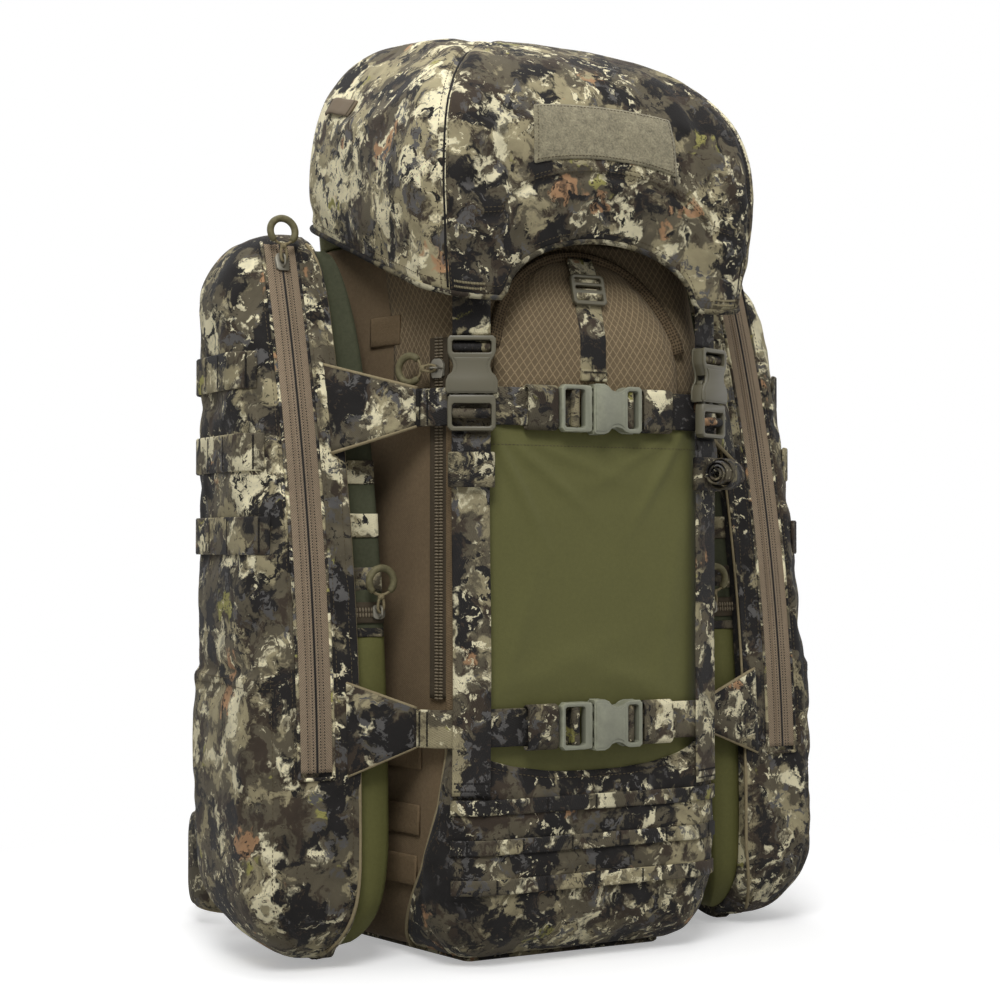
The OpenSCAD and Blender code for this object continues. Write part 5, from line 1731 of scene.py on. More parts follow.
@dataclass(frozen=True)
class LidTop:
    """Domed lid with its seams, patch, loops, skirt and floor."""

    rows: int = 26
    crown_rows: int = 22
    crown_t: float = 0.74
    seam_turn: float = 232
    flap_t: float = 0.335
    flap_half: float = 92
    flap_spot: Pair = (98.8, -114.3)
    lining_top: float = 557
    lining_crown: float = 634
    patch_half: float = 52
    patch_t: Pair = (0.42, 0.70)
    patch_thick: float = 1.9
    loop_y: Pair = (13, 51)
    loop_t: float = 0.645
    floor_z: float = 552.6

    def build(self) -> None:
        """Makes every piece of the lid."""
        dome = self.dome()
        self.trim(dome)
        self.patch(dome)
        self.loops(dome)
        self.floor()
        self.skirt()
        for node in ("lid_hinge_anchors", "lid_strap_pins"):
            Shop.dress(node, SLIDER)

    def levels(self, p: Array) -> Array:
        """Shares of the way to the crown for each row of the dome.

        Args:
            p: points of the rim's plan.

        Returns:
            One row of shares for each row of points.
        """
        high, low = LID.powers(p)
        first = np.linspace(0, self.crown_t, self.rows)[:, None] * np.ones(len(p))
        k = (1 - self.crown_t ** high) ** low * (1 - np.linspace(0, 1, self.crown_rows + 1)[1:-1, None]) ** 1.15
        return np.concatenate([first, (1 - k ** (1 / low)) ** (1 / high)])

    def seams(self) -> list[Array]:
        """Seams of the dome: its two front corners and the overlap across its front."""
        lines = []
        centre = np.array([LID.wide[1] / 2 - LID.front_r, LID.front_y + LID.front_r])
        a = math.radians(self.seam_turn)
        t = np.linspace(0.02, 0.985, 160)
        for side in SIDES:
            p = centre * (side, 1) + LID.front_r * np.array([-side * math.cos(a), math.sin(a)])
            lines.append(LID.place(np.broadcast_to(p, (len(t), 2)), t))
        x = np.linspace(-self.flap_half, self.flap_half, 120)
        flap = np.column_stack([x, np.full(len(x), LID.front_y)])
        return [*lines, LID.place(flap, self.flap_t - 0.04 * (x / self.flap_half) ** 2)]

    def dome(self) -> Piece:
        """Makes the dome with its lining.

        Returns:
            The finished piece.
        """
        plan, lining = LID.plan(0), LID.plan(-LID.wall + 1.5)
        t, rim = self.levels(plan), LID.rim(lining)
        inner_t = np.linspace(0, 1, 14)[:, None] * np.clip((self.lining_top - rim) / (self.lining_crown - rim), 0, 1)
        outer, inner = (LID.place(np.broadcast_to(p, (*at.shape, 2)), at) for p, at in ((plan, t), (lining, inner_t)))
        sewn = Sewn("lid_cloth")
        a, b = sewn.grid(outer, True), sewn.grid(inner, True)
        sewn.join(a[0], b[0], True)
        sewn.cap(a[-1])
        sewn.cap(b[-1])
        obj = sewn.build()
        front = (np.abs(plan[:, 0]) < 112) & (plan[:, 1] < LID.front_y + LID.front_r)
        Shop.split(obj, (LID_CAMO, LID_SIDE_CAMO, BROWN_CLOTH),
                   np.concatenate([np.tile(np.where(front, 0, 1), len(t) - 1), np.full(len(obj.data.polygons), 2)]))
        obj.data.polygons[-2].material_index = 1
        seams = self.seams()
        pinned = np.ones(sewn.count, bool)
        pinned[a.ravel()] = (Shop.distance(outer.reshape(-1, 3), seams) < 4) | (t.ravel() < 0.05)
        Shop.puff(obj, pinned, 3.5, 3.2, 0.02)
        Shop.refine(obj)
        Shop.rumple(obj, 0.9, 42, 5.0)
        Shop.pinch(obj, seams, 2.2, 2.4)
        Shop.finish(obj, LID_CAMO, TOP, "lid_shell", "camo_fabric")
        return obj

    def trim(self, dome: Piece) -> None:
        """Makes the bound rim and the seams' cords and stitches.

        Args:
            dome: the lid's cloth.
        """
        plan = LID.plan(0.2)
        bind = Sewn("lid_binding")
        bind.tube(LID.place(plan, np.full(len(plan), 0.004)), 1.9, 8, True)
        bind.piece(RIM_CAMO, TOP, slot="camo_fabric")
        left, right, front = self.seams()
        shifts = ((left, (-3.2, 2, 0)), (right, (3.2, 2, 0)), (left, (3.2, -1, 0)), (right, (-3.2, -1, 0)),
                  (front, (0, 0, 3.0)), (front, (0, 0, 6.0)))
        low = LID.place(plan, np.full(len(plan), 0.045))
        lines = [line + shift for line, shift in shifts] + [np.concatenate([low, low[:1]])]
        SEAM.sew("lid_stitches", [Shop.lay(dome, line, 0.1) for line in lines], TOP)
        bars = []
        for side in SIDES:
            p = np.array(self.flap_spot) * (side, 1) + np.linspace(-10, 10, 24)[:, None] * (1, 0.21 * side)
            bars += [Shop.lay(dome, LID.place(p, np.full(len(p), t)), 0.2) for t in (0.03, 0.05)]
        FLAP_TACK.sew("flap_tacks", bars, TOP)
        cords = Sewn("lid_seam_cords")
        for line in (left, right):
            cords.tube(Shop.lay(dome, line, 0.0)[0], 0.8, 6)
        cords.piece(DARK_THREAD, TOP, slot="camo_fabric")

    def patch(self, dome: Piece) -> None:
        """Makes the loop patch with its sewn border.

        Args:
            dome: the lid's cloth.
        """
        n = (20, 40)
        x = np.linspace(-self.patch_half, self.patch_half, n[1])
        t = np.linspace(*self.patch_t, n[0])[:, None] * np.ones(n[1])
        flat = np.stack(np.broadcast_arrays(x, np.full(n, LID.front_y)), -1)
        on, ups = (a.reshape(*n, 3) for a in Shop.lay(dome, LID.place(flat, t).reshape(-1, 3), 0))
        edge = np.minimum.outer(*(np.minimum(np.arange(k), k - 1 - np.arange(k)) for k in n))
        rise = self.patch_thick * np.where(edge == 0, 0.55, 1)[..., None]
        sewn = Sewn("patch_pile")
        sewn.slab(on + ups * (rise + 0.25), on + ups * 0.1)
        obj = sewn.build()
        Shop.refine(obj)
        Shop.finish(obj, LOOP_PILE, TOP, "lid_patch", "loop_patch")
        face = on + ups * (self.patch_thick + 0.3)
        ring = np.concatenate([face[1, 1:-1], face[1:-1, -2], face[-2, -2:0:-1], face[-2:0:-1, 1]])
        PATCH_SEAM.sew("patch_stitches", [Shop.lay(obj, ring, 0.1)], TOP)

    def loops(self, dome: Piece) -> None:
        """Makes the two lash loops high on the lid's sides.

        Args:
            dome: the lid's cloth.
        """
        sewn, tacks = Sewn("lash_loops"), []
        y = np.linspace(*self.loop_y, 20)
        half = mix(LID.wide[1], LID.wide[0], (y - LID.front_y) / (LID.back_y - LID.front_y)) / 2
        bow = 1.3 + 2.2 * np.sin(np.linspace(0, np.pi, len(y)))[:, None]
        for side in SIDES:
            spots = LID.place(np.column_stack([side * half, y]), np.full(len(y), self.loop_t))
            on, ups = Shop.lay(dome, spots, 0)
            across = np.cross(ups, (0, 1, 0))
            sewn.strip(on + ups * bow, across, 14, 1.7)
            tacks += [bar(on[i] + ups[i] * 2.6, across[i], ups[i], 6, 14) for i in (1, -2)]
        sewn.piece(TAN_WEB, TOP, "lid_loops", "tan_webbing")
        LOOP_TACK.sew("loop_tacks", tacks, TOP)

    def floor(self) -> None:
        """Makes the floor of the lid's pocket, a little slack."""
        k = np.linspace(1, 0.04, 26)[:, None, None]
        flat = LID.middle + (LID.plan(-24) - LID.middle) * k
        outer = points(flat[..., 0], flat[..., 1], self.floor_z - 1.2 * (1 - k[..., 0] ** 2))
        outer[..., 2] += 0.5 * rolling(outer, 40, 2.0)
        sewn = Sewn("lid_floor_cloth")
        a, b = sewn.grid(outer, True), sewn.grid(outer + (0, 0, 1.2), True)
        sewn.join(a[0], b[0], True)
        sewn.cap(a[-1])
        sewn.cap(b[-1])
        obj = sewn.piece(OLIVE_CLOTH, TOP, "lid_floor", "olive_fabric")

    def skirt(self) -> None:
        """Makes the olive skirt that closes the lid's back and sides down to the bag's rim."""
        plan = LID.plan(-3)
        keep = np.flatnonzero(LID.rim(plan) > BAG.height + 4)
        gaps = np.flatnonzero(np.diff(keep) > 1)
        p = plan[np.roll(keep, -(int(gaps[0]) + 1) if len(gaps) else 0)]
        inward = unit(LID.middle - p)
        outer = np.stack([np.column_stack([p + inward * (1 + 2 * t), mix(LID.rim(p) + 5, BAG.height + 2, t)])
                          for t in np.linspace(0, 1, 8)])
        inward = points(*np.moveaxis(LID.middle - outer[..., :2], -1, 0), 0)
        sewn = Sewn("lid_skirt")
        sewn.slab(outer, outer + unit(inward))
        obj = sewn.piece(OLIVE_CLOTH, TOP, slot="olive_fabric")


@dataclass(frozen=True)
class Pods:
    """Side pods with their gussets, tabs and webbing."""

    row_z: Floats = (285, 340, 395)
    row_w: float = 25
    lip: float = 1.8
    hem: Floats = (190, 193.5, 196.5, 200)
    ring_z: Pair = (57, 444)
    ring_step: float = 6
    foot_h: float = 48
    head_h: float = 50
    gusset_z: Pair = (11, 483)
    gusset_r: Pair = (74, 96)
    gusset_rest: float = 2
    flat_z: float = 234
    band_z: Floats = (256, 292, 328)
    tab_h: float = 60
    strap_h: float = 25
    tab_spots: Floats = (370, 159)
    tab_start: Pair = (115.75, -70.555)
    tab_end: float = 162

    def build(self) -> None:
        """Makes both pods."""
        for side in SIDES:
            self.pod(side)
            self.gusset(side)
        self.rows()
        self.tabs()

    def levels(self) -> Array:
        """Heights of the pod's rings."""
        foot = POD.foot + self.foot_h * (1 - np.cos(np.linspace(0, np.pi / 2, 12)))
        head = POD.top - self.head_h * (1 - np.cos(np.linspace(np.pi / 2, 0, 13)))
        mid = [z for z in np.arange(*self.ring_z, self.ring_step) if min(abs(z - h) for h in self.hem) > 3]
        return np.unique(np.concatenate([foot, mid, self.hem, head]))

    @staticmethod
    def seams() -> list[Array]:
        """Seams of the right pod: beside its zip, at its hem and down its front edge."""
        z = np.linspace(20, 486, 180)
        z = z[(z > POD.zip_foot - 6) & (z < POD.zip_top + 4)]
        ring, low = POD.ring(POD.pocket_z), np.linspace(14, POD.pocket_z, 90)
        return [*(points(POD.zip_x + d * (POD.zip_half + 1), POD.sweep(z), z) for d in SIDES),
                ring[ring[:, 0] > POD.out(POD.pocket_z) - 14],
                points(POD.out(low) - POD.edge_r * 0.55, POD.fore(low) + POD.edge_r * 0.12, low)]

    def pod(self, side: int) -> None:
        """Makes a pod's shell and its trim.

        Args:
            side: side of the pack.
        """
        zs = self.levels()
        rings = np.stack([POD.ring(z) for z in zs])
        front = rings[..., 1] < (POD.fore(zs) + 3)[:, None]
        beside = ease((np.abs(rings[..., 0] - POD.zip_x) - POD.zip_half + 0.5) / 3.5)
        inside = ease((zs - POD.zip_foot + 12) / 8) * ease((POD.zip_top + 6 - zs) / 8)
        rings[..., 1] -= np.where(front, self.lip * beside * inside[:, None], 0)
        sewn = Sewn(f"pod_cloth_{hand(side)}")
        sewn.grid(mirrored(rings, side), True, True)
        obj = sewn.build()
        p = rings.reshape(-1, 3)
        x, z = p[:, 0], p[:, 2]
        seams = [mirrored(line, side) for line in self.seams()]
        near_row = np.min(np.abs(z[:, None] - self.row_z), 1) < 13
        pinned = ((np.abs(x - POD.zip_x) < POD.zip_half + 3) & front.ravel() | (x < POD.inner_x + 1) | (z < 6)
                  | (z > 490) | (Shop.distance(mirrored(p, side), seams) < 4) | near_row & (x > 190))
        Shop.puff(obj, pinned, 3.5, 3.0, 0.025)
        Shop.refine(obj)
        Shop.pinch(obj, seams[2:], 1.3, 2.4)
        p = Shop.coords(obj)
        calm = np.clip(Shop.distance(p, seams[:2]) / 12, 0, 1) * (np.abs(p[:, 0]) > POD.inner_x + 2)
        swell = rolling(p * (1, 1, 0.7), 48, 6.0 + side) + 0.5 * rolling(p, 20, 2.0 + side)
        Shop.swell(obj, p, (1.3 * swell - 0.4) * calm)
        Shop.finish(obj, POD_CAMO, PACK, f"pod_{hand(side)}", "camo_fabric")
        self.trim(side, obj)

    def trim(self, side: int, obj: Piece) -> None:
        """Makes a pod's zip lips, piping and stitches.

        Args:
            side: side of the pack.
            obj: the pod's shell.
        """
        z, half = np.linspace(POD.zip_foot - 4, POD.zip_top + 2, 110), POD.zip_half + 0.6
        edges = [points(POD.zip_x + d * half, POD.sweep(z) - 1, z) for d in SIDES]
        foot = points(np.linspace(-half, half, 20) + POD.zip_x, POD.sweep(z[0]) - 1, z[0])
        lips = Sewn(f"zip_lips_{hand(side)}")
        for line in (*edges, foot):
            lips.tube(mirrored(line, side), 1.25, 6)
        lips.piece(LIP_CAMO, slot="camo_fabric")
        h = np.linspace(12, 486, 120)
        edge = points(POD.inner_x + POD.inset(h), POD.fore(h) + 0.4, h)
        pipe = Sewn(f"pod_piping_{hand(side)}")
        pipe.tube(mirrored(edge, side), 1.2, 6)
        pipe.piece(PIPING, slot="camo_fabric")
        *_, hem, corner = self.seams()
        lines = [edges[0] - (3.6, 0, 0), edges[1] + (3.6, 0, 0), hem - (0, 0, 4), hem - (0, 0, 9),
                 corner + (3, 1, 0), edge + (5, -1, 0)]
        SEAM.sew(f"pod_stitches_{hand(side)}", [Shop.lay(obj, mirrored(line, side), 0.1) for line in lines])

    def gusset(self, side: int) -> None:
        """Makes the folded gusset between a pod and the bag.

        Args:
            side: side of the pack.
        """
        (foot, top), rest = self.gusset_z, self.gusset_rest
        x1, u, rows = POD.gusset_out, np.linspace(0, 1, 9), []
        wave = np.sin(np.pi * u)
        for z in (*np.linspace(foot, 20, 4), *np.arange(26, 476, 6), *np.linspace(477, top, 3)):
            low, high = (POD.draw_in(h, r, rest) / (r - rest) for h, r in zip((z - foot, top - z), self.gusset_r))
            x0 = mix(POD.gusset_in, x1 - 2, max(low, 0.75 * high))
            y0, y1 = float(POD.fore(z)) + POD.gusset_back + 10 * low, float(POD.aft(z)) - 4
            fold = 3.4 * wave * ease((abs(z - self.flat_z) - 10) / 10) * (z > self.flat_z)
            bulge = 3.0 * wave * ease((222 - z) / 10) * ease((z - 20) / 20)
            a, b, c, d = (np.array([x, y, z]) for x, y in ((x1, y0), (x1, y1), (x0, y1), (x0, y0)))
            rows.append(np.concatenate([points(mix(x0, x1, u), y0 + fold - bulge, z), between(a, b, 13),
                                        points(np.linspace(x1, x0, 5), y1, z), between(c, d, 13)]))
        sewn = Sewn(f"gusset_cloth_{hand(side)}")
        sewn.grid(mirrored(np.stack(rows), side), True, True)
        obj = sewn.build()
        high = np.array([f.center.z for f in obj.data.polygons]) > (self.flat_z - 10) * MM
        Shop.split(obj, (OLIVE_CLOTH, GUSSET_CLOTH), high.astype(int))
        Shop.finish(obj, GUSSET_CLOTH, PACK, "pod_gussets", "olive_fabric")
        bands, x0 = Sewn(f"gusset_bands_{hand(side)}"), POD.gusset_in
        strips = [(points(mix(x0, x1, u), POD.fore(z) + POD.gusset_back + 3.2 * wave - 1.1, z), 16, 1.5)
                  for z in self.band_z]
        hem = points(np.linspace(x0 + 1, x1 - 1, 12), float(POD.fore(220)) + POD.gusset_back - 1.2, 221)
        for path, wide, thick in (*strips, (hem, 6, 1.4)):
            bands.strip(mirrored(path, side), np.array([0, 0.1, 1]), wide, thick)
        bands.piece(WEB_CAMO, slot="camo_webbing")

    def rows(self) -> None:
        """Makes the webbing rows on the pods' outer sides."""
        sewn, tacks = Sewn("pod_rows"), []
        for side in SIDES:
            for z in self.row_z:
                x1, y0, y1 = POD.box(z)
                r = min(POD.edge_r, 0.45 * (y1 - y0))
                fore, aft = (arc((x1 - r, y), r + 1.5, a, a + 60, 8) for y, a in ((y0 + r, 300), (y1 - r, 0)))
                path = points(*np.concatenate([fore, between(fore[-1], aft[0], 13), aft]).T, z)
                sewn.strip(mirrored(path, side), UPRIGHT, self.row_w, 1.8)
                for p in path[[2, 11, 17, -3]]:
                    out = unit(p - (x1 - r, np.clip(p[1], y0 + r, y1 - r), z))
                    tacks.append(bar(mirrored(p + out * 1.1, side), UPRIGHT, mirrored(out, side), 11, 24))
        sewn.piece(ROW_CAMO, PACK, "pod_webbing", "camo_webbing")
        TACK.sew("pod_tacks", tacks)

    def tabs(self) -> None:
        """Makes the tapered tabs that tie the cinch straps to the pods."""
        sewn, pipe = Sewn("tab_cloth"), Sewn("tab_piping")
        x0, y0 = self.tab_start
        t, v = np.linspace(0, 1, 16), np.linspace(-1, 1, 12)[:, None]
        for side in SIDES:
            out = 1.2 * np.array([side * 0.1, -0.99, 0])
            for zc in self.tab_spots:
                y = mix(y0, POD.sweep(zc + v * self.tab_h / 2) - 1.5, t) - 1.2 * np.sin(np.pi * t) * (1 - v ** 2)
                z = zc + v * mix(self.strap_h, self.tab_h, t) / 2
                mid = mirrored(points(mix(x0, self.tab_end, t), y, z), side)
                sewn.slab(mid + out, mid - out)
                for r in (0, -1):
                    pipe.tube(mid[r], 1.35, 6)
        sewn.piece(TAB_CAMO, PACK, "pod_tabs", "camo_fabric")
        pipe.piece(PIPING, slot="camo_fabric")


# Webbing, buckles, zips and harness


def flip(right: Sequence[Pair]) -> list[Pair]:
    """Outline of a part's left half, from the points of its right half."""
    return [(-x, y) for x, y in reversed(right)]


def both(right: Sequence[Pair]) -> list[Pair]:
    """Closed outline from the points of its right half, in order of rising Y."""
    return [*right, *flip(right)]


def box(x: float, y0: float, y1: float, r: float = 1.2) -> list[Pair]:
    """Rounded opening that reaches x to both sides."""
    return both([(x - r, y0), (x, y0 + r), (x, y1 - r), (x - r, y1)])


@dataclass(frozen=True)
class Buckle:
    """Side-release buckle about the split between its halves, the female one along +Y and outwards along +Z."""

    half: float = 17
    waist: float = 12
    female_l: float = 38
    female_t: float = 10.6
    male_l: float = 24
    male_z: Pair = (2.7, 9.4)
    male_half: float = 15.8
    window: float = 12.7
    female_bar: Pair = (30.6, 5.3)
    male_bar: Pair = (-12.5, 6.2)
    bar_reach: float = 13.4
    web_w: float = 25
    loop_r: float = 2.5
    loop_t: float = 1.4
    lift: float = 1.3

    def mould(self, plates: Sequence[tuple], at: Pair) -> Parts:
        """Makes the parts of a half.

        Args:
            plates: outline, holes, thickness, edge radius and height of each plate.
            at: place of its round bar.

        Returns:
            The parts.
        """
        rod = Sewn("bar")
        rod.tube(points(np.linspace(-self.bar_reach, self.bar_reach, 6), *at), 1.6, 10)
        return [*((Shop.plate(*plate), Place.move(0, 0, z)) for *plate, z in plates), (rod.loose(), Matrix())]

    def female(self) -> Parts:
        """Parts of the female half: a floor, walls with an open waist, and a waisted top."""
        h, w, l, top = self.half, self.waist, self.female_l, self.female_t
        edge = both([(h - 1.5, 0.4), (h, 2), (h, 8.5), (h - 1.4, 11.8), (w + 0.9, 14.4), (w, 18.4), (w + 0.9, 22.2),
                     (h - 2.2, 25), (h - 1.2, 28), (h - 1.2, l - 2), (h - 3, l)])
        lip = both([(h - 2.2, 1.6), (h - 2.2, 8.4), (h - 3.6, 11), (w - 1.6, 14.4), (w - 2.4, 18.4), (w - 1.6, 21.4),
                    (w, 23.6)])
        post = [(13.9, 0.6), (16.6, 0.6), (16.9, 8.5), (15.5, 11.8), (13.9, 12.4)]
        block = both([(w - 1, 19), (w + 0.4, 22.4), (h - 2.6, 25.2), (h - 1.6, 28), (h - 1.6, l - 2.2),
                      (h - 3.4, l - 0.4)])
        holes = [box(self.window, 26.8, l - 3)]
        return self.mould([(edge, holes, 1.6, 0.6, 0.0), (post, [], 7.4, 0.3, 1.5), (flip(post), [], 7.4, 0.3, 1.5),
                           (block, holes, 7.4, 0.4, 1.5), (edge, holes, 2.2, 0.9, top - 2.5),
                           (lip, [], 0.8, 0.35, top - 0.5)], self.female_bar)

    def male(self) -> Parts:
        """Parts of the male half: a frame with its bar, and the prongs."""
        h, l = self.male_half, self.male_l
        low, high = self.male_z
        edge = both([(h - 2.5, -l), (h, -l + 2.5), (h, -6), (h - 0.4, -1.6), (h - 1.6, -0.4)])
        prong = [(8.4, -2), (11.6, -2), (12, 6), (12.6, 10), (13.3, 12), (13.2, 14), (11.8, 15.5), (9.8, 15.5), (9, 8)]
        guide = both([(2.4, -2), (2.2, 9), (1.2, 11)])
        return self.mould([(edge, [box(self.window, -l + 3, -6.2)], high - low, 1.2, low),
                           (prong, [], 4.4, 0.6, 2.7), (flip(prong), [], 4.4, 0.6, 2.7), (guide, [], 3.4, 0.5, 3.2)],
                          self.male_bar)

    @staticmethod
    def fit(name: str, parts: Parts, place: Matrix, finish: Finish, body: str, node: str) -> None:
        """Makes one piece of moulded parts.

        Args:
            name: name of the piece.
            parts: its parts.
            place: where they go.
            finish: its finish.
            body: body that it moves with.
            node: node that it stands for.
        """
        obj = Shop.gather(name, [(mesh, place @ at) for mesh, at in parts])
        Shop.finish(obj, finish, body, node, "buckle_plastic")

    def web(self, sewn: Sewn, at: Pair, way: int, place: Matrix, lead: float = 0) -> None:
        """Adds webbing that comes under the end rail, round a bar and back below it.

        Args:
            sewn: the piece.
            at: place of the bar.
            way: direction in which the webbing leaves, 1 along +Y.
            place: where the buckle is.
            lead: length of webbing to add outside the buckle.
        """
        a = np.radians(np.linspace(-25, 205, 14))
        turn = np.column_stack([self.loop_r * np.cos(a), at[1] + self.loop_r * np.sin(a)])
        flat = np.concatenate([[(9, self.lift), (6, self.lift), (3.6, 2.2)], turn, [(-1.4, 2.4)]])
        path = points(0, at[0] + way * flat[:, 0], flat[:, 1])
        if lead:
            path = np.concatenate([path[:1] + np.linspace(lead, 4, 6)[:, None] * (0, way, 0), path])
        sewn.strip(Place.put(path, place), Place.way(place, 1, 0, 0), self.web_w, self.loop_t)


BUCKLES = Buckle()


@dataclass(frozen=True)
class Straps:
    """Webbing on the pack's front with its buckles, keepers and ladder lock."""

    web_w: float = 25
    web_t: float = 1.8
    tilt: float = 26
    strap_off: float = 11.3
    foot: float = 116
    split_z: float = 377
    keeper_z: float = 328
    keeper_l: float = 23
    roll_y: float = -27.9
    tail_z: Pair = (352, 318)
    tail_off: Pair = (14.4, 15.6)
    cinch_off: float = 9
    split_x: float = -5
    keeper_x: Pair = (48, -42)
    spare_x: Pair = (-27, -50)
    spare_off: Pair = (12.4, 13.6)
    cinch_z: tuple[tuple[str, float], ...] = (("upper", 370), ("lower", 159))
    lid_pin_z: float = 443
    centre_w: float = 20
    lock_z: float = 451

    def build(self) -> None:
        """Makes every strap and buckle of the front."""
        self.upright()
        self.cinch()
        self.centre()
        for side in SIDES:
            self.lid_strap(side)

    def strap_place(self, side: int) -> Matrix:
        """Frame of an upright strap: X across it, -Y outwards from the bag's skin."""
        return BAG.corner(side, 0, self.tilt, 0)

    def strap_buckle(self, side: int) -> Matrix:
        """Frame of a lid buckle."""
        return self.strap_place(side) @ Place.move(0, -self.strap_off + 0.4, self.split_z) @ Place.turn("X", 90)

    @staticmethod
    def keeper(sewn: Sewn, place: Matrix, low: float, high: float, length: float, half: float = 14.6) -> None:
        """Adds a keeper loop round a strap.

        Args:
            sewn: the piece.
            place: frame at the keeper's middle, X across the strap, Z along it and -Y outwards.
            low: distance from the skin to its back.
            high: distance from the skin to its face.
            length: its length along the strap.
            half: half of its width.
        """
        r, mid = (high - low) / 2, (low + high) / 2
        right, left = arc((half - r, mid), r, -90, 90, 8), arc((-half + r, mid), r, 90, 270, 8)
        flat = np.concatenate([right, between(right[-1], left[0], 7), left, between(left[-1], right[0], 7), right[:1]])
        sewn.strip(Place.put(points(flat[:, 0], -flat[:, 1], 0), place), Place.way(place, 0, 0, 1), length, 1.5)

    def upright(self) -> None:
        """Makes the upright straps, their keepers and the male halves of the lid buckles."""
        webs, keepers, tacks, parts = Sewn("upright_webbing"), Sewn("keeper_webbing"), [], []
        z = np.linspace(self.foot, self.split_z - 22, 60)
        path = points(0.5 * np.sin(z / 41), -(self.strap_off + 0.9 + 0.35 * np.sin(z / 23) ** 2), z)
        tail = points(0, -np.linspace(*self.tail_off, 20), np.linspace(*self.tail_z, 20))
        tail[:4, 1] += (2.0, 1.2, 0.6, 0.2)
        a = np.linspace(0, 5.2 * np.pi, 64)
        rolls = ((webs, 2.2 + 0.42 * a, a, self.web_w), (keepers, 10.2, a / 2.6, 13))
        for side in SIDES:
            place, buckle = self.strap_place(side), self.strap_buckle(side)
            across = Place.way(place, 1, 0, 0)
            webs.strip(Place.put(path, place), across, self.web_w, self.web_t)
            BUCKLES.web(webs, BUCKLES.male_bar, -1, buckle, 14)
            webs.strip(Place.put(tail, place), across, self.web_w, 1.6)
            self.keeper(keepers, place @ Place.move(0, 0, self.keeper_z), self.strap_off - 0.6, 17.8, self.keeper_l)
            for sewn, r, turn, wide in rolls if side == RIGHT else ():
                roll = points(0, self.roll_y + r * np.cos(turn), self.keeper_z + r * np.sin(turn))
                sewn.strip(Place.put(roll, place), across, wide, 1.5)
            parts += [(mesh, buckle @ at) for mesh, at in BUCKLES.male()]
            for up in (3, 8):
                spot = Place.put((0, -self.strap_off - 2, self.foot + up), place)
                tacks.append(bar(spot, across, Place.way(place, 0, -1, 0), 11, 26))
        webs.piece(WEB_CAMO, PACK, "front_straps", "camo_webbing")
        keepers.piece(KEEPER_CAMO, PACK, "strap_keepers", "camo_webbing")
        BUCKLES.fit("lid_male_halves", parts, Matrix(), BUCKLE, PACK, "lid_buckle_males")
        TACK.sew("strap_tacks", tacks)

    def cinch_path(self, z: float, start: float, side: int) -> Array:
        """Path of a cinch strap from near the middle round a corner to its end.

        Args:
            z: height.
            start: distance of its first point from the middle.
            side: side that it runs to.

        Returns:
            Points of its middle line.
        """
        s = side * np.concatenate([np.linspace(start, BAG.corner_x, 12), BAG.corner_s(np.linspace(3, 60, 20))])
        run = BAG.front(s, z, self.cinch_off + self.web_t / 2)
        path = np.concatenate([run, run[-1] + unit(run[-1] - run[-2]) * np.linspace(3, 12, 4)[:, None]])
        path[:, 2] += 0.5 * np.sin(np.linspace(0, 5, len(path)))
        return path

    def cinch(self) -> None:
        """Makes the cinch straps and their buckles."""
        webs, tacks = Sewn("cinch_webbing"), []
        for name, z in self.cinch_z:
            place = (Place.move(self.split_x, BAG.face_y - self.cinch_off + 0.4, z) @ Place.turn("X", 90)
                     @ Place.turn("Z", -90))
            for start, side in ((34, RIGHT), (26, LEFT)):
                webs.strip(self.cinch_path(z, start, side), UPRIGHT, self.web_w, self.web_t)
            BUCKLES.web(webs, BUCKLES.female_bar, 1, place)
            stand, low = Place.move(0, BAG.face_y, z) @ Place.turn("Y", 90), self.cinch_off - 0.5
            self.keeper(webs, Place.move(self.keeper_x[0], 0, 0) @ stand, low, 15.4, self.keeper_l, 14.2)
            tail, body = Sewn(f"{name}_tail_webbing"), f"{name}_buckle"
            BUCKLES.web(tail, BUCKLES.male_bar, -1, place, 4)
            self.keeper(tail, Place.move(self.keeper_x[1], 0, 0) @ stand, low, 15.8, self.keeper_l, 14.4)
            spare = points(np.linspace(*self.spare_x, 16), BAG.face_y - np.linspace(*self.spare_off, 16), z)
            tail.strip(spare, UPRIGHT, self.web_w, 1.6)
            tail.piece(KEEPER_CAMO, body, f"{name}_tail", "camo_webbing")
            for half, parts, rides in (("female", BUCKLES.female(), PACK), ("male", BUCKLES.male(), body)):
                BUCKLES.fit(f"{name}_{half}_half", parts, place, CLASP, rides, f"{name}_buckle_{half}")
            for side in SIDES:
                end, out = self.cinch_path(z, 40, side), np.array([side * math.sin(math.radians(60)), -0.5, 0])
                tacks += [bar(end[i] + unit(out) * 1.1, UPRIGHT, unit(out), 11, 26) for i in (-2, -4)]
        webs.piece(WEB_CAMO, PACK, "cinch_straps", "camo_webbing")
        TACK.sew("cinch_tacks", tacks)

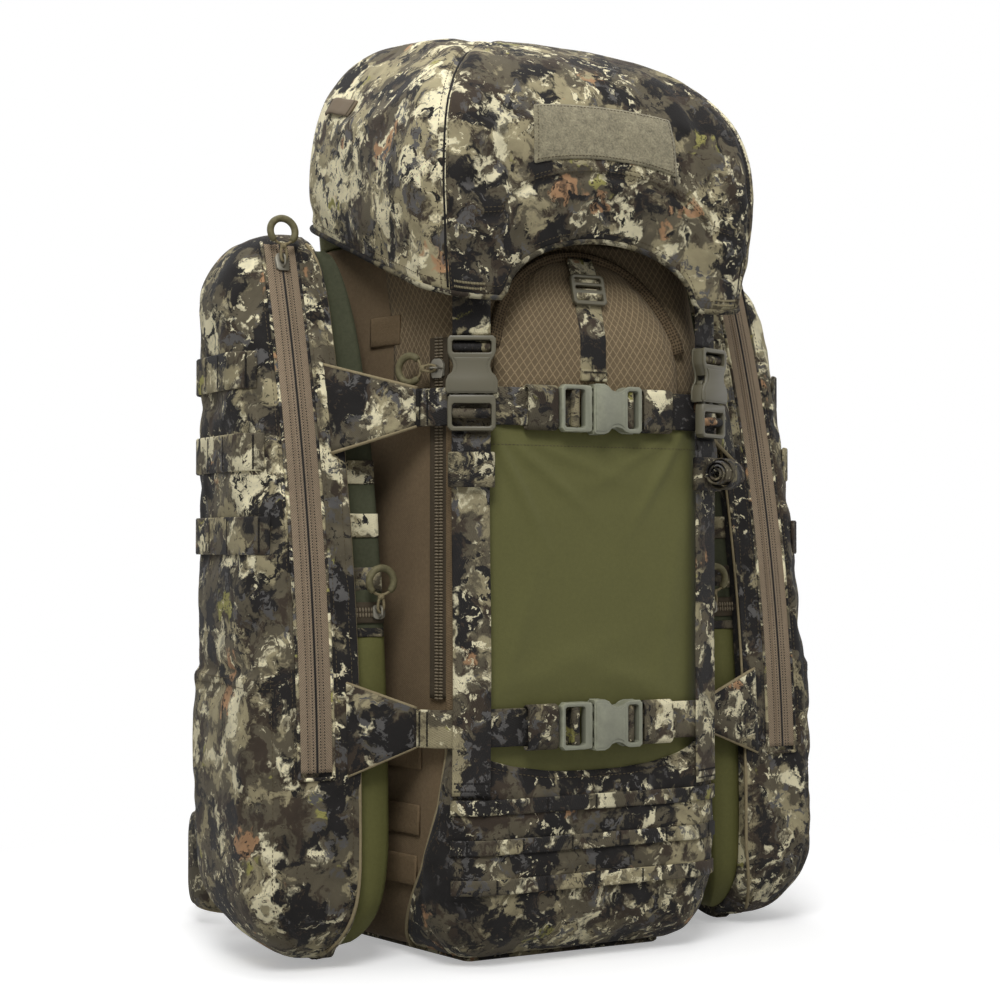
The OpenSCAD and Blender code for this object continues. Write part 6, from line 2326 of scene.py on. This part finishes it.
    def centre(self) -> None:
        """Makes the short centre strap and its ladder lock."""
        webs, w = Sewn("centre_webbing"), self.centre_w
        long = np.concatenate([np.linspace(389, 442, 24), np.linspace(444, 452, 6)])
        rise = np.concatenate([np.full(24, 9.2), (10.2, 11.6, 12.8, 13.0, 12.0, 10.4)])
        for z, off, wide, thick in (
                (long, rise, w, 1.6), (np.linspace(455, 474, 10), np.linspace(11.6, 6, 10), w, 1.6),
                (np.linspace(389, 397, 6), 10.8, w, 1.4), (np.linspace(379, 391, 6), 7.4, w - 3, 1.4)):
            webs.strip(BAG.front(0, z, off), ACROSS, wide, thick)
        webs.piece(WEB_CAMO, slot="camo_webbing")
        lean = math.degrees(math.atan2(BAG.lean_y, BAG.height - BAG.lean_z))
        holes = [box(10.3, y0, y1, 0.8) for y0, y1 in ((-8, -3.2), (-0.2, 2.6), (5, 8.4))]
        lock = Shop.plate(both([(11, -11), (13, -9), (13, 9), (11, 11)]), holes, 3.6, 0.9)
        place = Place.move(0, float(BAG.front_y(self.lock_z)) - 10.3, self.lock_z) @ Place.turn("X", 90 - lean)
        BUCKLES.fit("ladder_lock", [(lock, Matrix())], place, BUCKLE, PACK, "centre_ladder_lock")
        spot = np.array([0, float(BAG.front_y(396)) - 11.7, 395])
        CENTRE_TACK.sew("centre_tacks", [bar(spot, ACROSS, np.array([0, -1.0, 0]), 8, 20)])

    def lid_strap(self, side: int) -> None:
        """Makes a lid strap with its female half.

        Args:
            side: side of the pack.
        """
        body, place, buckle = f"lid_strap_{hand(side)}", self.strap_place(side), self.strap_buckle(side)
        webs = Sewn(f"lid_webbing_{hand(side)}")
        path = points(0, -self.strap_off - 0.9, np.linspace(self.lid_pin_z + 2.5, self.split_z + 39, 14))
        webs.strip(Place.put(path, place), Place.way(place, 1, 0, 0), self.web_w, self.web_t)
        BUCKLES.web(webs, BUCKLES.female_bar, 1, buckle)
        webs.piece(WEB_CAMO, body, body, "camo_webbing")
        BUCKLES.fit(f"lid_female_half_{hand(side)}", BUCKLES.female(), buckle, BUCKLE, body,
                    f"lid_buckle_female_{hand(side)}")


@dataclass(frozen=True)
class Zips:
    """Zips of the pods, the bag's sides and the gussets, with their sliders and pulls."""

    tape_t: float = 1.2
    slider_l: float = 13
    short_l: float = 9
    slider_w: float = 10
    pin_z: float = 5.3
    ring_at: float = 19.95
    ring_r: float = 8.9
    cord_r: float = 0.95
    side_turn: float = 60
    side_span: Pair = (178, 416)
    side_slider_z: float = 395.5
    side_w: float = 15
    inner_z: float = 234
    inner_w: float = 14

    def build(self) -> None:
        """Makes every zip."""
        self.pod_zips()
        (low, high), long = self.side_span, POD.gusset_out - POD.gusset_in
        self.straight_zips("side_zips", [self.side_place(s, (low + high) / 2) for s in SIDES], high - low, self.side_w)
        self.straight_zips("inner_zips", [self.inner_place(s) for s in SIDES], long, self.inner_w)
        across, angle = Place.turn("Z", -90), POD.angle(POD.zip_top - self.slider_l)
        for side in SIDES:
            inner = self.inner_place(side) @ Place.move(0, long / 2 - 4.5, 0)
            for name, place, length, bridge, rise in (
                    ("side", self.side_place(side, self.side_slider_z), self.slider_l, across, 0),
                    ("pod", self.pod_place(side, angle), self.slider_l, Matrix(), 12),
                    ("inner", inner, self.short_l, across, 10)):
                self.slider(f"{name}_slider_{hand(side)}", place, length, bridge)
                self.pull(f"{name}_pull_{hand(side)}", place @ bridge, rise)

    def side_place(self, side: int, z: float) -> Matrix:
        """Frame on a side zip's tape at a height: X across it, Y up along it and Z outwards."""
        return BAG.corner(side, z, self.side_turn, SEAT + self.tape_t) @ Place.turn("X", 90)

    def pod_place(self, side: int, angle: float) -> Matrix:
        """Frame on a pod zip's tape at an angle of its sweep."""
        return (Place.on(side) @ Place.move(POD.zip_x, POD.sweep_y, POD.front_z) @ Place.turn("X", -angle)
                @ Place.move(0, -POD.sweep_r - SEAT - self.tape_t, 0) @ Place.turn("X", 90))

    def inner_place(self, side: int) -> Matrix:
        """Frame on an inner zip's tape, at its middle.

        Args:
            side: side of the pack.

        Returns:
            The frame.
        """
        x, z, half = (POD.gusset_in + POD.gusset_out) / 2, self.inner_z, self.inner_w / 2
        lean = math.degrees(math.atan2(float(POD.fore(z + half) - POD.fore(z - half)), 2 * half))
        return (Place.on(side) @ Place.move(x, float(POD.fore(z)) + POD.gusset_back, z) @ Place.turn("X", -lean)
                @ Place.move(0, -SEAT - self.tape_t, 0) @ Place.turn("X", 90) @ Place.turn("Z", 90))

    def pod_zips(self) -> None:
        """Makes the broad pod zips: taped, with knit rows beside a hidden coil."""
        tape, seam, knit = Sewn("pod_zip_tape"), Sewn("pod_zip_seam"), []
        a = np.radians(np.linspace(POD.angle(POD.zip_foot), POD.angle(POD.zip_top), 120))
        out, face = points(0, -np.cos(a), np.sin(a)), POD.sweep_r + SEAT + self.tape_t
        for side in SIDES:
            centre = np.array([side * POD.zip_x, POD.sweep_y, POD.front_z])
            tape.strip(centre + out * (face - self.tape_t / 2), ACROSS, 2 * POD.zip_half, self.tape_t)
            tape.strip(centre + out * (face + 0.35), ACROSS, 8.5, 1.5)
            seam.tube(centre + out * (face + 0.95), 0.85, 6)
            knit += [(centre + (x, 0, 0) + out * (face + high), out)
                     for x, high in ((-2.6, 1.15), (2.6, 1.15), (-5.9, 0.12), (5.9, 0.12))]
        tape.piece(ZIP_TAPE, PACK, "pod_zips", "zip_tape")
        seam.piece(ZIP_COIL, slot="zip_tape")
        KNIT.sew("pod_zip_knit", knit)

    def straight_zips(self, name: str, places: Sequence[Matrix], length: float, width: float) -> None:
        """Makes straight zips with an open coil.

        Args:
            name: node that they stand for.
            places: frame at the middle of each.
            length: length.
            width: width of the tape.
        """
        tape, coil = Sewn(f"{name}_tape"), []
        y = np.linspace(-length / 2, length / 2, max(8, int(length / 4)))
        for place in places:
            tape.strip(Place.put(points(0, y, -self.tape_t / 2), place), Place.way(place, 1, 0, 0), width, self.tape_t)
            coil += [(Place.put(points(x, y, 0.4), place), Place.way(place, 0, 0, 1)) for x in (-1.7, 1.7)]
        tape.piece(DARK_TAPE, PACK, name, "zip_tape")
        COIL.sew(f"{name}_coil", coil)

    def slider(self, name: str, place: Matrix, length: float, bridge: Matrix) -> None:
        """Makes a slider with its bridge.

        Args:
            name: node that it stands for, and its body.
            place: frame on the tape.
            length: length along the zip.
            bridge: turn of its bridge.
        """
        l, w = length / 2, self.slider_w / 2
        shield = both([(w - 1.6, -l), (w - 0.5, -l + 1.6), (w, l - 3.4), (w - 1.4, l - 0.8), (w - 3, l)])
        flange = [(w - 1.4, -l + 1), (w - 0.3, -l + 1.6), (w, l - 3.4), (w - 1.2, l - 1.6)]
        parts = [(Shop.plate(outline, [], thick, bevel), place @ Place.move(0, 0, z)) for outline, thick, bevel, z in
                 ((shield, 1.5, 0.5, 1.5), (flange, 1.4, 0.3, 0.25), (flip(flange), 1.4, 0.3, 0.25))]
        reach = min(4.2, l - 0.6)
        leg = [(reach / 2, 7.25), (reach - 0.5, 5.3), (reach, 2.4)]
        arch = [*flip(leg), *leg]
        rod = Sewn("bridge")
        rod.tube(smooth_path([(0, *p) for p in arch], 18), 0.75, 8)
        obj = Shop.gather(f"{name}_cast", [*parts, (rod.loose(), place @ bridge)])
        Shop.finish(obj, SLIDER, name, name, "slider_metal")

    def pull(self, name: str, place: Matrix, rise: float) -> None:
        """Makes a pull: a knotted cord loop with a thick sleeve round its outer half.

        Args:
            name: node that it stands for, and its body.
            place: frame on the tape, the pull along its Y.
            rise: angle that it stands up by.
        """
        spot = place @ Place.move(0, 0, self.pin_z) @ Place.turn("X", rise)
        cord, sleeve = Sewn(f"{name}_cord"), Sewn(f"{name}_sleeve")
        eye = smooth_path([(0.7, 10, 0), (1.9, 6.5, 0), (2.1, 2.8, -0.1), (1.3, 0.2, -0.4), (0, -0.5, -0.5),
                           (-1.3, 0.2, -0.4), (-2.1, 2.8, -0.1), (-1.9, 6.5, 0), (-0.7, 10, 0)], 40)
        ring = arc((0, self.ring_at), self.ring_r, -88, 268, 47)
        for path in (eye, points(*ring.T, 0)):
            cord.tube(Place.put(path, spot), self.cord_r, 8)
        x = np.linspace(-2.3, 2.3, 9)
        for turn in (25, -25):
            knot = points(x, self.ring_at - self.ring_r - 1.4 + x * math.sin(math.radians(turn)), 0)
            cord.tube(Place.put(knot, spot), 1.75 * np.sqrt(np.clip(1.05 - (x / 2.3) ** 2, 0.05, 1)), 8)
        cord.piece(CORD, name, name, "pull_cord")
        grip, run = arc((0, self.ring_at), self.ring_r, -48, 228, 43), np.arange(44)
        thick = 2.45 - 0.5 * np.exp(-np.minimum(run, 43 - run) ** 2 / 2.0)
        sleeve.tube(Place.put(points(*grip.T, 0), spot), thick, 10)
        sleeve.piece(SLEEVE, name, slot="pull_cord")


@dataclass(frozen=True)
class Harness:
    """Back pads, shoulder straps, hip belt, their webbing and the haul handle."""

    back_y: float = 94.3
    pad_t: float = 14
    # Left, right, lower and upper edge of each pad
    pad_spots: tuple[Floats, ...] = ((-70, -14, 168, 396), (14, 70, 168, 396), (-94.5, 94.5, 20, 100))
    shoulder_z: float = 438
    shoulder_w: float = 62
    shoulder_t: float = 11
    bow: float = 58
    # Share of the bow, height and place across of points along a shoulder strap
    route: tuple[Triple, ...] = (
        (0, -12, 46), (0.06, 0, 46), (0.28, 7, 47), (0.54, 1, 49), (0.78, -20, 53), (0.94, -54, 60), (1, -96, 68),
        (0.97, -140, 76), (0.86, -184, 84), (0.7, -224, 90), (0.54, -256, 94))
    wing_z: float = 48
    wing_t: float = 14
    wing_h: Pair = (86, 66)
    wing_start: Pair = (97.5, 101.3)
    wing_plan: tuple[Pair, ...] = ((106, 102.3), (121, 106.3), (145, 114.3), (167, 123.3), (183, 137.3),
                                   (187, 155.3), (180, 171.3))
    web_w: float = 20
    low_z: Pair = (105, 115)
    lift_z: Triple = (468, 474, 484)
    hinge_x: float = 96
    hinge_y: float = 103.1
    hinge_z: Pair = (416, 550)
    belt_gap: float = 16
    grip_z: float = 468
    handle: tuple[Pair, ...] = ((9, 24.2), (20, 15), (27, 2.6), (38, 1.5))

    def build(self) -> None:
        """Makes every piece of the harness."""
        self.pads()
        for side in SIDES:
            self.shoulder(side)
            self.wing(side)
        self.webbing()
        self.belt_buckles()

    def pillow(self, sewn: Sewn, x0: float, x1: float, z0: float, z1: float) -> Array:
        """Adds a rounded pad on the bag's back.

        Args:
            sewn: the piece.
            x0: its left edge.
            x1: its right edge.
            z0: its lower edge.
            z1: its upper edge.

        Returns:
            Numbers of its face's points.
        """
        u = np.linspace(-1, 1, max(10, int((x1 - x0) / 6)))
        v = np.linspace(-1, 1, int((z1 - z0) / 6))[:, None]
        x = mix(x0, x1, 0.5 + 0.5 * u * (1 - 0.06 * np.abs(v) ** 10))
        z = mix(z0, z1, 0.5 + 0.5 * v * (1 - 0.03 * np.abs(u) ** 10))
        fall = np.sqrt(np.clip(1 - np.abs(u) ** 5, 0, 1)) * np.sqrt(np.clip(1 - np.abs(v) ** 9, 0, 1))
        y = self.back_y + 0.5 + (self.pad_t - 2.5) * (0.25 + 0.75 * fall)
        return sewn.slab(points(x, y, z), points(x, self.back_y + 0.2, z))

    def pads(self) -> None:
        """Makes the back pads and the lumbar pad."""
        sewn = Sewn("pad_cloth")
        faces = [self.pillow(sewn, *spot) for spot in self.pad_spots]
        obj = sewn.build()
        pinned = np.ones(sewn.count, bool)
        for ids in faces:
            pinned[ids[1:-1, 1:-1]] = False
            for k in (0.25, 0.5, 0.75) if len(ids) > 30 else ():
                pinned[ids[int(k * len(ids))]] = True
        Shop.puff(obj, pinned, 4, 2.2, 0.02)
        Shop.refine(obj)
        Shop.finish(obj, PAD_MESH, PACK, "back_pads", "pad_fabric")

    @staticmethod
    def cushion(name: str, path: Array, across: Array, size: Line, free: slice, cap: float) -> Piece:
        """Makes a padded strip with a rounded section.

        Args:
            name: name of the piece.
            path: points of its middle line.
            across: direction of its width.
            size: width and thickness at each point.
            free: rings whose cloth may swell.
            cap: the most that it may swell by.

        Returns:
            The piece, undressed.
        """
        way = unit(np.gradient(path, axis=0))
        wide = unit(across - way * np.sum(across * way, -1, keepdims=True))
        a = np.linspace(0, math.tau, 28, endpoint=False)
        c, s = (np.sign(f) * np.abs(f) ** k for f, k in ((np.cos(a), 0.55), (np.sin(a), 0.7)))
        half_w, half_t = (v[:, None, None] / 2 for v in size)
        sewn = Sewn(name)
        ids = sewn.grid(path[:, None] + c[None, :, None] * half_w * wide[:, None]
                        + s[None, :, None] * half_t * np.cross(wide, way)[:, None], True, True)
        pinned = np.ones(sewn.count, bool)
        pinned[ids[free]] = False
        pinned[ids[:, [0, 1, 13, 14, 15, 27]]] = True
        obj = sewn.build()
        Shop.puff(obj, pinned, 4, cap, 0.02)
        Shop.refine(obj)
        return obj

    def shoulder_path(self) -> Array:
        """Middle line of the right shoulder strap."""
        p = np.array(self.route)
        return points(p[:, 2], self.back_y + 5.5 + p[:, 0] * self.bow, self.shoulder_z + p[:, 1])

    def shoulder(self, side: int) -> None:
        """Makes a padded shoulder strap with its bound edges.

        Args:
            side: side of the pack.
        """
        path, t = mirrored(smooth_path(self.shoulder_path(), 70), side), np.linspace(0, 1, 70)
        ends = np.sqrt(np.clip(np.minimum(t, 1 - t) / 0.05, 0.25, 1))
        size = (self.shoulder_w * (0.9 + 0.1 * ends), (self.shoulder_t - 2) * ends)
        obj = self.cushion(f"shoulder_pad_{hand(side)}", path, ACROSS, size, slice(2, -2), 1.6)
        Shop.finish(obj, PAD_CLOTH, PACK, f"shoulder_strap_{hand(side)}", "pad_fabric")
        spots = [path[5:-5] + (d * side, 3 + self.shoulder_t / 2, 0) for d in (0, -25, 25, -14, 14)]
        (on, ups), *lines = [Shop.lay(obj, p, 0.1) for p in spots]
        run, web = np.arange(len(on)), Sewn(f"shoulder_web_{hand(side)}")
        web.strip(on + ups * (1.2 + 0.9 * np.abs(np.sin(run * np.pi / 8)))[:, None], ACROSS, 19, 1.5)
        web.piece(WEB_CAMO, slot="camo_webbing")
        tacks = [bar(on[i] + ups[i] * 2.1, ACROSS, ups[i], 8, 18) for i in run[8:-4:8]]
        TACK.sew(f"shoulder_tacks_{hand(side)}", tacks)
        SEAM.sew(f"shoulder_stitches_{hand(side)}", lines)
        edge = Sewn(f"shoulder_edges_{hand(side)}")
        for d in SIDES:
            edge.tube(path[2:-2] + (d * self.shoulder_w * 0.497, 0, 0), 1.6, 6)
        edge.piece(PIPING, slot="pad_fabric")

    def wing(self, side: int) -> None:
        """Makes a wing of the hip belt.

        Args:
            side: side of the pack.
        """
        flat, t = smooth_path([self.wing_start, *self.wing_plan], 48), np.linspace(0, 1, 48)
        path = mirrored(points(*flat.T, self.wing_z), side)
        high = mix(*self.wing_h, t) * np.sqrt(np.clip((1.02 - t) / 0.06, 0.5, 1))
        thick = (self.wing_t - 2) * np.clip(np.minimum(t / 0.1, (1 - t) / 0.06), 0.7, 1)
        obj = self.cushion(f"wing_cloth_{hand(side)}", path, UPRIGHT, (high, thick), slice(3, -2), 1.8)
        body = f"belt_wing_{hand(side)}"
        Shop.finish(obj, BELT_CAMO, body, body, "camo_fabric")
        edge = Sewn(f"wing_edges_{hand(side)}")
        for d in SIDES:
            edge.tube((path + points(0, 0, d * high * 0.497))[3:-1], 1.6, 6)
        edge.piece(PIPING, body, slot="camo_fabric")

    def webbing(self) -> None:
        """Makes the harness webbing, the haul handle and the lid's hinge straps."""
        sewn, y = Sewn("harness_web"), self.back_y + 0.9
        (fx, fy, fz), (tx, ty, tz) = self.shoulder_path()[[-1, 3]]
        (z0, z1), (z2, z3, z4) = self.low_z, self.lift_z
        low = [(fx, y, z0), (fx, y + 3, z1), (fx, mix(y + 3, fy, 0.5), mix(z1, fz, 0.5)), (fx, fy, fz - 0.6)]
        lift = [(tx, ty + 0.6, tz + 6.8), (tx, mix(ty, y + 6, 0.5), mix(tz + 6, z2, 0.5)), (tx, y + 6, z2),
                (tx, y, z3), (tx, y, z4)]
        for side in SIDES:
            for path in (low, lift):
                sewn.strip(mirrored(smooth_path(path, 30), side), ACROSS, self.web_w, 1.8)
        sewn.piece(WEB_CAMO, PACK, "harness_webbing", "camo_webbing")
        handle = Sewn("handle_webbing")
        grip = [(x, self.back_y + d, self.grip_z) for x, d in (*flip(self.handle), *self.handle)]
        handle.strip(smooth_path(grip, 50), UPRIGHT, 24, 2.6)
        handle.piece(WEB_CAMO, PACK, "haul_handle", "camo_webbing")
        hinge = Sewn("hinge_webbing")
        for side in SIDES:
            hinge.strip(points(side * self.hinge_x, self.hinge_y, np.linspace(*self.hinge_z, 24)), ACROSS, 18, 1.6)
        hinge.piece(WEB_CAMO, TOP, "lid_hinge_straps", "camo_webbing")

    def belt_buckles(self) -> None:
        """Makes the belt's buckle halves and the webbing that carries them."""
        (x0, y0), tip = self.wing_plan[-2:]
        turn = Place.turn("Z", math.degrees(math.atan2(tip[1] - y0, tip[0] - x0)) - 90)
        for side, half, at, parts, way, gap, spin in (
                (LEFT, "female", BUCKLES.female_bar, BUCKLES.female(), 1, 36, 180),
                (RIGHT, "male", BUCKLES.male_bar, BUCKLES.male(), -1, 12.5, 0)):
            place = (Place.on(side) @ Place.move(*tip, self.wing_z) @ turn
                     @ Place.move(-1.3, self.belt_gap + gap, 0) @ Place.turn("Y", 90) @ Place.turn("Z", spin))
            body = f"belt_wing_{hand(side)}"
            BUCKLES.fit(f"belt_{half}_half", parts, place, BUCKLE, body, f"belt_buckle_{half}")
            webs = Sewn(f"belt_webbing_{half}")
            BUCKLES.web(webs, at, way, place, 12)
            webs.piece(WEB_CAMO, body, slot="camo_webbing")


# Studio


@dataclass(frozen=True)
class Studio:
    """Camera, lamps, floor and background."""

    target: Triple = (0.0, 0.030, 0.312)
    azimuth: float = -28.06
    elevation: float = -1.34
    distance: float = 1.449
    lens: float = 71.3
    veil: float = 0.36
    # Name, place, size and power of each lamp
    lamp_spots: tuple[tuple[str, Triple, float, float], ...] = (
        ("key", (-1.0, -1.5, 2.1), 1.0, 36), ("fill", (1.5, -1.5, 1.2), 1.4, 4.5),
        ("top", (-0.1, 0.1, 2.2), 1.6, 17), ("rear", (0.4, 1.8, 1.4), 1.6, 10))

    def build(self) -> None:
        """Sets up the whole studio."""
        bpy.context.scene.view_settings.view_transform = "Standard"
        self.camera()
        self.lamps()
        self.floor()
        self.world()

    @staticmethod
    def hang(name: str, data: bpy.types.ID, spot: Vector, way: Vector) -> Piece:
        """Object at a spot that looks one way.

        Args:
            name: its name.
            data: its camera or lamp.
            spot: the spot.
            way: the way that it looks.

        Returns:
            The object.
        """
        obj = Shop.add(name, data)
        obj.location, obj.rotation_euler = spot, way.to_track_quat("-Z", "Y").to_euler()
        return obj

    def camera(self) -> None:
        """Places the camera at the photograph's angle."""
        a, e = math.radians(self.azimuth), math.radians(self.elevation)
        back = Vector((math.sin(a) * math.cos(e), -math.cos(a) * math.cos(e), math.sin(e)))
        data = bpy.data.cameras.new("camera")
        data.lens, data.sensor_width, data.sensor_fit = self.lens, 36, "HORIZONTAL"
        bpy.context.scene.camera = self.hang("camera", data, Vector(self.target) + back * self.distance, -back)

    def lamps(self) -> None:
        """Hangs the soft lamps."""
        for name, spot, size, power in self.lamp_spots:
            data = bpy.data.lights.new(name, "AREA")
            data.energy, data.size = power, size
            self.hang(name, data, Vector(spot), Vector((0, 0, 0.3)) - Vector(spot))

    @staticmethod
    def seen(g: Graph) -> Socket:
        """Mask of rays that show the background itself.

        Args:
            g: graph to add to.

        Returns:
            The mask.
        """
        path = g.add("ShaderNodeLightPath").outputs
        seen = g.math("MAXIMUM", path["Is Camera Ray"], path["Is Glossy Ray"])
        return g.math("MAXIMUM", seen, path["Is Transmission Ray"])

    def floor(self) -> None:
        """Lays the pale floor, which fades to white away from the pack."""
        mesh = bpy.data.meshes.new("floor")
        mesh.from_pydata([(x, y, 0) for x, y in ((-6, -6), (6, -6), (6, 6), (-6, 6))], [], [(0, 1, 2, 3)])
        made = bpy.data.materials.new("pale_floor")
        g = Coat(made)
        g.tree.nodes.remove(g.shader)
        far = g.add("ShaderNodeVectorMath", {0: g.objects()}, operation="LENGTH").outputs["Value"]
        seen = self.seen(g)
        white = g.math("MULTIPLY", g.step(far, 0.3, 0.62), seen)
        pale = g.blend(seen, (0.45, 0.45, 0.45, 1), (0.9, 0.9, 0.9, 1))
        veil = g.out("ShaderNodeEmission", {"Strength": g.math("MULTIPLY", seen, self.veil)})
        near = g.out("ShaderNodeAddShader", {0: g.out("ShaderNodeBsdfDiffuse", {"Color": pale}), 1: veil})
        glow = g.out("ShaderNodeEmission", {"Color": (1, 1, 1, 1), "Strength": 1.0})
        shade = g.out("ShaderNodeMixShader", {0: white, 1: near, 2: glow})
        g.tree.links.new(shade, g.tree.nodes["Material Output"].inputs["Surface"])
        mesh.materials.append(made)
        Shop.add("floor", mesh)

    def world(self) -> None:
        """Makes the white background, which lights the pack only softly."""
        world = bpy.data.worlds.new("studio")
        world.use_nodes = True
        g = Graph(world.node_tree)
        back = g.tree.nodes["Background"].inputs
        back["Color"].default_value = (1, 1, 1, 1)
        g.tree.links.new(g.scaled(self.seen(g), 0.22, 1.0), back["Strength"])
        bpy.context.scene.world = world


def main() -> None:
    """Builds the studio and every sub-assembly."""
    logging.basicConfig(level=logging.INFO, format="%(name)s: %(message)s")
    for assembly in (Studio(), MainBag(), FrontPanels(), LidTop(), Pods(), Straps(), Zips(), Harness()):
        LOG.info("building %s", type(assembly).__name__)
        assembly.build()


if __name__ == "__main__":
    main()
